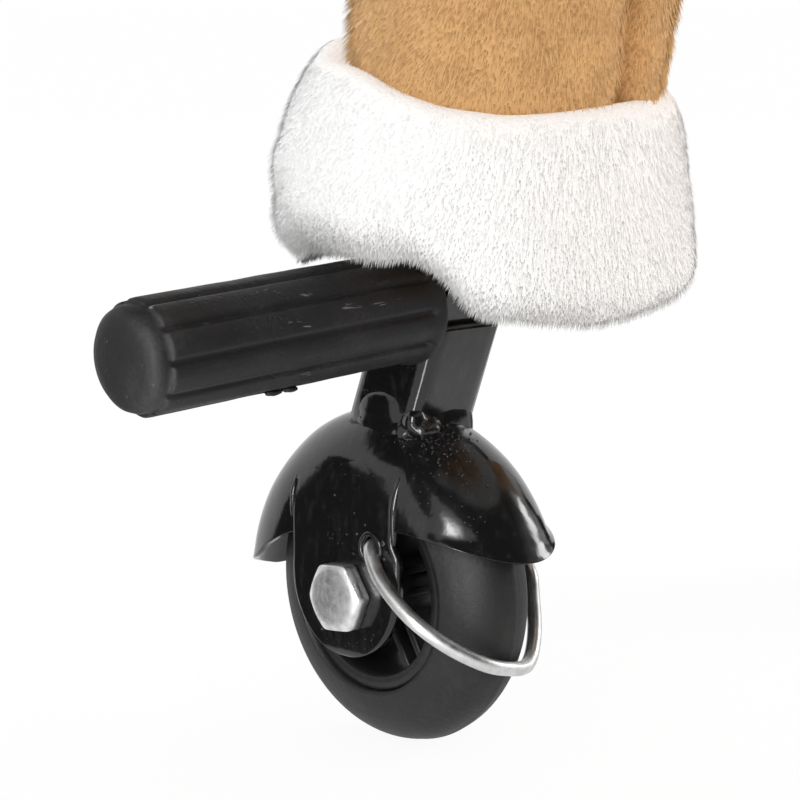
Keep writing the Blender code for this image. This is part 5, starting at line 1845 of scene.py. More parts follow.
@dataclass(frozen=True)
class Axle:
    """Hexagon bolt through the cheeks and the hub, with its nut inside."""

    across_flats: float = 0.0182
    face: float = 0.0277
    seat: float = 0.0223
    turn: float = math.radians(5.6)
    shank: float = 0.006
    nut_face: float = 0.0303

    def hexagon(self, low: float, high: float, crown: float) -> Mesh:
        """A chamfered hexagon head between two distances along X.

        Args:
            low: where its flat face is.
            high: where its crown is.
            crown: how far the crown rises.

        Returns:
            The mesh.
        """
        steps = 96
        turns = round_turns(steps)
        flat = self.across_flats / 2
        fold = (turns + math.pi / 6) % (math.pi / 3) - math.pi / 6
        reach = np.minimum(flat / np.cos(fold), flat * 1.125)
        rings = []
        sign = 1.0 if high > low else -1.0

        def ring(x: Array | float, radius: Array | float) -> None:
            """Add one ring."""
            x, radius = np.broadcast_to(x, steps), np.broadcast_to(radius, steps)
            rings.append(np.stack([x, radius * np.cos(turns), radius * np.sin(turns)], axis=-1))

        slope = (reach - flat * 0.93) * 0.46
        ring(low, reach - 0.0002)
        ring(low + sign * 0.0003, reach)
        ring(high - sign * (slope + crown), reach)
        ring(high - sign * (slope * 0.8 + crown), reach - 0.0002)
        ring(high - sign * crown, flat * 0.93)
        for share in (0.86, 0.7, 0.45, 0.2):
            ring(high - sign * crown * share ** 3, flat * share)
        mesh = loft(np.array(rings))
        mesh.transform(Matrix.Rotation(self.turn + math.pi / 2, 4, "X"))
        return mesh

    def head(self) -> Mesh:
        """The bolt: its head and its shank."""
        shank = lathe(
            [(self.seat - 0.001, 0.0), (self.seat - 0.001, self.shank), (-0.03, self.shank),
            (-0.0312, self.shank - 0.001), (-0.0312, 0.0)], 32, False)
        return merge([self.hexagon(self.seat, self.face, 0.0005), shank])

    def nut(self) -> Mesh:
        """The nut on the inner cheek."""
        return self.hexagon(-self.seat, -self.nut_face, 0.0003)


@dataclass(frozen=True)
class Wheel:
    """Tyre of oval section on a spoked plastic hub."""

    middle: float = 0.025
    half_width: float = 0.0148
    section: float = 0.0197
    groove: float = 0.0286
    rim_half: float = 0.0132
    rim_inner: float = 0.024
    boss: float = 0.0105
    boss_half: float = 0.0193
    spoke_pairs: int = 5
    spoke_space: float = 0.0062
    spoke_thick: float = 0.0022

    def tyre(self) -> Mesh:
        """The tyre, with a moulding line round its tread and a ridge on each side.

        Returns:
            The mesh.
        """
        start = math.acos((self.groove + 0.0004 - self.middle) / self.section)
        leans = np.linspace(-start, start, 45)
        radius = self.middle + self.section * np.cos(leans)
        x = self.half_width * np.sin(leans)
        radius += 0.00022 * (bell(leans, 0.02) - 1.0 - bell(np.abs(leans) - 0.98, 0.03))
        inner = [
            (self.rim_half - 0.0008, self.groove), (self.rim_half - 0.004, self.groove - 0.001),
            (-self.rim_half + 0.004, self.groove - 0.001), (-self.rim_half + 0.0008, self.groove)]
        return lathe(np.vstack([np.stack([x, radius], axis=-1), inner]), 128)

    def hub(self, trees: Trees, palette: Palette) -> Mesh:
        """The hub: rim, boss and pairs of thin spokes.

        Args:
            trees: the shared trees.
            palette: the finishes.

        Returns:
            The mesh.
        """
        half, outer, inner = self.rim_half, self.groove - 0.0002, self.rim_inner
        rim = lathe(
            [(half - 0.0005, outer), (half, outer - 0.0006), (half, inner + 0.0012),
            (half - 0.0006, inner + 0.0004), (half - 0.003, inner - 0.0002), (0.0, inner - 0.0006),
            (-half + 0.003, inner - 0.0002), (-half + 0.0006, inner + 0.0004), (-half, inner + 0.0012),
            (-half, outer - 0.0006), (-half + 0.0005, outer)], 96)
        boss = lathe(
            [(self.boss_half, 0.0062), (self.boss_half, self.boss - 0.0008),
            (self.boss_half - 0.0008, self.boss), (-self.boss_half + 0.0008, self.boss),
            (-self.boss_half, self.boss - 0.0008), (-self.boss_half, 0.0062)], 48)
        bars = []
        for side in (-0.5, 0.5):
            y = side * self.spoke_space
            grid = []
            for z in (self.boss - 0.002, 0.013, 0.019, inner + 0.0014):
                deep = 0.008 + 0.0012 * (z - 0.008) / 0.016
                square = ((1, -1), (1, 1), (-1, 1), (-1, -1))
                grid.append([(i * deep, y + j * self.spoke_thick / 2, z) for i, j in square])
            bars.append(modified(loft(np.array(grid)), rounded(0.0005)))
        pair = merge(bars)
        spokes = trees.ring.run(pair, Count=self.spoke_pairs, Material=palette.hub)
        bpy.data.meshes.remove(pair)
        return merge([rim, boss, spokes])


@dataclass(frozen=True)
class Hoop:
    """Zinc wire hung in the cheeks' holes, which drags on the tyre."""

    wire: float = 0.00205
    route: tuple = (
        (0.016, 0.01, 0.0156), (0.0223, 0.0107, 0.0152), (0.0252, 0.0165, 0.0092), (0.0264, 0.0248, 0.0033),
        (0.0255, 0.0331, -0.0022), (0.0198, 0.0398, -0.0083), (0.0119, 0.045, -0.0131),
        (0.003, 0.045, -0.0158), (-0.005, 0.043, -0.0172), (-0.0102, 0.0405, -0.016),
        (-0.0148, 0.0374, -0.0122), (-0.0182, 0.0343, -0.0078), (-0.0207, 0.0312, -0.002),
        (-0.0227, 0.0284, 0.0035), (-0.0241, 0.024, 0.0072), (-0.0246, 0.0182, 0.0118),
        (-0.0223, 0.0107, 0.0152), (-0.016, 0.01, 0.0156))

    def build(self) -> Mesh:
        """The wire, from the outer hole under the tyre's rear to the inner hole."""
        return tube(spline_through(np.array(self.route), 140), self.wire, 14)


@dataclass(frozen=True)
class Peg:
    """Fluted rubber foot peg, pushed onto the fork's stub."""

    radius: float = 0.01485
    start: float = 0.0128
    length: float = 0.099
    droop: float = 0.06
    axis_y: float = 0.01575
    axis_z: float = 0.082
    lobes: int = 10
    groove: float = 0.0013
    cap: float = 0.006

    def build(self) -> Mesh:
        """The peg, with narrow grooves along it and a stepped, domed outer end.

        Returns:
            The mesh.
        """
        steps = 180
        turns = round_turns(steps)
        phase = (turns * self.lobes / (2 * math.pi) + 0.5) % 1.0 - 0.5
        flute = bell(phase, 0.085)
        crown = 0.0004 * (np.cos(2 * math.pi * phase) - 1.0) * -0.5
        body = self.length - self.cap
        stations = [
            (0.0, 0.99, 0.0), (0.0004, 1.05, 0.0), (0.0014, 1.075, 0.0), (0.003, 1.07, 0.1),
            (0.0042, 1.03, 0.6), (0.0052, 1.005, 1.0)]
        stations += [(share * (body - 0.008) + 0.006, 1.0, 1.0) for share in np.linspace(0.02, 1.0, 34)]
        stations += [
            (body - 0.0008, 0.995, 1.0), (body, 0.965, 0.7), (body + 0.0001, 0.935, 0.0),
            (body + 0.0016, 0.93, 0.0), (body + 0.0034, 0.885, 0.0), (body + 0.0048, 0.78, 0.0),
            (body + 0.0056, 0.6, 0.0), (self.length - 0.0001, 0.35, 0.0), (self.length, 0.12, 0.0)]
        rings = []
        for distance, scale, fluted in stations:
            wave = 0.00016 * noise.noise(Vector((distance * 90.0, 3.0, 0.0)))
            radius = (self.radius - self.groove * flute * fluted + (crown + wave) * fluted) * scale
            x = self.start + distance
            z = self.axis_z - self.droop * distance
            rings.append(np.stack(
                [x + self.droop * radius * np.sin(turns), self.axis_y + radius * np.cos(turns),
                z + radius * np.sin(turns)], axis=-1))
        peg = loft(np.array(rings))
        nubs = [
            lump((x, self.axis_y + 0.0045, self.axis_z - self.droop * (x - self.start) - 0.0147),
            (0.0026, 0.0016, 0.0009), 0.1) for x in (0.06, 0.0655)]
        return merge([peg, *nubs])


# Plush of one leg

def to_post(points: Array) -> tuple[Array, Array, Array]:
    """Outward, across and along of points in the leg's frame; the inverse of from_post.

    Args:
        points: rows of X, Y and Z.

    Returns:
        The three distances, each for all the points.
    """
    sine, cosine = math.sin(LAYOUT.lean), math.cos(LAYOUT.lean)
    y = points[:, 1] + LAYOUT.post_offset
    return points[:, 0], y * cosine - points[:, 2] * sine, y * sine + points[:, 2] * cosine


def plush_shift(along: Array) -> Array:
    """How far behind the post's axis the middle of the plush lies."""
    low = 0.0068 - 0.176 * (np.clip(along, 0.11, 0.185) - 0.11)
    return low * (1.0 - smooth(along, 0.2, 0.32))


DOWN_POST = from_post(0.0, 0.0, -1.0) - from_post(0.0, 0.0, 0.0)
BODY_PILE = Pile(92000.0, 0.01, 0.00115, 0.34, 0.3, 90.0, seed=5)


@dataclass(frozen=True)
class LegPlush:
    """Tan plush of a leg, sewn up its front and back, from inside the sock to the body."""

    sections: tuple = (
        (0.118, 0.0385, 0.0385), (0.14, 0.041, 0.041), (0.155, 0.0438, 0.0438), (0.2, 0.0456, 0.046),
        (0.24, 0.0458, 0.0494), (0.34, 0.045, 0.064), (0.42, 0.043, 0.075), (0.465, 0.038, 0.064),
        (0.492, 0.022, 0.038))
    seam_angle: float = 94.0
    seam_depth: float = 0.008
    seam_width: float = 0.0032
    fine_top: float = 0.235
    pile: Pile = Pile(1000000.0, 0.0046, 0.00044, 0.55, 0.24, 150.0)

    def skin(self) -> Mesh:
        """The filled form with its seams, and what its pile reads.

        Returns:
            The skin.
        """
        table = np.array(self.sections)
        along = np.linspace(table[0, 0], table[-1, 0], 48)
        turns = round_turns(64)
        rings = []
        for distance in along:
            half = np.interp(distance, table[:, 0], table[:, 1]) - 0.0015
            deep = np.interp(distance, table[:, 0], table[:, 2]) - 0.0015
            lean = 0.0026 * smooth(distance, 0.165, 0.2) * (1.0 - smooth(distance, 0.3, 0.36))
            shift = plush_shift(np.array(distance)) - lean
            rings.append(from_post(
                half * np.cos(turns), shift + deep * np.sin(turns), np.full(64, distance)))
        mesh = swell(loft(np.array(rings)), 0.0062, 3.0, 0.006, 0.35)
        points = points_of(mesh)
        x, across, distance = to_post(points)
        across = across - plush_shift(distance)
        angle = np.degrees(np.arctan2(across, x))
        reach = np.hypot(x, across)
        carve = np.zeros(len(points))
        puff = np.zeros(len(points))
        for middle in (self.seam_angle, -self.seam_angle - 16.0):
            gap = np.abs((angle - middle + 180.0) % 360.0 - 180.0) * math.pi / 180.0 * reach
            wave = 1.0 + 0.35 * np.array([noise.noise(Vector((d * 55.0, middle, 0.0))) for d in distance])
            carve += self.seam_depth * wave * bell(gap, self.seam_width)
            pucker = 0.5 + 0.5 * np.sin(distance * 2 * math.pi / 0.021 + middle)
            puff += (0.0014 + 0.0014 * pucker) * bell(gap - 0.011, 0.008)
        fade = 1.0 - smooth(distance, 0.4, 0.46)
        broad = 0.0016 * waves_at(points, 26.0)
        move_points(mesh, points + normals_of(mesh) * ((puff - carve) * fade + broad)[:, None])
        near = 1.0 - smooth(distance, self.fine_top, self.fine_top + 0.06)
        coat = smooth(distance, 0.14, 0.146) * near
        coat = coat * (1.0 - 0.8 * np.clip(carve / self.seam_depth, 0.0, 1.0))
        dress_skin(mesh, coat, DOWN_POST * 0.9)
        set_attribute(mesh, "upper", (1.0 - 0.9 * near) * smooth(distance, 0.22, 0.24))
        return mesh

    def fur(self, trees: Trees, skin: Mesh, material: Material, share: float) -> Mesh:
        """The short pile near the sock, at a share of its count, and the body's longer pile above it.

        Args:
            trees: the shared trees.
            skin: the leg's skin.
            material: the fibres' finish.
            share: share of the short pile's full count.

        Returns:
            Both piles as one mesh.
        """
        short = self.pile.thinned(share).grow(trees, skin, material)
        values = np.zeros((2, len(skin.vertices)), np.float32)
        for row, name in zip(values, ("coat", "upper")):
            skin.attributes[name].data.foreach_get("value", row)
        set_attribute(skin, "coat", values[1])
        long = BODY_PILE.grow(trees, skin, material)
        set_attribute(skin, "coat", values[0])
        return merge([short, long])


@dataclass(frozen=True)
class Sock:
    """White plush sock above the wheel; the front pair's hem lies over the foot peg."""

    over_peg: bool
    hem: tuple = (
        (-180, 0.106), (-120, 0.092), (-60, 0.088), (-38, 0.093), (-20, 0.102), (-8, 0.108), (0, 0.1095),
        (10, 0.111), (20, 0.1145), (28, 0.1185), (31.5, 0.1187), (34.5, 0.114), (37.5, 0.1078), (45, 0.106),
        (55, 0.1083), (65, 0.1098), (86, 0.1075), (98, 0.108), (110, 0.1085), (127, 0.108), (150, 0.108))
    plain_hem: tuple = (
        (-180, 0.106), (-120, 0.094), (-60, 0.09), (0, 0.1), (60, 0.109), (90, 0.108), (120, 0.108),
        (150, 0.108))
    rim: tuple = (
        (-180, 0.156), (-90, 0.151), (-60, 0.149), (-40, 0.1485), (-16, 0.1525), (20, 0.1535), (43, 0.1555),
        (54, 0.1575), (72, 0.161), (85, 0.163), (100, 0.1635), (137, 0.162))
    upper: tuple = (
        (0.085, 0.056), (0.1, 0.0568), (0.112, 0.0572), (0.119, 0.0572), (0.13, 0.0556), (0.14, 0.0534),
        (0.148, 0.051), (0.157, 0.0488), (0.165, 0.0462), (0.18, 0.044))
    pile: Pile = Pile(1300000.0, 0.0028, 0.0003, 0.5, 0.16, 230.0, seed=8)

    def edges(self, turns: Array) -> tuple[Array, Array]:
        """Where the hem and the upper edge lie along the post at each angle, in degrees."""
        hem = self.hem if self.over_peg else self.plain_hem
        return round_table(turns, hem), round_table(turns, self.rim)

    def skin(self) -> Mesh:
        """The sock's form, with its hem turned in and up, and what its pile reads.

        Returns:
            The skin.
        """
        steps = 104
        turns = np.linspace(-180.0, 180.0, steps, endpoint=False)
        radians = np.radians(turns)
        hem, top = self.edges(turns)
        table = np.array(self.upper)
        rings = []

        def ring(along: Array, radius: Array) -> None:
            """Add one ring."""
            shift = plush_shift(along)
            rings.append(from_post(
                radius * np.cos(radians), shift * np.clip(radius / 0.04, 0, 1) + radius * np.sin(radians),
                along))

        lobes = 0.001 * np.sin(radians * 3 + 0.7) + 0.0008 * np.sin(radians * 5 + 2.1)
        for rise, radius in (
                (0.02, 0.018), (0.016, 0.026), (0.008, 0.0355), (0.002, 0.0425), (-0.0006, 0.0465)):
            ring(hem + rise, np.full(steps, radius))
        for below in np.linspace(0.0, 1.0, 24):
            along = hem + (top - hem) * below
            outer = np.interp(along, table[:, 0], table[:, 1])
            rise = along - hem
            fall = top - along
            outer = outer - 0.0098 * np.clip(1.0 - rise / 0.0125, 0.0, 1.0) ** 2.2
            outer = outer + lobes * (1.0 - smooth(rise, 0.01, 0.03))
            outer = outer - 0.003 * np.clip(1.0 - fall / 0.006, 0, 1) ** 2
            ring(along, outer)
        ring(top + 0.0004, np.full(steps, 0.041))
        ring(top - 0.003, np.full(steps, 0.0385))
        mesh = modified(loft(np.array(rings)), SUBDIVIDED)
        points = points_of(mesh)
        x, across, along = to_post(points)
        shift = plush_shift(along)
        angle = np.degrees(np.arctan2(across - shift, x))
        low = self.edges(angle)[0]
        reach = np.hypot(x, across - shift)
        outside = smooth(reach, 0.038, 0.046)
        soft = waves_at(points, 34.0) * 0.0016 + waves_at(points, 85.0) * 0.0006
        move_points(mesh, points + normals_of(mesh) * (soft * outside)[:, None])
        coat = outside * (0.75 + 0.6 * (1.0 - smooth(along - low, 0.004, 0.014)))
        comb = np.broadcast_to(DOWN_POST * 0.75, (len(points), 3)).copy()
        edge = (1.0 - smooth(along - low, 0.0, 0.01))[:, None]
        comb += edge * DOWN_POST * 0.35
        dress_skin(mesh, coat, comb, 1.0, 1.0 - 0.1 * (1.0 - smooth(along - low, 0.0, 0.006)))
        return mesh


class Leg:
    """The four legs: each part is made once and set at its corners, its pile full on the nearest leg."""

    shares: tuple[float, float] = (0.3, 1.0)

    def __init__(self, trees: Trees, palette: Palette) -> None:
        """Make the parts that the corners share.

        Args:
            trees: the shared trees.
            palette: the finishes.
        """
        self.trees = trees
        self.palette = palette
        self.forks = {end: Fork().build(end) for end in End}
        self.axle = Axle()
        self.wheel = Wheel()
        self.plush = LegPlush()
        self.plush_skin = self.plush.skin()
        self.plush_piles = [
            self.plush.fur(trees, self.plush_skin, palette.fibre, share) for share in self.shares]
        self.socks = {}
        for end in End:
            sock = Sock(end is End.FRONT)
            skin = sock.skin()
            piles = [sock.pile.thinned(share).grow(trees, skin, palette.sock_fibre) for share in self.shares]
            self.socks[end] = (skin, piles)

    def put(
            self, corner: Corner, name: str, mesh: Mesh, body: str, slot: str, replaced: tuple[str, ...],
            *materials: Material, leans: bool = False) -> Object:
        """Set one part at a corner.

        Args:
            corner: where it goes.
            name: its name after the corner's label.
            mesh: the part round the wheel's middle.
            body: the body that carries it, or nothing for a part that will bend.
            slot: the record's material slot; not used.
            replaced: the nodes that it stands for, after the corner's label.
            materials: its finishes.
            leans: whether it is turned round at the rear.

        Returns:
            The part.
        """
        nodes = tuple(f"{corner.label}_{node}" for node in replaced)
        return put(
            f"{corner.label}_{name}{'_skin' if nodes else ''}", at_corner(mesh, corner, leans), body, slot,
            nodes, *materials)

    @staticmethod
    def near(corner: Corner) -> bool:
        """Whether a corner is the one that is seen from close by."""
        return corner.label == "front_left"

    def build(self, corner: Corner) -> None:
        """Build one leg.

        Args:
            corner: where it stands.
        """
        p = self.palette
        self.put(corner, "fork", self.forks[corner.end], corner.legs, "black_steel", ("fork",), p.paint)
        self.put(corner, "bolt", self.axle.head(), corner.legs, "zinc", ("axle_bolt",), p.bolt)
        self.put(corner, "nut", self.axle.nut(), corner.legs, "zinc", ("axle_nut",), p.bolt)
        wheel = f"{corner.label}_wheel"
        self.put(corner, "tyre", self.wheel.tyre(), wheel, "tyre", ("tyre",), p.tyre)
        self.put(corner, "hub", self.wheel.hub(self.trees, p), wheel, "hub", ("hub",), p.hub)
        self.put(corner, "hoop", Hoop().build(), f"{corner.label}_hoop", "zinc", ("brake_hoop",), p.wire)
        if corner.end is End.FRONT:
            self.put(corner, "peg", Peg().build(), corner.legs, "rubber", ("foot_peg",), p.grip)
        skin, piles = self.socks[corner.end]
        sock = self.put(
            corner, "sock", skin, corner.legs, "white_plush", ("sock",), p.sock_cloth, leans=True)
        airy(self.put(
            corner, "sock_pile", piles[self.near(corner)], corner.legs, "white_plush", (), p.sock_fibre,
            leans=True))
        self.dress_leg(corner)

    def dress_leg(self, corner: Corner) -> None:
        """Set the leg's plush, which bends with the body over the hip.

        Args:
            corner: where it stands.
        """
        p = self.palette
        body = "front_end" if corner.end is End.FRONT else "trunk"
        start = corner.place() @ Vector(from_post(0.0, 0.0, 0.33))
        stop = corner.place() @ Vector(from_post(0.0, 0.0, 0.45))
        leg = self.put(
            corner, "leg_plush", self.plush_skin, "", "tan_plush", ("leg_plush",), p.cloth, leans=True)
        pile = airy(self.put(
            corner, "leg_pile", self.plush_piles[self.near(corner)], "", "tan_plush", (), p.fibre,
            leans=True))
        for obj in (leg, pile):
            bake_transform(obj, corner.legs, body, start=tuple(start), end=tuple(stop))


# Body, neck and head

def section_at(table: tuple, place: float) -> Array:
    """A table's other columns at a place between its first column's values, on a smooth line.

    Args:
        table: rows whose first value rises.
        place: a place along the first column.

    Returns:
        One value for each other column.
    """
    rows = np.array(table)
    keys = rows[:, 0]
    index = int(np.clip(np.searchsorted(keys, place) - 1, 0, len(keys) - 2))
    t = float(np.clip((place - keys[index]) / (keys[index + 1] - keys[index]), 0.0, 1.0))
    before, after = max(index - 1, 0), min(index + 2, len(keys) - 1)
    a, b = rows[index, 1:], rows[index + 1, 1:]
    gap = keys[index + 1] - keys[index]
    first = (b - rows[before, 1:]) / (keys[index + 1] - keys[before]) * gap
    second = (rows[after, 1:] - a) / (keys[after] - keys[index]) * gap
    return (
        (2 * t ** 3 - 3 * t ** 2 + 1) * a + (t ** 3 - 2 * t ** 2 + t) * first
        + (3 * t ** 2 - 2 * t ** 3) * b + (t ** 3 - t ** 2) * second)


def laid_on(
        place: Callable[[float, float, float], Vector], spots: list, lift: float) -> tuple[Array, Array]:
    """Points laid on a form, and the way out of it at each.

    Args:
        place: gives the point at a spot and a distance outside the form.
        spots: the spots.
        lift: distance of the points outside the form.

    Returns:
        The points and a direction for each.
    """
    line = np.array([place(*spot, lift) for spot in spots])
    above = np.array([place(*spot, lift + 0.01) for spot in spots])
    return line, unit(above - line)


@dataclass(frozen=True)
class Torso:
    """Stuffed chest, barrel, rump and neck in one skin, which bends where the front end steers."""

    sections: tuple = (
        (-0.134, 0.026, 0.032, 0.062), (-0.118, 0.06, 0.068, 0.065), (-0.07, 0.088, 0.092, 0.072),
        (0.0, 0.1, 0.099, 0.077), (0.08, 0.104, 0.101, 0.075), (0.15, 0.107, 0.102, 0.071),
        (0.22, 0.11, 0.104, 0.068), (0.31, 0.111, 0.105, 0.07), (0.375, 0.099, 0.095, 0.074),
        (0.418, 0.07, 0.068, 0.08), (0.434, 0.03, 0.03, 0.082))
    neck_foot: tuple[float, float] = (0.02, 0.57)
    neck_top: tuple[float, float] = (-0.052, 0.8)
    neck: tuple = (
        (-0.03, 0.078, 0.1), (0.0, 0.083, 0.106), (0.06, 0.074, 0.094), (0.12, 0.064, 0.08),
        (0.18, 0.056, 0.069), (0.235, 0.049, 0.06), (0.258, 0.034, 0.042))
    voxel: float = 0.0074

    def point(self, y: float, turn: float, grow: float = 0.0) -> Vector:
        """A point on the barrel's form.

        Args:
            y: distance behind the front hip.
            turn: angle from the top, in radians.
            grow: distance outside the form.

        Returns:
            The point in the horse's frame.
        """
        half, tall, rise = section_at(self.sections, y)
        return Vector((
            (half + grow) * math.sin(turn), LAYOUT.front_hip_y + y,
            LAYOUT.hip_height + rise + (tall + grow) * math.cos(turn)))

    def neck_frame(self) -> tuple[Vector, Vector, Vector]:
        """The neck's foot, the way it runs, and the way to its back.

        Returns:
            The point and both ways.
        """
        foot = Vector((0.0, LAYOUT.front_hip_y + self.neck_foot[0], self.neck_foot[1]))
        top = Vector((0.0, LAYOUT.front_hip_y + self.neck_top[0], self.neck_top[1]))
        way = (top - foot).normalized()
        return foot, way, Vector((1.0, 0.0, 0.0)).cross(way) * -1.0

    def skin(self) -> Mesh:
        """The filled body and neck, with their seams and what their pile reads.

        Returns:
            The skin.
        """
        turns = round_turns(48)
        rings = np.array([
            [self.point(y, turn, -0.002) for turn in turns]
            for y in np.linspace(self.sections[0][0], self.sections[-1][0], 44)])
        barrel = loft(rings)
        foot, way, back = self.neck_frame()
        rings = []
        for along in np.linspace(self.neck[0][0], self.neck[-1][0], 26):
            half, deep = section_at(self.neck, along)
            rings.append([
                foot + way * along + Vector((1, 0, 0)) * half * math.sin(turn)
                + back * deep * math.cos(turn) for turn in turns])
        mesh = swell(merge([barrel, loft(np.array(rings))]), self.voxel, 2.5, 0.007, 0.4)
        mesh = modified(mesh, eased(6))
        points = points_of(mesh)
        normals = normals_of(mesh)
        seam = bell(points[:, 0], 0.0034)
        under = smooth(-normals[:, 2], 0.1, 0.4) + smooth(-normals[:, 1], 0.5, 0.8)
        broad = waves_at(points, 19.0) * 0.0022
        move_points(mesh, points + normals * (broad - 0.0032 * seam * np.clip(under, 0.0, 1.0))[:, None])
        shoulder = 1.0 - 0.85 * self.hidden(points)
        rear = smooth(points[:, 1], LAYOUT.front_hip_y + 0.02, LAYOUT.front_hip_y + 0.1)
        comb = np.stack([np.zeros(len(points)), 0.25 + 0.65 * rear, -0.85 + 0.4 * rear], axis=-1)
        dress_skin(mesh, shoulder, comb, 0.0)
        return mesh

    def hidden(self, points: Array) -> Array:
        """How far each point lies under the saddle, from 0 to 1.

        Args:
            points: rows of X, Y and Z.

        Returns:
            One share for each point.
        """
        y = points[:, 1] - LAYOUT.front_hip_y
        rise = points[:, 2] - LAYOUT.hip_height
        return smooth(y, 0.178, 0.19) * (1 - smooth(y, 0.372, 0.382)) * smooth(rise, 0.142, 0.152)


@dataclass(frozen=True)
class Head:
    """Stuffed head with its muzzle, nostrils, mouth and brow."""

    poll: tuple[float, float] = (0.002, 0.852)
    muzzle: tuple[float, float] = (-0.213, 0.692)
    sections: tuple = (
        (-0.014, 0.022, 0.024, 0.024), (0.004, 0.044, 0.044, 0.048), (0.035, 0.055, 0.052, 0.066),
        (0.07, 0.059, 0.054, 0.071), (0.105, 0.054, 0.05, 0.064), (0.145, 0.045, 0.044, 0.05),
        (0.185, 0.0395, 0.0385, 0.04), (0.215, 0.04, 0.0375, 0.039), (0.245, 0.041, 0.0365, 0.039),
        (0.262, 0.035, 0.03, 0.032), (0.272, 0.02, 0.017, 0.018))
    eye_along: float = 0.088
    eye_raise: float = 0.02
    eye_radius: float = 0.013
    lid_size: tuple[float, float] = (0.0128, 0.0112)
    ear_length: float = 0.084
    ear_half: float = 0.0235
    pile: Pile = Pile(220000.0, 0.007, 0.00076, 0.42, 0.34, 120.0, seed=6)
    ear_pile: Pile = Pile(300000.0, 0.006, 0.0006, 0.35, 0.3, 120.0, seed=7)

    def frame(self) -> tuple[Vector, Vector, Vector]:
        """The poll, the way to the muzzle, and the way to the forehead's outside.

        Returns:
            The point and both ways.
        """
        start = Vector((0.0, LAYOUT.front_hip_y + self.poll[0], self.poll[1]))
        stop = Vector((0.0, LAYOUT.front_hip_y + self.muzzle[0], self.muzzle[1]))
        way = (stop - start).normalized()
        return start, way, Vector((1.0, 0.0, 0.0)).cross(way)

    def point(self, along: float, turn: float, grow: float = 0.0) -> Vector:
        """A point on the head's form.

        Args:
            along: distance from the poll towards the muzzle.
            turn: angle from the forehead, in radians.
            grow: distance outside the form.

        Returns:
            The point in the horse's frame.
        """
        start, way, above = self.frame()
        half, top, low = section_at(self.sections, along)
        c, s = math.cos(turn), math.sin(turn)
        power = 0.86
        c, s = math.copysign(abs(c) ** power, c), math.copysign(abs(s) ** power, s)
        tall = top if c > 0 else low
        return start + way * along + Vector(((half + grow) * s, 0, 0)) + above * (tall + grow) * c

    def skin(self) -> Mesh:
        """The filled head with its features and what its pile reads.

        Returns:
            The skin.
        """
        turns = round_turns(48)
        rings = np.array([
            [self.point(a, t, -0.001) for t in turns]
            for a in np.linspace(self.sections[0][0], self.sections[-1][0], 46)])
        mesh = swell(loft(rings), 0.0046, 2.0, 0.004, 0.5)
        start, way, above = self.frame()
        points = points_of(mesh)
        normals = normals_of(mesh)
        away = points - np.array(start)
        along, tall, side = away @ np.array(way), away @ np.array(above), np.abs(points[:, 0])
        push = waves_at(points, 30.0) * 0.0012
        eye = bell(along - self.eye_along, 0.021) * bell(tall - self.eye_raise + 0.002, 0.016)
        push -= 0.005 * eye * smooth(side, 0.03, 0.05)
        brow = bell(along - self.eye_along + 0.008, 0.02) * bell(tall - self.eye_raise - 0.02, 0.009)
        push += 0.0042 * brow * smooth(side, 0.02, 0.035)
        forward, upward, outward = along - 0.247, tall - 0.012, smooth(side, 0.012, 0.02)
        nostril = bell(forward, 0.0085) * bell(upward, 0.0055) * outward
        push -= 0.0085 * nostril
        push += 0.0022 * bell(np.hypot(forward / 0.0135, upward / 0.01) - 1.0, 0.42) * outward
        above_mouth = tall + 0.0165 + 0.1 * (0.262 - along)
        mouth = bell(above_mouth, 0.0022) * smooth(along, 0.205, 0.222)
        push -= 0.0048 * mouth
        push += 0.0016 * bell(np.abs(above_mouth) - 0.0075, 0.0045) * smooth(along, 0.215, 0.235)
        push -= 0.0026 * bell(side, 0.0028) * smooth(-tall, 0.02, 0.03)
        move_points(mesh, points + normals * push[:, None])
        white = smooth(along + 0.35 * (tall + 0.01), 0.188, 0.2)
        blaze = (1 - smooth(side, 0.0075, 0.0095)) * smooth(tall, 0.02, 0.03) * smooth(along, 0.045, 0.05)
        coat = 1.0 - 0.9 * np.clip(nostril * 1.6 + mouth + eye * 0.9, 0.0, 1.0)
        comb = np.array(way) * 0.9 + np.zeros((len(points), 3))
        dress_skin(mesh, coat, comb, np.maximum(white, blaze), 1.0 - 0.35 * white)
        return mesh

    def socket(self, side: int, out: float) -> tuple[Vector, Vector]:
        """The middle of an eye, a distance out from the head's middle, and the way that it looks.

        Args:
            side: 1 for the left and -1 for the right.
            out: the distance out.

        Returns:
            Both of them.
        """
        start, way, above = self.frame()
        middle = start + way * self.eye_along + above * self.eye_raise + Vector((side * out, 0, 0))
        return middle, (Vector((side, 0, 0)) + way * 0.22 + above * 0.12).normalized()

    def eye(self, side: int) -> Mesh:
        """One eye: a moulded dome with a round pupil.

        Args:
            side: 1 for the left and -1 for the right.

        Returns:
            The eye's mesh, with along from 0 at the pupil's middle to 1 at its edge.
        """
        middle, look = self.socket(side, 0.05)
        bm = bmesh.new()
        bmesh.ops.create_uvsphere(bm, u_segments=40, v_segments=26, radius=self.eye_radius)
        turn = look.to_track_quat("Z", "Y").to_matrix().to_4x4()
        bmesh.ops.transform(bm, matrix=Matrix.Translation(middle) @ turn, verts=bm.verts)
        mesh = bpy.data.meshes.new("eye")
        bm.to_mesh(mesh)
        bm.free()
        mesh.shade_smooth()
        offsets = (points_of(mesh) - np.array(middle)) / self.eye_radius
        share = np.arccos(np.clip(offsets @ np.array(look), -1, 1)) / (math.pi / 2)
        set_attribute(mesh, "along", share)
        return mesh

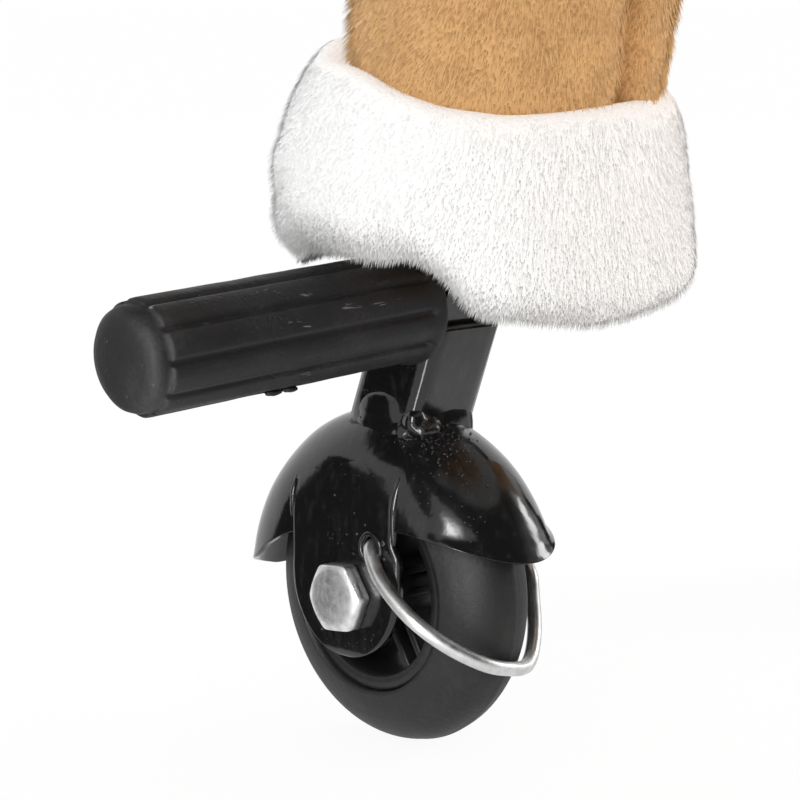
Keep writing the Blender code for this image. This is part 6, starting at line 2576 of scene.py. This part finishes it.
    def lid(self, side: int) -> Mesh:
        """The stitched upper lid over one eye.

        Args:
            side: 1 for the left and -1 for the right.

        Returns:
            The lid's mesh.
        """
        _, way, above = self.frame()
        middle, look = self.socket(side, 0.0515)
        level = (way - look * way.dot(look)).normalized()
        upright = look.cross(level)
        upright = upright if upright.dot(above) > 0 else -upright
        wide, tall = self.lid_size
        line, sizes = [], []
        for share in np.linspace(0.0, 1.0, 30):
            turn = math.radians(-16 + 212 * share)
            line.append(
                middle + level * wide * math.cos(turn) + upright * tall * math.sin(turn)
                + look * (0.0026 + 0.003 * math.sin(math.pi * share)))
            sizes.append(0.0012 + 0.0022 * math.sin(math.pi * share) ** 0.7)
        return tube(np.array(line), np.array(sizes), 10)

    def ear(self, side: int) -> Mesh:
        """One ear: a leaf of plush folded at its foot, hollow in front.

        Args:
            side: 1 for the left and -1 for the right.

        Returns:
            The ear's mesh, with tone 1 on its lining.
        """
        start, way, above = self.frame()
        foot = start + way * 0.018 + above * 0.034 + Vector((side * 0.036, 0, 0))
        lean = Vector((side * 0.2, 0.1, 1.0)).normalized()
        level = Vector((0.8, side * 0.62, 0.0)).normalized()
        front = Vector((side * 0.62, -0.8, 0.0)).normalized()
        outer, inner = [], []
        for share in np.linspace(0.0, 1.0, 26):
            leaf = math.sin(math.pi * (0.16 + 0.84 * share) ** 0.85) ** 0.72
            half = self.ear_half * leaf * (1 - 0.15 * share) + 0.0004
            hollow = 0.0095 * (1 - share) ** 0.8 + 0.001
            row_out, row_in = [], []
            for across in np.linspace(-1, 1, 17):
                bend = 1 - across * across
                spot = foot + lean * self.ear_length * share + level * half * across
                row_out.append(spot - front * (hollow * bend + 0.0012))
                row_in.append(spot - front * (hollow * bend * 0.72 - 0.0012 * (1 - abs(across))))
            outer.append(row_out)
            inner.append(row_in)
        mesh = modified(slab(np.array(outer), np.array(inner)), SUBDIVIDED)
        normals = normals_of(mesh)
        lining = smooth(normals @ np.array(front), 0.2, 0.5)
        comb = np.broadcast_to(np.array(lean) * 0.9, (len(mesh.vertices), 3))
        dress_skin(mesh, 1.0 - 0.35 * lining, comb, lining, 0.8)
        return mesh


@dataclass(frozen=True)
class Hair:
    """Mane and tail: a stuffed core with long cream hair on it."""

    mane: tuple = (
        (0.112, 0.628, 0.013, 0.016), (0.094, 0.66, 0.02, 0.028), (0.054, 0.732, 0.021, 0.032),
        (0.024, 0.812, 0.02, 0.031), (0.006, 0.872, 0.018, 0.026), (-0.03, 0.905, 0.015, 0.02),
        (-0.062, 0.902, 0.01, 0.012))
    tail: tuple = (
        (0.407, 0.548, 0.013, 0.013), (0.445, 0.546, 0.019, 0.018), (0.473, 0.505, 0.025, 0.023),
        (0.479, 0.44, 0.03, 0.027), (0.471, 0.36, 0.028, 0.026), (0.459, 0.29, 0.013, 0.013))
    mane_pile: Pile = Pile(215000.0, 0.035, 0.0012, 0.42, 0.42, 55.0, (9.0, 3), 11)
    tail_pile: Pile = Pile(225000.0, 0.034, 0.00125, 0.3, 0.28, 42.0, (9.0, 3), 12)

    def core(self, table: tuple, comb: tuple[float, float, float], sway: float) -> Mesh:
        """A stuffed core along a path, and what its hair reads.

        Args:
            table: distance behind the front hip, height, half width and half depth.
            comb: the way the hair lies.
            sway: how far the hair is parted to each side.

        Returns:
            The core's mesh.
        """
        rows = np.array(table)
        path = spline_through(rows, 60)
        turns = round_turns(28)
        middle = np.stack([np.zeros(60), path[:, 0] + LAYOUT.front_hip_y, path[:, 1]], axis=-1)
        out = np.cross(unit(np.gradient(middle, axis=0)), (1.0, 0.0, 0.0))
        rings = []
        for m, o, w, d in zip(middle, out, path[:, 2], path[:, 3]):
            rings.append([m + np.array((w * math.cos(t), 0, 0)) + o * d * math.sin(t) for t in turns])
        mesh = loft(np.array(rings))
        points = points_of(mesh)
        part = np.stack(
            [np.sign(points[:, 0]) * sway, np.zeros(len(points)), np.zeros(len(points))], axis=-1)
        dress_skin(mesh, 1.0, np.array(comb) + part, 0.0)
        return mesh


@dataclass(frozen=True)
class Saddle:
    """Padded saddle with a sewn edge, a seat cushion and side flaps."""

    torso: Torso
    padding: tuple = (
        (0.16, 0.03), (0.185, 0.027), (0.22, 0.014), (0.275, 0.01), (0.33, 0.017), (0.37, 0.036),
        (0.392, 0.034))
    edge: tuple = (
        (0.169, 0.14), (0.175, 0.123), (0.184, 0.072), (0.196, 0.049), (0.216, 0.049), (0.232, 0.072),
        (0.248, 0.114), (0.29, 0.135), (0.34, 0.143), (0.3875, 0.15))
    side_padding: float = 0.0075
    start: float = 0.1695
    stop: float = 0.387

    def turn_at(self, y: float) -> float:
        """The angle from the top at which the saddle ends, at a distance behind the front hip.

        Args:
            y: the distance.

        Returns:
            The angle, in radians.
        """
        tall, rise = section_at(self.torso.sections, y)[1:]
        low = np.interp(y, *np.array(self.edge).T)
        return math.acos(max(-0.95, min(0.95, (low - rise) / tall)))

    def outer(self, y: float, share: float, lift: float = 0.0) -> Vector:
        """A point on the saddle's outer face.

        Args:
            y: distance behind the front hip.
            share: -1 to 1 from one lower edge to the other.
            lift: distance outside the face.

        Returns:
            The point.
        """
        end = self.turn_at(y)
        turn = share * end
        top = section_at(self.padding, y)[0]
        crown = math.cos(min(math.pi / 2, abs(turn) * 1.25)) ** 2
        rim = min((1 - abs(share)) * end * 0.1, y - self.start, self.stop - y)
        soft = float(smooth(np.array(rim), -0.001, 0.009))
        grow = self.side_padding + (top - self.side_padding) * crown
        return self.torso.point(y, turn, 0.0055 + (grow - 0.0035) * (0.35 + 0.65 * soft) + lift)

    def body(self) -> Mesh:
        """The saddle itself.

        Returns:
            The mesh.
        """
        ys = self.start + (self.stop - self.start) * (1 - np.cos(np.linspace(0, math.pi, 64))) / 2
        shares = np.sin(np.linspace(-math.pi / 2, math.pi / 2, 72))
        outer = np.array([[self.outer(y, share) for share in shares] for y in ys])
        inner = np.array([
            [self.torso.point(y, share * self.turn_at(y), 0.003) for share in shares] for y in ys])
        return modified(slab(outer, inner), rounded(0.0012, 50))

    def cushion(self) -> Mesh:
        """The seat cushion, filled by simulation.

        Returns:
            The mesh.
        """
        outline = []
        for turn in round_turns(72):
            c, s = math.cos(turn), math.sin(turn)
            outline.append((math.copysign(abs(c) ** 0.8, c), math.copysign(abs(s) ** 0.8, s)))
        rings = []
        for share, lift in (
                (1.0, -0.003), (1.0, 0.0025), (0.97, 0.0048), (0.82, 0.0078), (0.6, 0.0092), (0.35, 0.01),
                (0.12, 0.0102)):
            ring = []
            for c, s in outline:
                y = 0.28 + 0.086 * c * share
                narrow = 0.44 + 0.16 * (y - 0.2) / 0.16
                ring.append(self.outer(y, narrow * s * share / max(1.0, self.turn_at(y)), lift))
            rings.append(ring)
        return swell(loft(np.array(rings)), 0.0045, 3.0, 0.006, 0.2)

    def edge_line(self, inset: float, lift: float) -> tuple[Array, Array]:
        """A line round the saddle's edge, and the way out of its face.

        Args:
            inset: distance in from the edge.
            lift: distance outside the face.

        Returns:
            The line's points and a direction for each.
        """
        ys = np.linspace(self.start + inset, self.stop - inset, 120)
        left, right = ([(y, sign * (1 - inset / (0.1 * self.turn_at(y)))) for y in ys] for sign in (1, -1))
        rear = [(ys[-1], share) for share in np.linspace(left[-1][1], right[-1][1], 60)[1:-1]]
        front = [(ys[0], share) for share in np.linspace(right[0][1], left[0][1], 60)[1:-1]]
        spots = left + rear + right[::-1] + front
        return laid_on(self.outer, spots, lift)


def strap(line: Array, away: Array, width: float, thick: float, closed: bool = False) -> Mesh:
    """A flat strap with rounded edges along a line.

    Args:
        line: the points of its middle, on its inner face.
        away: the way out of what it lies on, at each point.
        width: its width.
        thick: its thickness.
        closed: whether it is a loop.

    Returns:
        The mesh.
    """
    line = np.asarray(line, float)
    aside = unit(np.cross(way_along(line, closed), away))
    profile = (
        (-0.5, 0.0), (-0.5, 0.55), (-0.47, 0.85), (-0.42, 1.0), (0.0, 1.06), (0.42, 1.0), (0.47, 0.85),
        (0.5, 0.55), (0.5, 0.0))
    rings = np.stack(
        [line + aside * (across * width) + away * (lift * thick) for across, lift in profile], axis=1)
    return joined(rings, closed)


@dataclass(frozen=True)
class Tack:
    """Girth, bridle and their stitching and rings."""

    girth_y: float = 0.206
    girth_width: float = 0.03
    girth_thick: float = 0.003
    strap_width: float = 0.0125
    strap_thick: float = 0.0026
    noseband: float = 0.178
    headstall: float = 0.052
    ring_radius: float = 0.0098
    ring_wire: float = 0.0015
    ring_lift: float = 0.0042
    stitch_side: float = 0.0044
    stitch_step: float = 0.0042

    def girth(self, torso: Torso) -> tuple[Array, Array]:
        """The girth's line from one flap under the belly to the other, and the way out of it."""
        turns = np.linspace(1.62, 2 * math.pi - 1.62, 90)
        return laid_on(torso.point, [(self.girth_y, turn) for turn in turns], 0.0065)

    def loop(self, head: Head, along: float, lean: float) -> tuple[Array, Array]:
        """A loop round the head and the way out of it.

        Args:
            head: the head.
            along: where it crosses the forehead or the nose.
            lean: how much further along it runs under the head.

        Returns:
            The loop's points and a direction for each.
        """
        turns = round_turns(96)
        spots = [(along + lean * (1 - math.cos(turn)) / 2, turn) for turn in turns]
        return laid_on(head.point, spots, 0.005)

    def ring(self, spot: Array, out: Array) -> Mesh:
        """A ring that lies on the end of a strap.

        Args:
            spot: the end of the strap.
            out: the way out of the head there.

        Returns:
            The ring's mesh.
        """
        level = unit(np.cross(out, (0.0, 0.0, 1.0)))
        sides = [level * math.cos(turn) + np.cross(level, out) * math.sin(turn) for turn in round_turns(36)]
        path = spot + out * self.ring_lift + self.ring_radius * np.array(sides)
        return tube(path, self.ring_wire, 10, True)

    def cheek_strap(self, head: Head, side: int) -> tuple[Array, Array]:
        """The strap down one side of the head and the way out of it.

        Args:
            head: the head.
            side: 1 for the left and -1 for the right.

        Returns:
            The strap's line and a direction for each point.
        """
        spots = [
            (self.headstall + 0.004 + (self.noseband - self.headstall - 0.004) * share,
            side * (1.62 + 0.16 * math.sin(math.pi * share))) for share in np.linspace(0, 1, 40)]
        return laid_on(head.point, spots, 0.0046)


class Body:
    """The body with everything on it."""

    def __init__(self, trees: Trees, palette: Palette) -> None:
        """Keep what every piece needs.

        Args:
            trees: the shared trees.
            palette: the finishes.
        """
        self.trees = trees
        self.palette = palette
        self.torso = Torso()
        self.head = Head()

    def torso_and_neck(self) -> None:
        """The body and the neck in one skin."""
        p = self.palette
        skin = self.torso.skin()
        pile = BODY_PILE.grow(self.trees, skin, p.fibre)
        start = (0.0, LAYOUT.front_hip_y + 0.168, LAYOUT.hip_height)
        stop = (0.0, LAYOUT.front_hip_y + 0.06, LAYOUT.hip_height)
        body = put(
            "body_skin", skin, "", "tan_plush", ("barrel_plush", "chest_plush", "neck_plush"), p.cloth)
        hair = airy(put("body_pile", pile, "", "tan_plush", (), p.fibre))
        for obj in (body, hair):
            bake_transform(obj, "trunk", "front_end", start=start, end=stop)

    def head_piece(self) -> None:
        """The head with its ears and eyes."""
        p = self.palette
        skin = self.head.skin()
        pile = self.head.pile.grow(self.trees, skin, p.fibre)
        head = put("head_skin", skin, "front_end", "tan_plush", ("head_plush",), p.cloth)
        airy(put("head_pile", pile, "front_end", "tan_plush", (), p.fibre))
        for side, label in ((1, "left"), (-1, "right")):
            put(f"{label}_eye_dome", self.head.eye(side), "front_end", "eye", (f"{label}_eye",), p.eye)
            put(f"{label}_eye_lid", self.head.lid(side), "front_end", "tan_plush", (), p.strap)
            ear_mesh = self.head.ear(side)
            ear_pile = self.head.ear_pile.grow(self.trees, ear_mesh, p.fibre)
            ear = put(f"{label}_ear_skin", ear_mesh, "front_end", "tan_plush", (f"{label}_ear",), p.cloth)
            airy(put(f"{label}_ear_pile", ear_pile, "front_end", "tan_plush", (), p.fibre))

    def hair(self) -> None:
        """Mane and tail."""
        p = self.palette
        hair = Hair()
        for name, body, table, comb, sway, pile in (
                ("mane", "front_end", hair.mane, (0.0, 0.25, -0.7), 0.55, hair.mane_pile),
                ("tail", "trunk", hair.tail, (0.0, 0.1, -1.0), 0.1, hair.tail_pile)):
            core = hair.core(table, comb, sway)
            grown = pile.grow(self.trees, core, p.hair)
            piece = put(f"{name}_core", core, body, "mane", (name,), p.ground)
            put(f"{name}_hair", grown, body, "mane", (), p.hair)

    def saddle(self) -> None:
        """The saddle with its cushion, piping and stitches."""
        p = self.palette
        saddle = Saddle(self.torso)
        put("saddle_body", saddle.body(), "trunk", "saddle", ("saddle",), p.leather)
        put("saddle_cushion", saddle.cushion(), "trunk", "saddle", (), p.leather)
        line = saddle.edge_line(0.0012, 0.0006)[0]
        put("saddle_piping", tube(line, 0.0022, 10, True), "trunk", "saddle", (), p.strap)
        line, away = saddle.edge_line(0.0085, 0.0004)
        stitches = self.trees.stitches(line, away, 0.0052, p.thread, True)
        put("saddle_stitches", stitches, "trunk", "saddle", ())

    def tack(self) -> None:
        """The girth and the bridle."""
        p = self.palette
        tack = Tack()
        line, away = tack.girth(self.torso)
        girth = strap(line, away, tack.girth_width, tack.girth_thick)
        put("girth_strap", girth, "trunk", "saddle", ("girth",), p.strap)
        straps, stitches = [], []
        for along, lean in ((tack.noseband, 0.006), (tack.headstall, 0.01)):
            line, away = tack.loop(self.head, along, lean)
            straps.append(strap(line, away, tack.strap_width, tack.strap_thick, True))
            aside = unit(np.cross(way_along(line, True), away))
            face = line + away * (tack.strap_thick + 0.0001)
            for shift in (-tack.stitch_side, tack.stitch_side):
                stitches.append(self.trees.stitches(
                    face + aside * shift, away, tack.stitch_step, p.thread, True))
        rings = []
        for side in (1, -1):
            line, away = tack.cheek_strap(self.head, side)
            straps.append(strap(line, away, tack.strap_width, tack.strap_thick))
            for spot, out in ((line[0], away[0]), (line[-1], away[-1])):
                rings.append(tack.ring(spot, out))
        put("bridle_straps", merge(straps), "front_end", "saddle", ("bridle",), p.strap)
        put("bridle_stitches", merge(stitches), "front_end", "saddle", (), p.thread)
        put("bridle_rings", merge(rings), "front_end", "zinc", (), p.zinc)

    def grips(self) -> None:
        """The hand grips, ribbed, with a flange at their inner end."""
        p = self.palette
        rib_step, rib_depth = 0.0036, 0.0007
        bar = Matrix.Translation((0.0, LAYOUT.front_hip_y - 0.03, 0.735))
        profile = [
            (0.072, 0.0112), (0.072, 0.02), (0.0728, 0.0212), (0.0768, 0.0212), (0.0778, 0.02),
            (0.0785, 0.0168)]
        for x in np.arange(0.08, 0.16, 0.0004):
            dip = (0.5 + 0.5 * math.cos(2 * math.pi * (x - 0.08) / rib_step)) ** 3
            profile.append((x, 0.0166 - rib_depth * dip))
        profile += [(0.1612, 0.017), (0.1672, 0.017), (0.1686, 0.0162), (0.1693, 0.014), (0.1693, 0.0)]
        for sign, label in ((1, "left"), (-1, "right")):
            mesh = lathe([(sign * x, radius) for x, radius in profile], 40, False)
            mesh.transform(bar)
            node = f"{label}_hand_grip"
            put(f"{label}_grip_ribbed", outwards(mesh), "front_end", "rubber", (node,), p.grip)

    def build(self) -> None:
        """Build it all."""
        self.torso_and_neck()
        self.head_piece()
        self.hair()
        self.saddle()
        self.tack()
        self.grips()


# Studio

def heading(turn: float, rise: float) -> Vector:
    """The direction at a turn from +X and a rise from level, both in degrees."""
    turn, rise = math.radians(turn), math.radians(rise)
    return Vector((math.cos(rise) * math.cos(turn), math.cos(rise) * math.sin(turn), math.sin(rise)))


@dataclass(frozen=True)
class Studio:
    """Camera, lamps, floor and world, with cards that only reflections see: painted dark reflections and
    painted highlights.
    """

    lens: float = 117.33
    sensor: float = 36.0
    offset: tuple[float, float, float] = (0.49874, 0.52571, 0.16613)
    ahead: tuple[float, float, float] = (-0.6791, -0.7176, -0.1545)
    aside: tuple[float, float, float] = (-0.7263, 0.6874, 0.0)
    key_turn: float = 24.0
    key_rise: float = 22.0
    key_distance: float = 2.3
    key_size: tuple[float, float] = (0.72, 0.85)
    key_power: float = 11.0
    side_turn: float = 156.0
    side_rise: float = 20.0
    side_distance: float = 1.7
    side_size: tuple[float, float] = (0.9, 0.45)
    side_power: float = 10.5
    ambient: float = 1.0

    def camera(self) -> None:
        """The camera, where the photograph was taken."""
        wheel = Vector((LAYOUT.half_track, LAYOUT.front_axle_y, LAYOUT.axle_height))
        ahead = Vector(self.ahead).normalized()
        aside = Vector(self.aside).normalized()
        above = aside.cross(ahead).normalized()
        data = bpy.data.cameras.new("camera")
        data.lens = self.lens
        data.sensor_width = self.sensor
        data.clip_start = 0.02
        camera = in_scene("camera", data)
        turn = Matrix((aside, above, -ahead)).transposed().to_4x4()
        camera.matrix_world = Matrix.Translation(wheel + Vector(self.offset)) @ turn
        bpy.context.scene.camera = camera

    def lamp(
            self, name: str, direction: Vector, distance: float, size: tuple[float, float], power: float,
            target: Vector) -> None:
        """An area lamp that faces a point.

        Args:
            name: the lamp's name.
            direction: where it stands, seen from the target.
            distance: how far off it is.
            size: its width and height.
            power: its power in watts.
            target: the point that it faces.
        """
        data = bpy.data.lights.new(name, "AREA")
        data.shape = "RECTANGLE"
        data.size, data.size_y = size
        data.energy = power
        lamp = in_scene(name, data)
        lamp.location = target + direction.normalized() * distance
        lamp.rotation_euler = direction.to_track_quat("Z", "Y").to_euler()

    def world(self) -> None:
        """A white world for the camera and for reflections, and a plainer one for the light."""
        world = bpy.data.worlds.new("studio")
        world.use_nodes = True
        tree = NodeTree(world.node_tree)
        world.node_tree.nodes.clear()
        strength = tree.add(
            "ShaderNodeMapRange", {"Value": tree.seen(), "To Min": self.ambient, "To Max": 1.0})
        light = tree.add(
            "ShaderNodeBackground", {"Color": tone(1.0, 1.0, 1.0), "Strength": strength.outputs[0]})
        tree.add("ShaderNodeOutputWorld", {0: light.outputs[0]})
        bpy.context.scene.world = world

    def card(self, name: str, corners: tuple, colour: float, glow: float = 0.0) -> None:
        """A card that only reflections see: a dark one is a painted dark reflection, and one that glows is a
        painted highlight standing for a lamp's face.

        Args:
            name: its name.
            corners: its four corners.
            colour: how pale it is, 0 to 1.
            glow: strength of its glow.
        """
        mesh = make_mesh(np.array(corners), [(0, 1, 2, 3)], False)
        graph = Graph(name)
        graph.finish(
            Base_Color=tone(colour, colour, colour), Roughness=1.0, Specular_IOR_Level=0.0,
            Emission_Color=tone(1.0, 1.0, 1.0), Emission_Strength=glow)
        card = shown(name, mesh, graph.material)
        card.visible_camera = card.visible_diffuse = card.visible_shadow = card.visible_transmission = False

    def floor(self) -> None:
        """The pale floor, which keeps the horse's shadow."""
        reach = 30.0
        corners = [(-reach, -reach, 0.0), (reach, -reach, 0.0), (reach, reach, 0.0), (-reach, reach, 0.0)]
        mesh = make_mesh(np.array(corners), [(0, 1, 2, 3)], False)
        material = bpy.data.materials.new("floor")
        material.use_nodes = True
        tree = NodeTree(material.node_tree)
        material.node_tree.nodes.clear()
        matt = tree.add("ShaderNodeBsdfDiffuse", {"Color": tone(0.9, 0.9, 0.9)})
        white = tree.add("ShaderNodeEmission", {"Color": tone(1.0, 1.0, 1.0), "Strength": 1.0})
        mixed = tree.add(
            "ShaderNodeMixShader", {0: tree.times(tree.seen(), 0.93), 1: matt.outputs[0],
            2: white.outputs[0]})
        tree.add("ShaderNodeOutputMaterial", {0: mixed.outputs[0]})
        shown("floor", mesh, material)

    def build(self) -> None:
        """Set up the whole studio."""
        scene = bpy.context.scene
        scene.view_settings.view_transform = "Standard"
        self.camera()
        self.world()
        self.floor()
        wheel = Vector((LAYOUT.half_track, LAYOUT.front_axle_y, 0.09))
        key = heading(self.key_turn, self.key_rise)
        self.lamp("key", key, self.key_distance, self.key_size, self.key_power, wheel)
        self.lamp("fill", Vector((-0.8, -0.9, 0.8)), 3.2, (1.8, 1.8), 8.0, Vector((0.0, 0.0, 0.45)))
        side = heading(self.side_turn, self.side_rise)
        self.lamp("side", side, self.side_distance, self.side_size, self.side_power, wheel)
        # Dark cards that only reflections see: painted dark reflections in the gloss paint, which block no
        # light.
        self.card(
            "dark_roof", ((-2.6, -2.6, 2.5), (2.6, -2.6, 2.5), (2.6, 2.6, 2.5), (-2.6, 2.6, 2.5)), 0.01)
        wheel.z = 0.0
        self.card("dark_floor", self.sector(wheel, -62, -30, (0.1, 0.0006), (0.9, 0.0006)), 0.01)
        self.card("dark_wall", self.sector(wheel, -62, -30, (0.9, 0.0006), (0.9, 0.42)), 0.01)
        middle = ((-0.2, -0.1, 0.06), (0.25, -0.1, 0.06), (0.25, -0.1, 0.68), (-0.2, -0.1, 0.68))
        self.card("dark_middle", middle, 0.01)
        # Glowing cards that only reflections see and that light nothing: painted highlights towards the key
        # lamp.
        self.card("bright_floor", self.sector(wheel, 19, 28, (0.14, 0.0008), (0.8, 0.0008)), 1.0, 11.0)
        self.card("bright_strip", self.sector(wheel, 18, 30, (2.0, 0.12), (2.0, 1.25)), 1.0, 22.0)

    @staticmethod
    def sector(
            middle: Vector, start: float, stop: float, low: tuple[float, float],
            high: tuple[float, float]) -> tuple:
        """A card round a point: from one turn to another, between two distances and heights.

        Args:
            middle: the point.
            start: the first turn, in degrees.
            stop: the last one.
            low: distance and height of its first edge.
            high: the same for the other edge.

        Returns:
            Its four corners.
        """
        corners = []
        for turn, (reach, height) in ((start, low), (stop, low), (stop, high), (start, high)):
            angle = math.radians(turn)
            corners.append((middle.x + reach * math.cos(angle), middle.y + reach * math.sin(angle), height))
        return tuple(corners)


def dress_nodes(palette: Palette) -> None:
    """Give each node of the frame that still shows a finish chosen by words in its name.

    Args:
        palette: the finishes.
    """
    finishes = {
        "frame": palette.paint, "beam": palette.paint, "stem": palette.paint, "collar": palette.zinc,
        "plate": palette.paint, "handlebar": palette.zinc, "spring": palette.spring, "grip": palette.grip}
    for name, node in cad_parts.items():
        chosen = next((finish for key, finish in finishes.items() if key in name), palette.paint)
        if node.hide_render:
            continue
        for slot in node.material_slots:
            slot.material = chosen
        log.info("%s: kept, %s", name, chosen.name)


def main() -> None:
    """Build the horse, piece by piece."""
    logging.basicConfig(level=logging.INFO, format="%(name)s: %(message)s", stream=sys.stdout)
    Studio().build()
    palette = make_palette()
    trees = Trees()
    leg = Leg(trees, palette)
    for corner in CORNERS:
        leg.build(corner)
    Body(trees, palette).build()
    dress_nodes(palette)


if __name__ == "__main__":
    main()
